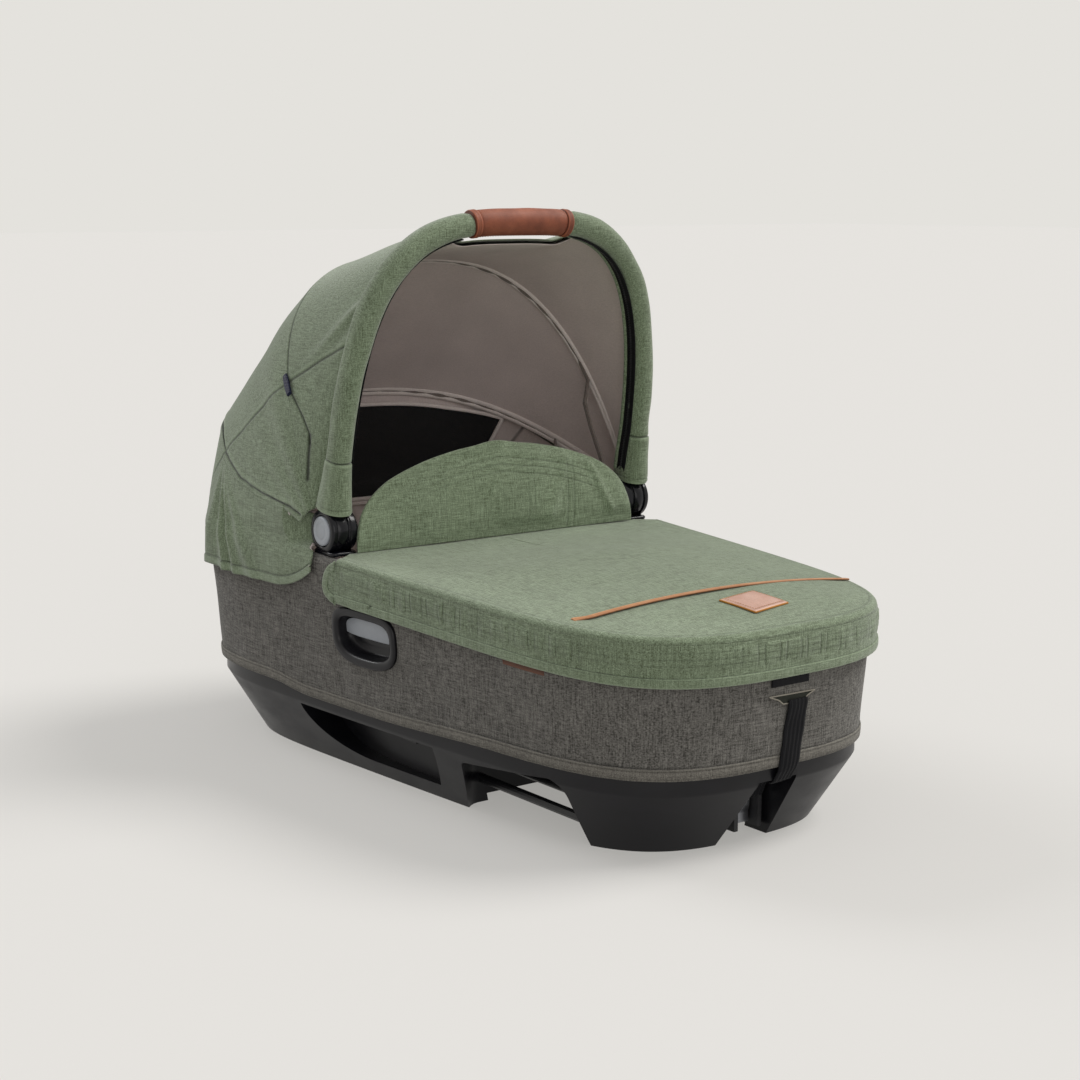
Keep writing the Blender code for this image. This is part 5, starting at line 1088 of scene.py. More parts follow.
def make_mattress():
    """Quilted mattress with a piped edge, drawn-in sides and a crowned top."""
    columns = 420
    stations = all_round(columns)
    profile = smooth_through(MATTRESS_PROFILE, 90)
    rings, seam_and_shade_rows = [], []
    for inset, height in profile:
        rings.append(
            body_point(stations, MATTRESS_INSET + inset, np.full(columns, MATTRESS_BOTTOM + height))
        )
        # Painted shade, partly the stitching, in the crevices on both sides of the piped edge.
        seam_and_shade_rows.append(
            np.full(
                columns, hump(height, 0.0186, 0.0006) * 0.6 + hump(height, 0.0228, 0.0006) * 0.6,
            )
        )
    rings = np.array(rings)
    x, y = rings[..., 0], rings[..., 1]
    a = (x + y) / DIAMOND_PITCH
    b = (x - y) / DIAMOND_PITCH
    diamonds = np.minimum(np.abs(np.sin(math.pi * a)), np.abs(np.sin(math.pi * b)))
    on_top = ease(rings[..., 2], MATTRESS_BOTTOM + 0.0262, MATTRESS_BOTTOM + 0.0285)
    rings[..., 2] -= (1 - np.clip(diamonds / 0.35, 0, 1)) ** 2 * 0.0016 * on_top
    # Painted shade, partly the stitching, in the quilting lines on top.
    seam_and_shade_rows = np.array(seam_and_shade_rows) + hump(diamonds, 0.0, 0.05) * 0.35 * on_top
    pad = solid_from("mattress_pad", rings, quilt, {"seam_and_shade": seam_and_shade_rows})
    pad.data.shade_smooth()
    stand_for(pad, "mattress")


# Side fittings


def wall_frame(x, z, side):
    step = HALF_LENGTH / 100

    def at(px, pz):
        return np.array([px, side * float(body_half_width(px, pz)), pz])

    origin = at(x, z)
    fore = unit(at(x + step, z) - at(x - step, z))
    up = unit(at(x, z + step) - at(x, z - step))
    out = unit(np.cross(fore, up))
    if out[1] * side < 0:
        out = -out
    up = unit(np.cross(out, fore))
    if up[2] < 0:
        up = -up
    return origin, fore, up, out


def egg(grow, count=120):
    """Outline of the fitting: full above and rounder below."""
    angle = TAU * (np.arange(count) + 0.5) / count
    power = np.where(np.sin(angle) > 0, 2 / 4.0, 2 / 2.6)
    c, s = np.cos(angle), np.sin(angle)
    u = (ADAPTER_SIZE[0] / 2 + grow) * signed_power(c, power)
    v = (ADAPTER_SIZE[1] / 2 + grow) * signed_power(s, power)
    return np.stack([u, v], 1)


def inside_fitting(points, grow):
    found = np.zeros(len(points), bool)
    for side in (-1, 1):
        origin, fore, up, out = wall_frame(0.0, ADAPTER_HEIGHT, side)
        local = points - origin
        u = (local @ fore) / (ADAPTER_SIZE[0] / 2 + grow)
        v = (local @ up) / (ADAPTER_SIZE[1] / 2 + grow)
        power = np.where(v > 0, 4.0, 2.6)
        near = np.abs(local @ out) < 0.03
        found |= near & (np.abs(u) ** power + np.abs(v) ** power < 1.0)
    return found


CUP_DEPTH = 0.0139
FITTING_SECTION = (
    (0.0, 0.0005), (0.0, 0.0030), (-0.0006, 0.0043), (-0.0018, 0.0050), (-0.0060, 0.0048),
    (-0.0084, 0.0040), (-0.0094, 0.0026), (-0.0098, 0.0), (-0.0104, -0.0070),
    (-0.0112, -0.0120), (-0.0135, -0.0135), (-0.0200, -CUP_DEPTH),
)


def make_fittings():
    """Oval rings with a deep finger cup, and the pale levers inside them."""
    for side, name in SIDES:
        origin, fore, up, out = wall_frame(0.0, ADAPTER_HEIGHT, side)

        def place(shape, depth):
            return origin + shape[:, :1] * fore + shape[:, 1:] * up + depth * out

        rings = [place(egg(grow), depth) for grow, depth in FITTING_SECTION]
        middle = place(egg(-0.0200) * 0.02, -CUP_DEPTH)
        faces = grid_faces(len(rings) + 1, 120, close_columns=True)
        ring = make_object(
            f"side_fitting_{name}", np.array(rings + [middle]).reshape(-1, 3), faces, black_plastic,
        )
        if float(np.sum([p.normal.dot(Vector(out)) * p.area for p in ring.data.polygons])) < 0:
            ring.data.flip_normals()
        thicken(ring)
        ring.data.set_sharp_from_angle(angle=math.radians(50))
        stand_for(ring, f"adapter_housing_{name}")
        make_lever(name, place)


LEVER_DROP = 0.0060
LEVER_INSET = 0.0072
LEVER_HEIGHT = 0.0170
LEVER_BOW = 0.00425
LEVER_BACK = 0.0137


def make_lever(name, place):
    """A pale finger plate with a curved lower edge and rounded rims."""
    top = ADAPTER_SIZE[1] / 2 - LEVER_DROP - LEVER_INSET
    bottom = top - LEVER_HEIGHT
    limit = egg(-LEVER_INSET, 400)
    upper = [(u, min(top, v - LEVER_DROP)) for u, v in limit if v >= bottom + LEVER_DROP]
    upper.sort(key=lambda p: -p[0])
    half = upper[0][0]
    lower = [
        (-half * math.cos(math.pi * k / 24), bottom - LEVER_BOW * math.sin(math.pi * k / 24))
        for k in range(1, 24)
    ]
    shape = even(np.array(upper + lower + [upper[0]]), 161)[:-1]
    centre = np.array([0.0, (top + bottom) / 2])
    low = -LEVER_BACK
    rings = []
    for inset, depth in (
        (0.0005, low), (0.0, low + 0.0008), (0.0, low + 0.0046), (0.0007, low + 0.0057),
        (0.0020, low + 0.0060),
    ):
        toward = unit(centre - shape)
        rings.append(place(shape + toward * inset, depth))
    lever = solid_from(f"finger_lever_{name}", rings, pale_plastic)
    stand_for(lever, f"release_lever_{name}")


# Hoops of the hood


def fore_of(lean):
    """Forwards across something that leans by so many degrees."""
    lean = math.radians(lean)
    return np.array([math.cos(lean), 0.0, -math.sin(lean)])


def hood_point(lean, rise, y):
    lean = np.radians(lean)
    rise, y = np.asarray(rise, float), np.asarray(y, float)
    return np.stack([HUB.x + rise * np.sin(lean), y, HUB.z + rise * np.cos(lean)], -1)


def hoop_line(hoop, start_rise, extra=0.0):
    """Finely spaced (rise, y) points of a hoop, and the distance along it."""
    rise, half_width, squareness = hoop[0] + extra, hoop[1] + extra, hoop[2]
    power = 2.0 / squareness
    first = math.asin((start_rise / rise) ** (1.0 / power))
    angle = np.linspace(first, math.pi - first, 2401)
    fine = np.stack(
        [rise * np.sin(angle) ** power, -half_width * signed_power(np.cos(angle), power)], 1
    )
    return fine, travelled_along(fine)


def hoop(lean, sizes, start_rise, count, extra=0.0):
    fine, travelled = hoop_line(sizes, start_rise, extra)
    wanted = np.linspace(0.0, travelled[-1], count)
    return hood_point(
        lean, np.interp(wanted, travelled, fine[:, 0]), np.interp(wanted, travelled, fine[:, 1]),
    )


SLEEVE_START = 0.0220
BOW = hoop_line(BOW_HOOP, SLEEVE_START)
BOW_TOTAL = float(BOW[1][-1])
BOW_FORE = fore_of(BOW_LEAN)


def bow_distance(y):
    return float(np.interp(y, BOW[0][:, 1], BOW[1]))


def bow_distance_at_rise(rise):
    half = len(BOW[1]) // 2
    return float(np.interp(rise, BOW[0][:half, 0], BOW[1][:half]))


def bow_frames(distances):
    """Points of the bow, and their directions out of it."""
    d = np.asarray(distances, float)

    def at(where):
        return hood_point(
            BOW_LEAN, np.interp(where, BOW[1], BOW[0][:, 0]),
            np.interp(where, BOW[1], BOW[0][:, 1]),
        )

    points = at(d)
    tangents = unit(at(d + 0.0005) - at(d - 0.0005))
    return points, unit(np.cross(BOW_FORE, tangents))


def bow_sweep(name, distances, thick, deep, material, marks=None, sides=36, squareness=2.3):
    """A padded sleeve round the bow. thick and deep are half sizes along it."""
    points, outward = bow_frames(distances)
    angle = TAU * np.arange(sides) / sides
    c = signed_power(np.cos(angle), 2 / squareness)
    s = signed_power(np.sin(angle), 2 / squareness)
    thick = np.broadcast_to(thick, (len(points), sides))
    deep = np.broadcast_to(deep, (len(points), sides))
    rings = (
        points[:, None] + outward[:, None] * (thick * c)[..., None]
        + BOW_FORE * (deep * s)[..., None]
    )
    return solid_from(name, rings, material, marks)


FLARE_LENGTH = 2 * (bow_distance(-GRIP_LENGTH / 2) / 11)
SLEEVE_DEEP = 0.0145
SLEEVE_FLARE = 0.0075


def flare_at(distance):
    """How far the sleeve widens towards its end at the pivot."""
    return np.clip(1 - np.asarray(distance) / FLARE_LENGTH, 0.0, 1.0)


def make_bow():
    """Padded sleeves with a wider cuff, leather grip and bands, zips and pivot drums."""
    sides = 36
    grip_end = bow_distance(-GRIP_LENGTH / 2 - FACE_GAP)
    for side, name in SIDES:
        d = np.concatenate([np.linspace(0.0, 0.070, 120), np.linspace(0.073, grip_end, 140)])
        flare = flare_at(d)[:, None] ** 1.3
        angle = TAU * np.arange(sides) / sides
        folds = ripple(d[:, None] / 0.035, angle[None] * 1.2, 31 + side) * 0.00060
        folds = folds + ripple(d[:, None] / 0.012, angle[None] * 1.5, 37 + side) * 0.00018
        step = (1 - ease(d, 0.0545, 0.0560))[:, None]
        cuff = hump(d, 0.0560, 0.0012)[:, None] * 0.0010
        edge = (1 - ease(d, 0.0, 0.003))[:, None] * 0.0013
        hem = hump(d, 0.0060, 0.0008)[:, None] * 0.0005
        top = ease(d, grip_end - 0.006, grip_end)[:, None] * 0.0012
        thick = 0.0130 + 0.0040 * flare + folds - cuff - edge - top - hem + 0.0004 * step
        deep = SLEEVE_DEEP + SLEEVE_FLARE * flare + folds - cuff - edge - top - hem + 0.0012 * step
        around = np.ones(sides)
        # Painted shade, partly the seams: dark lines at the cuff's step and near the sleeve's end.
        seam_and_shade = hump(d, 0.0562, 0.0009)[:, None] * 0.9 + hump(d, 0.0060, 0.0007)[:, None] * 0.35
        # Painted highlight: light lines along the sleeve's outer face, and lighter edges at its end
        # and before the cuff.
        painted_rim_highlight = hump(np.cos(angle), 0.93, 0.06)[None] * step * 0.55
        highlight_and_wear = hump(d, 0.0012, 0.0016)[:, None] + hump(d, 0.0535, 0.0009)[:, None] * 0.6 + painted_rim_highlight
        places = d if side < 0 else BOW_TOTAL - d
        sleeve = bow_sweep(
            f"bow_padding_{name}", places, thick, deep, green,
            {"seam_and_shade": seam_and_shade * around, "highlight_and_wear": np.clip(highlight_and_wear * around, 0, 1)}, sides,
        )
        stand_for(sleeve, f"bow_sleeve_{name}")
        make_zip(name, side)
        make_pivot(name, side)
    make_grip()


def make_grip():
    band_start = GRIP_LENGTH / 2 - GRIP_BAND
    d = np.linspace(bow_distance(-band_start + SEAT_GAP), bow_distance(band_start - SEAT_GAP), 90)
    sides = 40
    angle = TAU * np.arange(sides) / sides
    share = (d - d[0]) / (d[-1] - d[0])
    radius = (
        GRIP_RADIUS + 0.0003 * np.sin(math.pi * share)[:, None]
        - 0.0006 * (hump(share, 0, 0.01) + hump(share, 1, 0.01))[:, None]
    )
    seam_at = hump(angle, math.pi, 0.10)[None]
    radius = (
        radius - 0.0007 * seam_at
        + 0.0003 * (hump(angle, math.pi - 0.22, 0.1) + hump(angle, math.pi + 0.22, 0.1))[None]
    )
    radius = radius + ripple(share[:, None] * 9, angle[None] * 2, 77) * 0.00012
    # Painted shade, partly the seam, along the grip's seam groove.
    seam_and_shade = seam_at * np.ones((len(d), 1))
    # Lighter along one side of the grip, most towards its middle.
    highlight_and_wear = hump(angle, 0.3, 0.8)[None] * 0.25 * np.sin(math.pi * share)[:, None]
    grip = bow_sweep(
        "leather_grip", d, radius, radius, cognac, {"seam_and_shade": seam_and_shade, "highlight_and_wear": highlight_and_wear}, sides, 2.0,
    )
    stand_for(grip, "handle_grip")
    points, outward = bow_frames(d[2:-2])
    threads = []
    for shift in (-0.0024, 0.0024):
        path = points - outward * (GRIP_RADIUS + 0.0001) + BOW_FORE * shift
        threads.append(stitches("thread", path, -outward, 0.0034, 0.0026, 0.0005, tan_thread))
    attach(gather("grip_stitches", threads, tan_thread), "bow")
    for side, name in SIDES:
        span = np.linspace(bow_distance(-GRIP_LENGTH / 2), bow_distance(-band_start), 26)
        share = np.linspace(0, 1, 26)
        radius = (
            GRIP_RADIUS + 0.0012 - 0.0011 * (2 * np.abs(share - 0.5)) ** 6
            - 0.0002 * hump(share, 0.5, 0.12)
        )
        # Painted highlight on the shoulders near both ends of each cuff, and painted shade, partly
        # the seams, at its ends.
        highlight_and_wear = (hump(share, 0.12, 0.07) + hump(share, 0.88, 0.07))[:, None] * np.ones(sides) * 0.8
        seam_and_shade = (hump(share, 0.0, 0.05) + hump(share, 1.0, 0.05))[:, None] * np.ones(sides)
        places = span if side < 0 else BOW_TOTAL - span
        cuff = bow_sweep(
            f"grip_cuff_{name}", places, radius[:, None], radius[:, None], cognac,
            {"highlight_and_wear": highlight_and_wear, "seam_and_shade": seam_and_shade}, sides, 2.0,
        )
        stand_for(cuff, f"grip_band_{name}")


ZIP_HALF_WIDTH = 0.0074
TAPE_THICKNESS = 0.0010
TOOTH_PITCH = 0.0016
WELT_RADIUS = 0.0032
WELT_BACK = 0.0108


def make_zip(name, side):
    """A zip on the bow's inner face: tape, a raised chain of teeth, and a green welt beside it."""
    low = bow_distance_at_rise(0.0340)
    high = bow_distance(-GRIP_LENGTH / 2 - FACE_GAP) - 0.012
    d = np.linspace(low, high, 170)
    points, outward = bow_frames(d if side < 0 else BOW_TOTAL - d)
    near = 0.0131 + 0.0018 * ease(-d, -0.07, -0.03)
    rings = []
    for point, out, gap in zip(points, outward, near):
        base = point - out * gap - BOW_FORE * 0.0010
        rings.append(
            [
                base - BOW_FORE * ZIP_HALF_WIDTH, base + BOW_FORE * ZIP_HALF_WIDTH,
                base + BOW_FORE * ZIP_HALF_WIDTH - out * TAPE_THICKNESS,
                base - BOW_FORE * ZIP_HALF_WIDTH - out * TAPE_THICKNESS,
            ]
        )
    tape = solid_from(f"hood_zip_tape_{name}", rings, black_tape)
    stand_for(tape, f"bow_zip_{name}")
    teeth = []
    for k, where in enumerate(np.arange(low + 0.002, high - 0.002, TOOTH_PITCH)):
        at, out = bow_frames([where if side < 0 else BOW_TOTAL - where])
        point, out = at[0], out[0]
        gap = float(np.interp(where, d, near))
        along = unit(np.cross(out, BOW_FORE))
        shift = -0.0010 + (0.0006 if k % 2 else -0.0006)
        centre = point - out * (gap + 0.0012) + BOW_FORE * shift
        corners = []
        for w in (0.0, 0.0008):
            grow = 1.0 if w == 0.0 else 0.7
            corners.append(
                [
                    centre - out * w + BOW_FORE * a * 0.0014 * grow + along * b * 0.00055 * grow
                    for a, b in ((-1, -1), (1, -1), (1, 1), (-1, 1))
                ]
            )
        teeth.append(solid_from("tooth", corners, zip_teeth))
    chain = gather(f"hood_zip_teeth_{name}", teeth, zip_teeth)
    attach(chain, "bow")
    welt_path = points - outward * (near - 0.0004)[:, None] - BOW_FORE * WELT_BACK
    welt = tube(f"bow_welt_{name}", welt_path, WELT_RADIUS, green, 12)
    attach(welt, "bow")


def make_cheek(name, side, drum_inner):
    """The fixed half of the pivot: a round cheek on a saddle over the rim."""
    high, low = drum_inner - 0.0005, drum_inner - 0.0120
    wide = DRUM_RADIUS - 0.0012
    profile = [
        (low, 0.0030), (low, wide - 0.0022), (low + 0.0010, wide - 0.0006), (low + 0.0024, wide),
        (high - 0.0034, wide), (high - 0.0026, wide - 0.0010), (high - 0.0016, wide - 0.0010),
        (high - 0.0010, wide - 0.0002), (high, wide - 0.0010), (high, 0.0030),
    ]
    cheek = turned("cheek", profile, side, glossy_black)
    rings = []
    for z, grow in ((0.2423, 0.0005), (0.2432, 0.0012), (0.2452, 0.0012), (0.2464, 0.0002)):
        ring = []
        for a in TAU * (np.arange(64) + 0.5) / 64:
            c, s = math.cos(a), math.sin(a)
            u = (HUB_RADIUS + 0.0005 + grow) * math.copysign(abs(c) ** 0.35, c)
            v = (0.0150 + grow) * math.copysign(abs(s) ** 0.35, s)
            ring.append((HUB.x + u, side * (0.2020 + v), z))
        rings.append(ring)
    saddle = solid_from("saddle", rings, glossy_black)
    cheek = gather(f"pivot_cheek_{name}", [cheek, saddle], glossy_black)
    stand_for(cheek, f"hub_bracket_{name}")


def make_pivot(name, side):
    """The glossy drum, its raised rim, the fixed cheek and the pale cap that presses in."""
    outer = DRUM_OUTER_Y
    inner = outer - DRUM_WIDTH
    wide = DRUM_RADIUS
    profile = [
        (inner, wide - 0.0020), (inner + 0.0012, wide - 0.0008), (outer - 0.0075, wide - 0.0008),
        (outer - 0.0066, wide - 0.0018), (outer - 0.0057, wide - 0.0002), (outer - 0.0022, wide),
        (outer - 0.0006, wide - 0.0010), (outer, wide - 0.0030), (outer + 0.0001, 0.0182),
        (outer - 0.0004, 0.0172), (outer - 0.0014, 0.0168), (outer - 0.0095, 0.0168),
        (outer - 0.0102, 0.0130), (outer - 0.0102, 0.0040),
    ]
    drum = turned(f"pivot_drum_{name}", profile, side, glossy_black)
    rings = []
    for rise in np.linspace(0.0180, 0.0450, 8):
        angle = TAU * np.arange(32) / 32
        at = hood_point(BOW_LEAN, rise, side * 0.2050)
        rings.append(
            at + np.outer(0.0068 * np.cos(angle), (0, 1, 0))
            + np.outer(0.0104 * np.sin(angle), BOW_FORE)
        )
    neck = solid_from("neck", rings, glossy_black)
    drum = gather(f"pivot_drum_{name}", [drum, neck], glossy_black)
    stand_for(drum, f"bow_socket_{name}")
    face = outer + 0.0015
    cap_profile = [
        (face - 0.0060, 0.0159), (face - 0.0012, 0.0160), (face - 0.0004, 0.0155), (face, 0.0146),
        (face + 0.0002, 0.0120), (face - 0.0001, 0.0098), (face - 0.0003, 0.0094),
        (face - 0.0001, 0.0090),
        (face + 0.0003, 0.0060), (face + 0.0004, 0.0005),
    ]
    cap = turned(f"pivot_cap_{name}", cap_profile, side, pale_plastic)
    stand_for(cap, f"pivot_button_{name}")
    make_cheek(name, side, inner)


# Hood cloth

S1_SEAM = (
    (-0.050, 0.472), (-0.108, 0.449), (-0.156, 0.426), (-0.204, 0.399), (-0.257, 0.362),
    (-0.299, 0.334), (-0.351, 0.289), (-0.372, 0.268),
)
S2_SEAM = (
    (-0.400, 0.3720), (-0.365, 0.3610), (-0.331, 0.3530), (-0.299, 0.3310), (-0.243, 0.3080),
    (-0.193, 0.2980), (-0.127, 0.2900), (-0.105, 0.2840),
)
S3_SEAM = (
    (-0.1600, 0.4150), (-0.1440, 0.4030), (-0.1250, 0.3870), (-0.1120, 0.3720), (-0.1085, 0.3600),
)
S3_SLIT = ((-0.1090, 0.3680), (-0.1080, 0.3420), (-0.1060, 0.3220))
HOOD_CENTRE = (-0.25, 0.0, 0.268)


def side_seam(grid, lines, width=0.0016, least=BESIDE_Y):
    """Marks of the seams drawn in side view, on both sides of the hood."""
    total = 0.0
    for line in lines:
        gap, _ = to_polyline(grid[..., (0, 2)], line)
        total = np.maximum(total, np.exp(-((gap / width) ** 2)))
    return np.where(np.abs(grid[..., 1]) > least, total, 0.0)


def side_lips(grid, lines):
    """The raised cloth beside the seams, which catches the light."""
    total = 0.0
    for line in lines:
        gap, _ = to_polyline(grid[..., (0, 2)] - np.array([0.0015, 0.0040]), line)
        total = np.maximum(total, np.exp(-((gap / 0.0020) ** 2)))
    return np.where(np.abs(grid[..., 1]) > BESIDE_Y, total, 0.0) * 0.45


def hood_angle(points):
    return np.degrees(np.arctan2(points[..., 0] - HUB.x, points[..., 2] - HUB.z))


def canopy_grid(front, back, rows, bulge, gaps):
    span = back - front
    length = np.linalg.norm(span, axis=1)
    low = np.minimum(0.4, gaps[0] / length)
    high = 1 - np.minimum(0.4, gaps[1] / length)
    shares = low[None] + (high - low)[None] * np.linspace(0, 1, rows)[:, None]
    grid = front[None] + span[None] * shares[..., None]
    out = unit(grid - np.array(HUB))
    return grid + out * (bulge * np.sin(math.pi * np.clip(shares, 0, 1)))[..., None], shares


def front_edge(count, rise):
    """The front panel's edge along the bow, with its dip under the grip for the hand."""
    first = bow_distance_at_rise(rise)
    d = np.linspace(first, BOW_TOTAL - first, count)
    points, outward = bow_frames(d)
    flare = flare_at(np.minimum(d, BOW_TOTAL - d))
    beside = np.clip((np.abs(points[:, 1]) - 0.060) / 0.050, 0, 1)
    slot = (1 + np.cos(math.pi * beside)) / 2
    back = SLEEVE_DEEP + SLEEVE_FLARE * flare + 0.0010 - 0.0045 * (1 - slot)
    return points - BOW_FORE * back[:, None] - outward * (0.0220 * slot)[:, None]


def blend_by_angle(piece, a, b, low, high):
    """Bakes the piece's placement into its mesh and reads its points."""
    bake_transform(piece)
    count = len(piece.data.vertices)
    points = np.empty(count * 3, np.float32)
    piece.data.vertices.foreach_get("co", points)


def make_lining_sheet(name, grid, rests_on, bends, flat):
    """The smooth taupe lining under a hood panel, with soft folds of its own."""
    normals = grid_normals(grid, HOOD_CENTRE)
    share = np.linspace(0, 1, grid.shape[0])[:, None]
    across = grid[..., 1]
    folds = ripple(across / 0.045, share * 1.3, 141) * 0.0011
    folds = folds + hump(np.abs(across), 0.120, 0.010) * 0.0016
    folds = folds * np.sin(math.pi * share) ** 0.8
    inner = grid - normals * (LINING_BELOW + np.clip(folds, 0.0, 0.0040))[..., None]
    lining = thicken(sheet_from(name, inner, lining_cloth, HOOD_CENTRE))
    blend_by_angle(lining, *bends)
    declare_shaped(lining, *flat, "stretched", rests_on, inner, flat[0] * flat[1])


def finish_panel(part, grid, marks, inner, bends, flat, most, rests_on):
    """Makes a hood panel of its surface, and the lining under it.

    bends holds the two bodies that it joins and two angles; it is not used.
    """
    panel = thicken(sheet_from(f"hood_{part}_panel", grid, green, HOOD_CENTRE, marks))
    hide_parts(f"canopy_{part}")
    blend_by_angle(panel, *bends)
    declare_shaped(panel, *flat, "stretched", rests_on, grid, most)
    make_lining_sheet(f"hood_{part}_lining", inner, rests_on, bends, flat)


def make_middle_panel():
    """Green cloth between the two ribs, lined inside, with its side seams."""
    def surface(columns, rows, lining=False):
        start = CANOPY_START_RISE + (LINING_START if lining else 0.0)
        upper = hoop(UPPER_LEAN, UPPER_HOOP, start, columns, PANEL_EXTRA)
        lower = hoop(LOWER_LEAN, LOWER_HOOP, start, columns, PANEL_EXTRA)
        leg = ease(np.abs(upper[:, 1]), 0.150, 0.200)
        gap_up = 0.0010 - 0.0050 * leg
        reach = hub_reach(lower)
        sag, _ = seam_sag(reach, lower[:, 1])
        gap_low = (
            (-0.0060 + np.minimum(0.0, sag) - 0.0020 * leg) * ease(reach, 0.050, 0.110) - 0.0004
        )
        if lining:
            gap_up, gap_low = np.full(columns, 0.0015), np.full(columns, 0.0010)
        return canopy_grid(upper, lower, rows, 0.0040, (gap_up, gap_low))

    grid, shares = surface(560, 170)
    normals = grid_normals(grid, HOOD_CENTRE)
    seam_and_shade = side_seam(grid, (S1_SEAM, S3_SEAM)) + side_seam(grid, (S2_SEAM,), least=0.170)
    seam_and_shade = np.clip(seam_and_shade, 0, 1)
    angle = hood_angle(grid)
    radius = hub_reach(grid)
    across = grid[..., 1]
    top = ease(grid[..., 2], 0.40, 0.50)
    leg = ease(np.abs(across), 0.150, 0.200)
    edge_up = hump(shares, 0.004, 0.006) * (1 - ease(-grid[..., 2], -0.415, -0.405))
    mid = np.sin(math.pi * np.clip(shares, 0, 1))
    folds = ripple(angle / 9.0, across / 0.12, 41) * 0.0016 * mid
    folds += ripple(angle / 5.0, radius / 0.20, 43) * 0.0008 * (1 - top) * mid
    pucker = ripple(grid[..., 0] / 0.006, grid[..., 2] / 0.006, 47) * 0.0002
    near_seam = side_seam(grid, (S1_SEAM, S2_SEAM, S3_SEAM), width=0.007)
    under = ease(shares, 0.992, 1.010) * 0.0006 + (1 - ease(shares, -0.012, 0.002)) * leg * 0.0022
    lift = folds - seam_and_shade * SEAM_DEPTH - edge_up * SEAM_DEPTH + near_seam * (0.0007 + pucker) - under
    grid = grid + normals * lift[..., None]
    # Painted shade, partly the seams: dark side seams and a dark line along the panel's upper edge
    # at the rib; painted highlight on the cloth beside the seams.
    marks = {
        "seam_and_shade": np.clip(seam_and_shade * 0.95 + edge_up * 0.9, 0, 1),
        "highlight_and_wear": side_lips(grid, (S1_SEAM, S2_SEAM)),
    }
    inner, _ = surface(220, 64, lining=True)
    finish_panel(
        "middle", grid, marks, inner, ("cot", "rib", STILL_LOW, STILL_HIGH),
        (1.00, 0.30), 0.30, ["hood_rib_upper", "hood_rib_lower"],
    )


FOLD_TOP = (0.015, 0.556)
FRONT_FOLDS = (((-0.100, 0.480), 0.0022), ((-0.136, 0.445), 0.0032), ((-0.085, 0.450), 0.0020))


def make_front_panel():
    """Green cloth between the bow and the upper rib, with diagonal folds on its sides."""
    def surface(columns, rows, lining=False):
        front = front_edge(columns, 0.0560 if lining else 0.0400)
        start = CANOPY_START_RISE + (LINING_START if lining else 0.0)
        upper = hoop(UPPER_LEAN, UPPER_HOOP, start, columns, PANEL_EXTRA)
        return canopy_grid(
            front, upper, rows, 0.0020, (np.zeros(columns), np.full(columns, 0.0004)),
        )

    grid, shares = surface(560, 130)
    normals = grid_normals(grid, HOOD_CENTRE)
    seam_and_shade = side_seam(grid, (S1_SEAM, S3_SEAM))
    slit = side_seam(grid, (S3_SLIT,), width=0.0026)
    place = grid[..., (0, 2)]
    beside = np.abs(grid[..., 1]) > BESIDE_Y
    folds = 0.0
    for low, height in FRONT_FOLDS:
        gap, t = to_polyline(place, (FOLD_TOP, low))
        fade = np.sin(math.pi * np.clip(t, 0.02, 0.98)) ** 0.7
        folds = folds + np.where(beside, hump(gap, 0.0, 0.0075) * height * fade, 0.0)
    middle = np.sin(math.pi * np.clip(shares, 0, 1))
    folds = folds + ripple(place[..., 0] / 0.05, grid[..., 1] / 0.10, 53) * 0.0010 * middle
    edge = hump(shares, 0.997, 0.008) * ease(grid[..., 2], 0.405, 0.415)
    bow_edge = hump(shares, 0.030, 0.012) * ease(grid[..., 2], 0.55, 0.56)
    lift = folds - seam_and_shade * SEAM_DEPTH - edge * SEAM_DEPTH - bow_edge * 0.0005 - slit * 0.0006
    grid = grid + normals * lift[..., None]
    # Painted shade, partly the seams: dark side seams, panel edges at the rib and the bow, and the
    # slit; painted highlight beside the seams.
    dark = np.clip(seam_and_shade * 0.95 + edge * 0.9 + bow_edge * 0.4 + slit * 1.15, 0, 1.15)
    marks = {"seam_and_shade": dark, "highlight_and_wear": side_lips(grid, (S1_SEAM,))}
    inner, _ = surface(220, 50, lining=True)
    finish_panel(
        "front", grid, marks, inner, ("rib", "bow", STILL_FRONT, BOW_LEAN),
        (0.95, 0.26), 0.247, ["hood_rib_upper", "bow_tube"],
    )


def make_rib_pipings():
    """Double piping over each rib inside the hood, with the shadow gap beside it."""
    for name, lean, sizes, body, radius, keep_rise in (
        ("upper", UPPER_LEAN, UPPER_HOOP, "rib", 0.0031, 0.055),
        ("lower", LOWER_LEAN, LOWER_HOOP, "cot", 0.0036, 0.050),
    ):
        path = hoop(lean, sizes, 0.0120, 260, 0.0010)
        path = path[hub_reach(path) > keep_rise]
        fore = fore_of(lean)
        cords = [
            tube("cord", path + fore * shift, radius, piping_cloth, 12, side_axis=fore)
            for shift in (-0.8 * radius, 0.8 * radius)
        ]
        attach(gather(f"rib_piping_{name}", cords, piping_cloth), body)


SKIRT_START_X = -0.0860


def seam_sag(rise, across):
    """How far the skirt's upper seam lies above the lower rib's line, on the sides."""
    d = np.array([math.sin(math.radians(LOWER_LEAN)), math.cos(math.radians(LOWER_LEAN))])
    n = np.array([d[1], -d[0]])
    spots = np.array(S2_SEAM) - HUB_XZ
    along, above = spots @ d, spots @ n
    order = np.argsort(along)
    return np.interp(rise, along[order], above[order]) * ease(np.abs(across), 0.150, 0.190), n


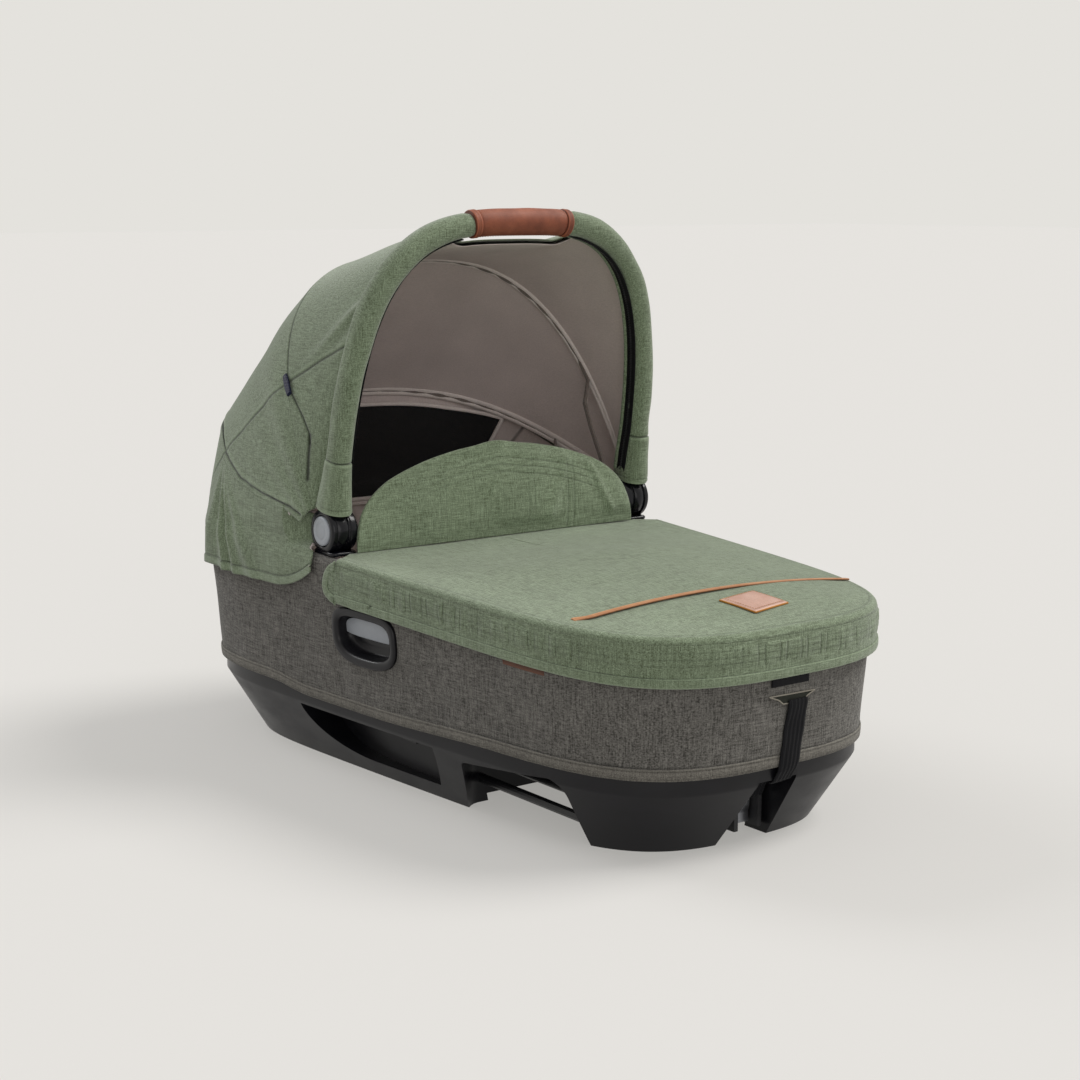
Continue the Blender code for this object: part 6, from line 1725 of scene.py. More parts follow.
def clear_of_drum(grid):
    """Shapes the cloth's front edge round the pivots."""
    away = grid[..., (0, 2)] - HUB_XZ
    reach = np.linalg.norm(away, axis=-1, keepdims=True)
    least = DRUM_RADIUS + 0.0012
    pushed = HUB_XZ + away * np.maximum(1.0, least / np.maximum(reach, 1e-6))
    near = (np.abs(grid[..., 1]) > 0.15)[..., None]
    result = grid.copy()
    result[..., (0, 2)] = np.where(near, pushed, grid[..., (0, 2)])
    side = np.abs(grid[..., 1])
    allowed = DRUM_OUTER_Y - 0.0060 + 0.5 * np.maximum(0.0, reach[..., 0] - least)
    above = ease(result[..., 2], RIM_HEIGHT + 0.0070, RIM_HEIGHT + 0.0170) * near[..., 0]
    side = side - above * np.maximum(0.0, side - allowed)
    result[..., 1] = np.sign(grid[..., 1]) * side
    return result


def skirt_rows(stations, offset, thickness):
    """Rows of the rear cloth from its hem over the rim to the lower rib."""
    x0, _ = outline(stations)
    share = np.clip((x0 - (SKIRT_START_X - 0.0750)) / 0.0750, 0, 1)
    hem_z = 0.2000 + 0.0240 * share**2
    rim_z = rim_at(x0)
    control = []
    for k in np.linspace(0, 1, 5):
        control.append(
            upright_point(stations, offset, hem_z + (rim_z - 2 * RIM_RADIUS - hem_z) * k)
        )
    control.append(upright_point(stations, offset * 0.45 + thickness * 0.4, rim_z - 0.0010))
    shoulder = upright_point(stations, thickness, rim_z + 0.0060)
    control.append(shoulder)
    extra = CANOPY_EXTRA
    lower = hoop(LOWER_LEAN, LOWER_HOOP, CANOPY_START_RISE, 1200, extra)[::-1]
    top = even(lower, len(stations))
    centre = np.array([HUB.x - 0.177, 0.0, HUB.z])
    flat = top - centre
    flat[:, 2] = 0.0
    out = unit(flat)
    rise = 0.0013 - thickness
    reach = hub_reach(top)
    sag, normal = seam_sag(reach, top[:, 1])
    top = top + sag[:, None] * np.array([normal[0], 0.0, normal[1]])
    over = ease(np.abs(top[:, 1]), 0.150, 0.190)[:, None]
    rim = top + out * (rise + 0.0012 * over) + np.array([0, 0, -0.0028]) * (1 - over)
    for k in (0.25, 0.5, 0.75):
        control.append(shoulder + (rim - shoulder) * k + out * (0.0010 * math.sin(math.pi * k)))
    control.append(rim)
    control = np.array(control)
    lengths = np.linalg.norm(np.diff(control, axis=0), axis=-1).mean(axis=1)
    travelled = np.concatenate([[0.0], np.cumsum(lengths)])
    rows = 96
    wanted = np.linspace(0, travelled[-1], rows)
    result = np.empty((rows, len(stations), 3))
    slopes = np.gradient(control, travelled, axis=0)
    for i, w in enumerate(wanted):
        j = min(len(travelled) - 2, int(np.searchsorted(travelled, w, side="right")) - 1)
        h = travelled[j + 1] - travelled[j]
        t = (w - travelled[j]) / h
        result[i] = (
            control[j] * (2 * t**3 - 3 * t**2 + 1)
            + slopes[j] * h * (t**3 - 2 * t**2 + t)
            + control[j + 1] * (3 * t**2 - 2 * t**3)
            + slopes[j + 1] * h * (t**3 - t**2)
        )
    return result, hem_z


FOLD_ROOT = (-0.300, 0.328)
SKIRT_FOLDS = (
    (-0.270, 0.0050, 0.0046), (-0.240, 0.0065, 0.0042), (-0.330, 0.0110, 0.0034),
    (-0.204, 0.0110, 0.0028),
)
SKIRT_VALLEYS = ((-0.255, 0.0045, 0.0018), (-0.297, 0.0080, 0.0022))


def make_skirt():
    """Rear cloth that hangs over the rim, in folds that fan out from the end of the side seam."""
    first = station_at(SKIRT_START_X)
    stations = np.linspace(first, STATIONS - first, 900)
    grid, hem_z = skirt_rows(stations, -0.0030, 0.0)
    grid = clear_of_drum(grid)
    normals = grid_normals(grid, HOOD_CENTRE)
    x, z = grid[..., 0], grid[..., 2]
    down = np.clip((FOLD_ROOT[1] - z) / (FOLD_ROOT[1] - 0.2), 0.0, 1.0)
    beside = np.abs(grid[..., 1]) > 0.10
    lift = np.zeros_like(x)
    for foot_x, width, height in SKIRT_FOLDS:
        ridge = FOLD_ROOT[0] + (foot_x - FOLD_ROOT[0]) * down
        lift += hump(x, ridge, 0.003 + width * down) * height * ease(down, 0.0, 0.7)
    for foot_x, width, depth in SKIRT_VALLEYS:
        valley = FOLD_ROOT[0] + (foot_x - FOLD_ROOT[0]) * down
        lift -= hump(x, valley, 0.002 + width * down) * depth * ease(down, 0.0, 0.6)
    lift = np.where(beside, lift, 0.0)
    around = np.broadcast_to(stations * GIRTH / STATIONS, x.shape)
    lift = lift + ripple(around / 0.045, z / 0.08, 61) * 0.0008 * ease(down, 0.0, 0.9)
    above = z - hem_z[None]
    band = hump(above, 0.0098, 0.0011)
    lift = np.maximum(lift, -0.0024) + (1 - ease(above, 0.0085, 0.0105)) * 0.0009 - band * 0.0008
    top_row = 1 - np.linspace(0, 1, grid.shape[0])[:, None] * np.ones_like(x)
    behind = 1 - ease(np.abs(grid[..., 1]), 0.180, 0.195)
    top_edge = hump(top_row, 0.0, 0.012) * (0.35 + 0.65 * behind)
    seam_and_shade = side_seam(grid, (S1_SEAM,))
    grid = grid + normals * (lift - top_edge * SEAM_DEPTH - seam_and_shade * SEAM_DEPTH)[..., None]
    # Painted shade, partly the seams: the line above the hem, the top edge under the lower rib and
    # the side seam; painted highlight on the rolled hem and beside the seams.
    marks = {
        "seam_and_shade": np.clip(band * 0.75 + hump(top_row, 0.0, 0.012) * 0.9 + seam_and_shade * 0.95, 0, 1),
        "highlight_and_wear": hump(above, 0.0042, 0.0040) * 0.35 + side_lips(grid, (S1_SEAM, S2_SEAM)),
    }
    skirt = sheet_from("hood_skirt_cloth", grid, green, HOOD_CENTRE, marks)
    thicken(skirt, lining_cloth)
    stand_for(skirt, "hood_skirt")
    declare_shaped(skirt, 1.40, 0.24, "hung", ["rim_frame", "hood_rib_lower"], grid, 0.336)
    make_window()


WINDOW_START_X = -0.1060


def make_window():
    """Black ventilation net inside the rear cloth, with piped borders."""
    first = station_at(WINDOW_START_X)
    stations = np.linspace(first, STATIONS - first, 560)
    rows, _ = skirt_rows(stations, -0.0005, 0.0026)
    upper = rows[40:]
    shares = np.linspace(0.10, 0.86, 34)
    low = np.linspace(0, 1, upper.shape[0])
    width = 280
    sheets = []
    for share in shares:
        j = min(upper.shape[0] - 2, int(np.searchsorted(low, share)) - 1)
        t = (share - low[j]) / (low[j + 1] - low[j])
        sheets.append(upper[j] * (1 - t) + upper[j + 1] * t)
    x0, _ = outline(stations)
    inside = [
        upright_point(stations, 0.0205, rim_at(x0) - 0.0150),
        upright_point(stations, 0.0202, rim_at(x0) - 0.0080),
        upright_point(stations, 0.0196, rim_at(x0) - 0.0010),
        upright_point(stations, 0.0165, rim_at(x0) + 0.0030),
        upright_point(stations, 0.0100, rim_at(x0) + 0.0060),
    ]
    toward = unit(np.array([[HUB.x, 0.0, 0.0]]) - sheets[0] * np.array([1.0, 0.5, 0.0]))
    full = np.array(inside + [s + toward * 0.0030 for s in sheets])
    level = np.linspace(0, 1, len(full))
    half = 0.205 + 0.042 * np.clip((level - 0.1) / 0.9, 0, 1)
    grid = np.empty((len(full), width, 3))
    for i, h in enumerate(half):
        columns = np.linspace(0.5 - h, 0.5 + h, width) * (len(stations) - 1)
        for k in range(3):
            grid[i, :, k] = np.interp(columns, np.arange(len(stations)), full[i, :, k])
    inward = unit(np.stack([HUB.x - grid[..., 0], -grid[..., 1] / 2, np.zeros(grid.shape[:2])], -1))
    creases = ripple(grid[..., 1] / 0.05 + grid[..., 2] / 0.05, grid[..., 2] / 0.16, 71)
    grid = grid + inward * (0.0006 + 0.0011 * creases * ease(level, 0.2, 0.4)[:, None])[..., None]
    mesh = sheet_from("vent_net", grid, black_net, HOOD_CENTRE)
    thicken(mesh)
    stand_for(mesh, "window_mesh")
    declare_shaped(mesh, 0.66, 0.14, "stretched", ["hood_skirt_cloth"], grid, 0.0924)
    raised = grid + inward * 0.0022
    border = np.concatenate([raised[0], raised[1:, -1], raised[-1, -2::-1], raised[-2:0:-1, 0]])
    border = even(np.vstack([border, border[:1]]), 320)[:-1]
    cords = [tube("cord", border, 0.0026, piping_cloth, 10, closed=True)]
    cords.append(
        tube("cord", even(raised[0] - np.array([0, 0, 0.0054]), 160), 0.0026, piping_cloth, 10)
    )
    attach(gather("vent_piping", cords, piping_cloth), "cot")


TAG_ENDS = ((-0.1715, 0.4290), (-0.1500, 0.4070))
TAG_HALF = 0.0130


def make_hood_trims():
    """The folded navy tag where the side seam crosses the upper rib."""
    start, end = np.array(TAG_ENDS)
    axis = unit(end - start)
    along = np.array([axis[0], 0.0, axis[1]])
    rings = []
    for v in np.linspace(-TAG_HALF, TAG_HALF, 30):
        at = (start + end) / 2 + axis * v
        rise = math.hypot(at[0] - HUB.x, at[1] - HUB.z)
        fine, _ = hoop_line(UPPER_HOOP, 0.02, PANEL_EXTRA)
        half = len(fine) // 2
        y = float(np.interp(rise, fine[:half, 0], fine[:half, 1]))
        out = unit(np.array([-0.12, -1.0, 0.45]))
        across = unit(np.cross(along, out))
        centre = np.array([at[0], y, at[1]]) + out * 0.0026
        pinch = 1 - 0.18 * abs(v / TAG_HALF) ** 3
        angles = np.linspace(0, TAU, 28, endpoint=False)
        c, s = signed_power(np.cos(angles), 0.6), signed_power(np.sin(angles), 0.8)
        rings.append(centre + np.outer(0.0044 * pinch * c, across) + np.outer(0.0017 * s, out))
    tag = solid_from("woven_tag", rings, navy)
    stand_for(tag, "hood_tag")


# Boot cover


def crown_at(x, y):
    run = ease((x - APRON_START_X) / (HALF_LENGTH / 2), 0.0, 1.0)
    width = np.maximum(SEAT_GAP, body_half_width(np.minimum(x, HALF_LENGTH - SEAT_GAP), RIM_HEIGHT))
    side = np.maximum(0.0, 1.0 - (y / width) ** 2)
    end = np.maximum(0.0, 1.0 - (np.maximum(0.0, x) / HALF_LENGTH) ** 6)
    return APRON_CROWN * run * side * end


def apron_top(x, y):
    return rim_at(x) + SEAT_GAP + BAND_THICKNESS + crown_at(x, y)


def band_drop(x):
    ahead = np.clip((x - BAND_START_X) / 0.0280, 0.0, 1.0)
    return BAND_HEIGHT * (0.35 + 0.65 * round_edge(ahead))


BAND_OUT = FACE_GAP + BAND_THICKNESS
BAND_CORNER = (
    (-0.0615, 0.2110), (-0.0590, 0.2190), (-0.0530, 0.2280), (-0.0440, 0.2360), (-0.0340, 0.2420),
)
BORDER_CORNER = (
    (-0.0340, 0.2422), (-0.0430, 0.2405), (-0.0545, 0.2345), (-0.0630, 0.2235), (-0.0652, 0.2120),
    (-0.0610, 0.2030), (-0.0500, 0.1965), (-0.0350, 0.1935),
)


def make_boot_cover():
    """The top panel over the legs, its quilted side band, and the folded border."""
    first = station_at(-0.0350)
    columns = 760
    stations = np.linspace(-first, first, columns)
    x, y = outline(stations, -BAND_OUT + 0.0006)
    spine_x = HALF_LENGTH * APRON_SPINE_SHARE
    depths = np.concatenate([np.linspace(0, 0.012, 13), np.linspace(0.015, 0.034, 8)])
    length = np.hypot(np.minimum(x, spine_x) - x, y)
    rows, seam_and_shade_rows = [], []
    steps = list(depths) + [None] * 60
    for i, depth in enumerate(steps):
        if depth is not None:
            share = depth / length
        else:
            inner = (i - len(depths) + 1) / 60
            share = depths[-1] / length + (1 - depths[-1] / length) * inner
        px = x + (np.minimum(x, spine_x) - x) * share
        py = y * (1 - share)
        back = 1 - ease(np.abs(py), 0.186, 0.2215)
        px = px - 0.0205 * back * (1 - ease(px, -0.035, 0.070))
        away = share * length
        drop = EDGE_ROUND * (1 - round_edge(away / EDGE_ROUND))
        slack = (
            ripple(px / 0.11, py / 0.08, 83) * 0.0011 + ripple(px / 0.035, py / 0.05, 85) * 0.00028
        )
        seam_line = hump(away, 0.0085, 0.0009) * 0.5
        z = apron_top(px, py) - drop + slack * ease(away, 0.010, 0.05) - seam_line * 0.0006
        rows.append(np.stack([px, py, z], -1))
        # Painted shade, partly the seam: a dark line just inside the top's rounded edge.
        seam_and_shade_rows.append(seam_line * 0.8)
    top = sheet_from(
        "boot_cover_top", np.array(rows), green, (0.15, 0, 0.0), {"seam_and_shade": np.array(seam_and_shade_rows)},
    )
    edit(top, weld(0.00002))
    thicken(top, lining_cloth)
    stand_for(top, "apron_cover")
    declare_cloth(top, 0.50, 0.46, "stretched", ["rim_frame"])
    make_band()


def band_limits(x):
    """Lowest and highest edge of the side band, which is rounded at its rear end."""
    high = rim_at(x) + SEAT_GAP + BAND_THICKNESS - EDGE_ROUND
    low = rim_at(x) + SEAT_GAP - band_drop(x)
    curve_x = [p[0] for p in BAND_CORNER]
    curve_z = [p[1] for p in BAND_CORNER]
    corner = np.interp(x, curve_x, curve_z)
    return low, np.where(x < curve_x[-1], np.minimum(high, corner), high)


STITCH_PITCH = 0.0265


def make_band():
    """Side band: gathered on crossed sewing lines, bordered below and at its rear corners."""
    first = station_at(BAND_CORNER[0][0])
    columns, rows_count = 1700, 50
    stations = np.linspace(-first, first, columns)
    x, _ = outline(stations)
    low_z, fold_z = band_limits(x)
    fold_z = np.maximum(fold_z, low_z + 0.002)
    shares = np.linspace(0.0, 1.0, rows_count)
    around = stations * GIRTH / STATIONS
    s = np.broadcast_to(around, (rows_count, columns))
    up = shares[:, None] * (fold_z - low_z)[None]
    z = low_z[None] + up
    wander = ripple(s / 0.2, up / 0.05, 91) * 0.0008
    phase = np.mod(s + wander, STITCH_PITCH)
    pair = hump(phase, 0.0060, 0.0009) + hump(phase, 0.0140, 0.0009)
    patchy = 0.60 + 0.35 * ripple(s / 0.05, up / 0.02, 93)
    level = hump(up, 0.0165, 0.0008) + hump(up, 0.0225, 0.0008) + hump(up, 0.0290, 0.0008) * 0.7
    inside = ease(up, 0.010, 0.013) * (1 - ease(z - fold_z[None], -0.0060, -0.0020))
    lines = np.clip(pair * np.clip(patchy, 0.2, 1.0) + level * 0.6, 0, 1) * inside
    crinkle = (
        ripple(s / 0.0036, up / 0.014, 95) * 0.00020 + ripple(s / 0.012, up / 0.012, 97) * 0.00040
    )
    puff = np.sin(math.pi * np.clip((up - 0.011) / 0.026, 0, 1)) * 0.0010
    out = BAND_OUT - 0.0006 + (crinkle * inside + puff * inside - lines * 0.00060)
    px, py = outline(s / GIRTH * STATIONS, -out)
    grid = np.stack([px, py, z], -1)
    # Painted shade, partly the stitching: the crossed and level sewing lines are darkened.
    band = sheet_from("boot_cover_band", grid, green, (0.15, 0, 0.2), {"seam_and_shade": lines * 0.40})
    thicken(band, lining_cloth)
    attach(band, "cot")
    declare_cloth(band, 1.58, 0.038, "stretched", ["rim_frame", "boot_cover_top"])
    make_border()


BORDER_WIDTH = 0.0105


def make_border():
    """The folded border along the band's lower edge and round its rear corners."""
    girth_share = GIRTH / STATIONS
    corner = smooth_through([(p[0], p[1]) for p in BORDER_CORNER], 80)
    sides_s = np.array([station_at(float(cx)) * girth_share for cx, _ in corner])
    path = [(-s, z) for s, (_, z) in zip(sides_s, corner)]
    first_s = -sides_s[-1]
    middle = np.linspace(first_s, -first_s, 700)[1:-1]
    mx, _ = outline(middle / girth_share)
    path += [(s, rim_at(xv) + SEAT_GAP - band_drop(xv) - 0.0046) for s, xv in zip(middle, mx)]
    path += [(s, z) for s, (_, z) in zip(sides_s[::-1], corner[::-1])]
    line = even(np.array(path), 1100)
    tangent = unit(np.gradient(line, axis=0))
    inward = np.stack([-tangent[:, 1], tangent[:, 0]], 1)
    if inward[550, 1] < 0:
        inward = -inward
    rows, seam_and_shade_rows, highlight_and_wear = [], [], []
    for share in np.linspace(0.0, 1.0, 19):
        where = line + inward * (BORDER_WIDTH * share)
        groove = hump(share, 0.95, 0.05) * 0.0010 + hump(share, 0.16, 0.05) * 0.0002
        proud = 0.0014 * max(0.0, 1 - abs(2 * share - 1) ** 4) ** 0.5 + BAND_OUT - 0.0004 - groove
        pucker = ripple(np.arange(len(line)) * 0.55, np.zeros(len(line)), 99) * 0.00008
        x, y = outline(where[:, 0] / girth_share, -(proud + pucker))
        rows.append(np.stack([x, y, where[:, 1]], 1))
        # Painted shade, partly the seams: dark lines at the inner edge and along a sewn line.
        seam_and_shade_rows.append(
            np.full(len(line), hump(share, 0.97, 0.045) * 1.1 + hump(share, 0.78, 0.03) * 0.3)
        )
        # Painted highlight on the rounded folded edges, and a little lighter all over.
        highlight_and_wear.append(
            np.full(len(line), hump(share, 0.04, 0.10) * 0.7 + hump(share, 0.86, 0.05) * 0.3 + 0.12)
        )
    marks = {"seam_and_shade": np.array(seam_and_shade_rows), "highlight_and_wear": np.array(highlight_and_wear)}
    border = sheet_from("boot_cover_border", np.array(rows), green, (0.15, 0, 0.2), marks)
    thicken(border)
    stand_for(border, "apron_binding")
    declare_cloth(border, 1.65, 0.0135, "stretched", ["boot_cover_band"])


FLAP_POSTS = (
    (-0.082, 0.5), (-0.074, 0.5), (-0.044, 0.35), (-0.036, 0.35), (0.094, 1.0), (0.103, 1.0),
    (0.036, 0.5), (0.044, 0.5),
)
FLAP_OUTLINE = (
    (0.0, 0.1078), (0.030, 0.1036), (0.060, 0.0995), (0.100, 0.0905), (0.140, 0.0765),
    (0.163, 0.0625), (0.177, 0.0480), (0.1845, 0.0330), (0.1885, 0.0160), (0.1895, 0.0060),
)


def make_flap():
    """The padded wind flap: a low peak, sewn arcs near its top and crossed sewing lines."""
    fore = fore_of(FLAP_LEAN)
    up = np.array([-fore[2], 0.0, fore[0]])
    foot = np.array([FLAP_X, 0.0, FLAP_FOOT_HEIGHT])
    columns = 420
    ends = smooth_through(
        [(-p[0], p[1]) for p in FLAP_OUTLINE[::-1]] + [p for p in FLAP_OUTLINE[1:]], columns,
    )
    y, top = ends[:, 0], ends[:, 1]
    levels = np.concatenate([np.linspace(0, 0.96, 110), [0.975, 0.985, 0.993, 0.998, 1.0]])
    height = levels[:, None] * top[None]
    side = np.broadcast_to(y, height.shape)
    from_top = top[None] - height
    across = np.linspace(0.04, math.pi - 0.04, columns)
    bulge = 0.0052 * np.sin(math.pi * levels)[:, None] * np.sin(across)[None]
    body = 0.0008 + 0.0040 * np.clip(height / 0.020, 0, 1)
    rim = round_edge(from_top / 0.0045)
    reach = 0.35 + 0.65 * ease(side, -0.100, 0.020) * (1 - ease(side, 0.130, 0.155))
    arcs = sum(hump(from_top, d, 0.0008) for d in (0.0190, 0.0270, 0.0350)) * reach
    arcs = arcs * (1 - ease(np.abs(side), 0.120, 0.150))
    posts = sum(hump(side, c, 0.0008) * w for c, w in FLAP_POSTS)
    lines = np.clip(arcs * 0.75 + posts * ease(from_top, 0.010, 0.016) * 0.7, 0, 1)
    creases = (
        ripple(side / 0.020, height / 0.040, 101) * 0.00060
        + ripple(side / 0.06, height / 0.05, 103) * 0.0014
    )
    pull = (
        hump(side + height * 0.5, 0.165, 0.006) * 0.0022
        + hump(side - height * 0.4, 0.060, 0.008) * 0.0016
    )
    creases = (creases + pull) * ease(height, 0.006, 0.02) * ease(from_top, 0.002, 0.012)
    faces = []
    for sign in (1, -1):
        depth = sign * (body / 2 * rim + (creases * sign - lines * 0.0007)) + bulge
        if sign < 0:
            depth = np.minimum(depth, 0.0)
        faces.append(
            foot + np.outer(y, (0, 1, 0))[None] + height[..., None] * up + depth[..., None] * fore
        )
    loops = np.concatenate([faces[0], faces[1][::-1]], axis=0)
    marks = np.concatenate([lines, lines[::-1]], axis=0)
    # Painted shade, partly the stitching, along the sewn arcs and lines.
    flap = make_object(
        "wind_flap_pad", loops.reshape(-1, 3), grid_faces(*loops.shape[:2], close_rows=True), green,
        {"seam_and_shade": np.clip(marks * 0.5, 0, 1)},
    )
    edit(
        flap, weld(0.00003), lambda bm: bmesh.ops.holes_fill(bm, edges=bm.edges, sides=400),
        outwards,
    )
    stand_for(flap, "wind_flap")


def badge_place(u, v):
    """Places of the badge on the cover, where it sits slightly turned."""
    turn = math.radians(11.0)
    return (
        0.3580 + u * math.cos(turn) - v * math.sin(turn), 0.0065 + u * math.sin(turn)
        + v * math.cos(turn)
    )


STRIP_X = 0.3090
STRIP_WIDTH = 0.0098
BADGE_HALF = (0.0215, 0.0265)
BADGE_STITCH = 0.0032


def make_cover_trims():
    """The tan strip, folded under at its near end, and the plain stitched leather badge."""
    x0, width = STRIP_X, STRIP_WIDTH
    reach = float(body_half_width(x0, RIM_HEIGHT)) + 0.0005
    near, far = -reach + 0.0150, reach - 0.0060
    ys = np.linspace(near, far, 320)
    across = np.linspace(-1, 1, 13)
    bend = ease(near + 0.016 - ys, 0.0, 0.016)
    gx = x0 + across[:, None] * width / 2 * (1 - 0.35 * bend)[None] - (0.0060 * bend)[None]
    gy = np.broadcast_to(ys, gx.shape)
    tilt = 0.0008 * across[:, None] * (1 - 2 * bend)[None]
    z = (
        apron_top(gx, gy) + 0.0010 + 0.0012 * (1 - np.abs(across[:, None]) ** 6) ** 0.5 + tilt
        - 0.0012 * bend[None]
    )
    # Painted highlight along one side of the strip; painted shade, partly the stitching, along its
    # other edge and at the fold near its near end.
    highlight_and_wear = np.broadcast_to(hump(across[:, None], -0.7, 0.35), gx.shape) * 0.7
    seam_and_shade = (
        hump(ys, near + 0.0150, 0.0010)[None] * 0.6
        + np.broadcast_to(hump(across[:, None], 1.0, 0.16), gx.shape)
    )
    strip = sheet_from(
        "tan_strip", np.stack([gx, gy, z], -1), tan, (0.2, 0, 0), {"highlight_and_wear": highlight_and_wear, "seam_and_shade": seam_and_shade},
    )
    thicken(strip)
    stand_for(strip, "apron_trim")
    declare_cloth(
        strip, 1.5 * width, 2 * reach, "folded", ["boot_cover_top"],
    )
    half_x, half_y = BADGE_HALF
    u, v = np.linspace(-1, 1, 60), np.linspace(-1, 1, 76)
    gu, gv = np.meshgrid(u, v, indexing="ij")
    bx, by = badge_place(gu * half_x, gv * half_y)
    gap = np.minimum((1 - np.abs(gu)) * half_x, (1 - np.abs(gv)) * half_y)
    soft = np.clip(gap / 0.0012, 0, 1) ** 0.5
    z = (
        apron_top(bx, by) + 0.0008 + 0.0016 * (0.25 + 0.75 * soft)
        + 0.0012 * (1 - gu**2) * (1 - gv**2)
    )
    # Painted shade, partly the stitch line, along the stitching; the badge's very edge is lighter.
    marks = {"seam_and_shade": hump(gap, BADGE_STITCH, 0.0006) * 0.5, "highlight_and_wear": hump(gap, 0.0, 0.0010)}
    patch = sheet_from("plain_badge", np.stack([bx, by, z], -1), pale_leather, (0.2, 0, 0), marks)
    thicken(patch)
    stand_for(patch, "apron_badge")
    declare_cloth(patch, 2 * half_x, 2 * half_y, "laid", ["boot_cover_top"])
    square = np.array([(-1, -1), (1, -1), (1, 1), (-1, 1), (-1, -1)], float)
    edge = even(square * (half_x, half_y), 160)
    ex, ey = badge_place(edge[:, 0], edge[:, 1])
    rim = tube(
        "edge", np.stack([ex, ey, apron_top(ex, ey) + 0.0012], 1)[:-1], 0.0009, gold_thread, 8,
        closed=True,
    )
    inner = even(square * (half_x - BADGE_STITCH, half_y - BADGE_STITCH), 200)
    ix, iy = badge_place(inner[:, 0], inner[:, 1])
    lift = 0.0028 + 0.0003 * np.ones(len(ix))
    ups = np.tile((0.0, 0.0, 1.0), (len(ix), 1))
    thread = stitches(
        "thread", np.stack([ix, iy, apron_top(ix, iy) + lift], 1), ups, 0.0030, 0.0022, 0.0005,
        gold_thread,
    )
    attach(gather("badge_edging", [rim, thread], gold_thread), "cot")


# Leather tab and foot end fittings


def make_side_tab():
    first = -station_at(0.2270)
    last = -station_at(0.2830)
    stations = np.linspace(first, last, 70)
    x, _ = outline(stations)
    rows = []
    for share in np.linspace(0, 1, 12):
        z = rim_at(x) - 0.0430 - 0.0082 * share
        rows.append(
            body_point(
                stations, -0.0004 - 0.0012 * math.sin(math.pi * min(1, 0.15 + share)) - 0.0004, z,
            )
        )
    grid = np.array(rows)
    # Lighter towards the tab's lower edge.
    highlight_and_wear = hump(np.linspace(0, 1, 12), 0.9, 0.15)[:, None] * np.ones(70) * 0.6
    tab = sheet_from("leather_tab", grid, tab_leather, INSIDE, {"highlight_and_wear": highlight_and_wear})
    thicken(tab)
    stand_for(tab, "side_label")
    declare_cloth(tab, 0.056, 0.0105, "laid", ["body_cover"])


def foot_x(z, out):
    return (
        HALF_LENGTH - COVER_LEAN * np.maximum(0.0, RIM_HEIGHT - z) / (RIM_HEIGHT - HEM_HEIGHT) + out
    )


SLOT_CORNERS = ((-0.0265, 0.1565), (0.0335, 0.1555), (0.0200, 0.1465), (-0.0075, 0.1470))
STRAP_HALF = 0.0130


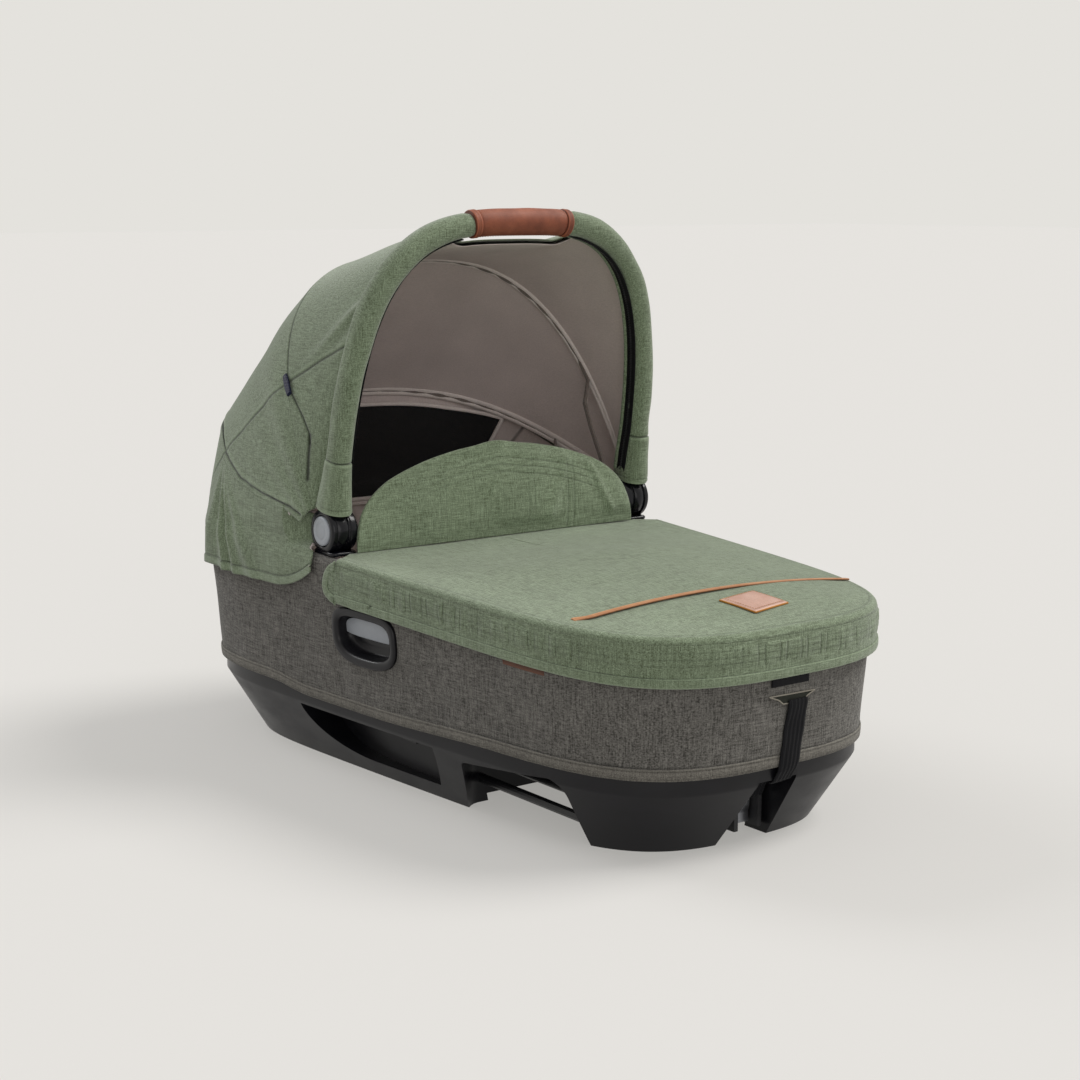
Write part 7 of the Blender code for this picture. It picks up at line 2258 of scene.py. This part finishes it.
def make_foot_end():
    """The strap, its pale-edged slot and the fastener below the boot cover's edge."""
    corners = list(SLOT_CORNERS)
    sides = [
        ((a[0] + b[0]) / 2, (a[1] + b[1]) / 2)
        for a, b in zip(corners, corners[1:] + corners[:1])
    ]
    centre = np.mean(corners, axis=0)
    outline_points = []
    for corner, middle, pull in zip(corners, sides, (0.05, 0.30, 0.05, 0.30)):
        outline_points += [corner, tuple(np.array(middle) + (centre - middle) * pull * 0.5)]
    outline_points.append(corners[0])
    shape = even(np.array(outline_points, float), 121)[:-1]
    rings = []
    for inset, out in ((0.0, 0.0003), (0.0, 0.0010), (0.0012, 0.0011)):
        ring = shape + unit(centre - shape) * inset
        rings.append(np.stack([foot_x(ring[:, 1], out), ring[:, 0], ring[:, 1]], 1))
    patch = solid_from("strap_slot", rings, slot_dark)
    stand_for(patch, "strap_slot_patch")
    edge = np.stack([foot_x(shape[:, 1], 0.0012), shape[:, 0], shape[:, 1]], 1)
    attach(tube("strap_slot_edging", edge, 0.0007, slot_edge, 8, closed=True), "cot")
    out = 0.0018
    path = [
        (foot_x(0.1500, out), 0.1500), (foot_x(0.1450, out + 0.0010), 0.1450),
        (foot_x(0.120, out + 0.0016), 0.120),
        (foot_x(0.100, 0.0034), 0.1000), (foot_x(0.084, 0.0036), 0.0840), (0.4110, 0.0745),
        (0.4045, 0.0667), (0.3850, 0.0650), (0.3720, 0.0560), (0.3660, 0.0420),
    ]
    line = smooth_through(path, 160)
    tangent = unit(np.gradient(line, axis=0))
    normal = np.stack([-tangent[:, 1], tangent[:, 0]], 1)
    if normal[0, 0] < 0:
        normal = -normal
    middle = np.interp(line[:, 1], [0.060, 0.0735, 0.1450], [0.0020, 0.0025, 0.0110])
    widths = np.linspace(-1, 1, 41)
    grid = np.empty((len(line), len(widths), 3))
    for j, w in enumerate(widths):
        thick = 0.0004 * (1 - abs(w) ** 8) + 0.00030 * math.cos(w * math.pi * 5)
        thick = thick + 0.0006 * ripple(line[:, 1] / 0.012, np.full(len(line), w * 0.8), 201)
        grid[:, j, 0] = line[:, 0] + normal[:, 0] * thick
        grid[:, j, 2] = line[:, 1] + normal[:, 1] * thick
        grid[:, j, 1] = STRAP_HALF * w + middle
    strap = sheet_from("strap_webbing", grid, black_web, (0.30, 0, 0.12))
    thicken(strap)
    stand_for(strap, "release_strap")
    declare_cloth(strap, 0.026, 0.135, "hung", ["body_cover"])
    lowest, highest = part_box("apron_fastener")
    zs = np.linspace(highest.z + 0.002, lowest.z, 16)
    ys = np.linspace(lowest.y, highest.y, 50)
    gz, gy = np.meshgrid(zs, ys, indexing="ij")
    across = 2 * (gy - lowest.y) / (highest.y - lowest.y) - 1
    rounded = np.clip(1 - np.abs(across) ** 30, 0, 1) ** 0.5
    grid = np.stack([foot_x(gz, 0.0010 + 0.0012 * rounded), gy, gz], -1)
    tab = sheet_from("fastener_tab", grid, black_web, (0.30, 0, 0.12))
    thicken(tab)
    stand_for(tab, "apron_fastener")
    declare_cloth(tab, highest.y - lowest.y, highest.z - lowest.z, "laid", ["body_cover"])


# Light, floor and camera

BACKDROP = colour(228, 226, 221)
WORLD_LEVEL = 0.38
FLOOR_GLOW = 0.430
FLOOR_HALF = 30.0
LAMPS = (
    ("key", 160.0, 50.0, 2.05, 30.0, (1.0, 0.99, 0.96)),
    ("mouth", 70.0, 9.0, 0.55, 45.0, (1.0, 0.99, 0.98)),
    ("rim", 285.0, 36.0, 0.95, 26.0, (0.98, 0.99, 1.0)),
)


def shown_rays(tree):
    """1 for rays from the camera and for those mirrored or let through by a surface."""
    paths = node(tree, "LightPath")
    some = maths(
        tree, "MAXIMUM", paths.outputs["Is Camera Ray"], paths.outputs["Is Transmission Ray"],
    )
    return maths(tree, "MAXIMUM", some, paths.outputs["Is Glossy Ray"])


def make_stage():
    world = bpy.data.worlds.new("soft_studio")
    bpy.context.scene.world = world
    world.use_nodes = True
    tree = world.node_tree
    background = tree.nodes["Background"]
    background.inputs["Color"].default_value = (1.0, 0.995, 0.985, 1.0)
    background.inputs["Strength"].default_value = WORLD_LEVEL
    seen = node(tree, "Background", {"Color": BACKDROP, "Strength": 1.0})
    mix = node(
        tree, "MixShader", {0: shown_rays(tree), 1: background.outputs[0], 2: seen.outputs[0]},
    )
    tree.links.new(mix.outputs[0], tree.nodes["World Output"].inputs["Surface"])
    mesh = bpy.data.meshes.new("floor")
    size = FLOOR_HALF
    mesh.from_pydata(
        [(-size, -size, 0), (size, -size, 0), (size, size, 0), (-size, size, 0)], [],
        [[0, 1, 2, 3]],
    )
    floor = add_to_scene("floor", mesh)
    material = bpy.data.materials.new("pale_floor")
    material.use_nodes = True
    tree = material.node_tree
    tree.nodes.clear()
    out = node(tree, "OutputMaterial")
    diffuse = node(tree, "BsdfDiffuse", {"Color": (0.42, 0.41, 0.40, 1.0)})
    glow = node(tree, "Emission", {"Color": BACKDROP, "Strength": FLOOR_GLOW})
    black = node(tree, "Emission", {"Strength": 0.0})
    shown = node(tree, "MixShader", {0: shown_rays(tree), 1: black.outputs[0], 2: glow.outputs[0]})
    both = node(tree, "AddShader", {0: diffuse.outputs[0], 1: shown.outputs[0]})
    tree.links.new(both.outputs[0], out.inputs["Surface"])
    mesh.materials.append(material)


def direction(azimuth, elevation):
    """Towards a camera or lamp, from degrees; azimuth 0 looks from the near side."""
    a, e = math.radians(azimuth), math.radians(elevation)
    return Vector((math.sin(a) * math.cos(e), -math.cos(a) * math.cos(e), math.sin(e)))


def add_sun(name, azimuth, elevation, strength, softness, tint):
    lamp = bpy.data.lights.new(name, "SUN")
    lamp.energy = strength
    lamp.angle = math.radians(softness)
    lamp.color = tint
    toward = direction(azimuth, elevation)
    add_to_scene(name, lamp).rotation_euler = toward.to_track_quat("Z", "Y").to_euler()


def make_lights():
    for lamp in LAMPS:
        add_sun(*lamp)


CAMERA_AZIMUTH = 53.278
CAMERA_ELEVATION = 9.799
CAMERA_DISTANCE = 2.2015
CAMERA_TARGET = Vector((0.0194, 0.0, 0.2497))
CAMERA_LENS = 66.66


def make_camera():
    camera = bpy.data.cameras.new("photo_camera")
    camera.lens = CAMERA_LENS
    camera.sensor_width = 36.0
    obj = add_to_scene("photo_camera", camera)
    back = direction(CAMERA_AZIMUTH, CAMERA_ELEVATION)
    obj.location = CAMERA_TARGET + back * CAMERA_DISTANCE
    obj.rotation_euler = back.to_track_quat("Z", "Y").to_euler()
    bpy.context.scene.camera = obj
    bpy.context.scene.view_settings.view_transform = "Standard"


make_camera()
make_stage()
make_lights()
finish_cad_nodes()
make_base()
make_cover()
make_lining()
make_mattress()
make_fittings()
make_bow()
make_middle_panel()
make_front_panel()
make_skirt()
make_rib_pipings()
make_hood_trims()
make_boot_cover()
make_flap()
make_cover_trims()
make_side_tab()
make_foot_end()
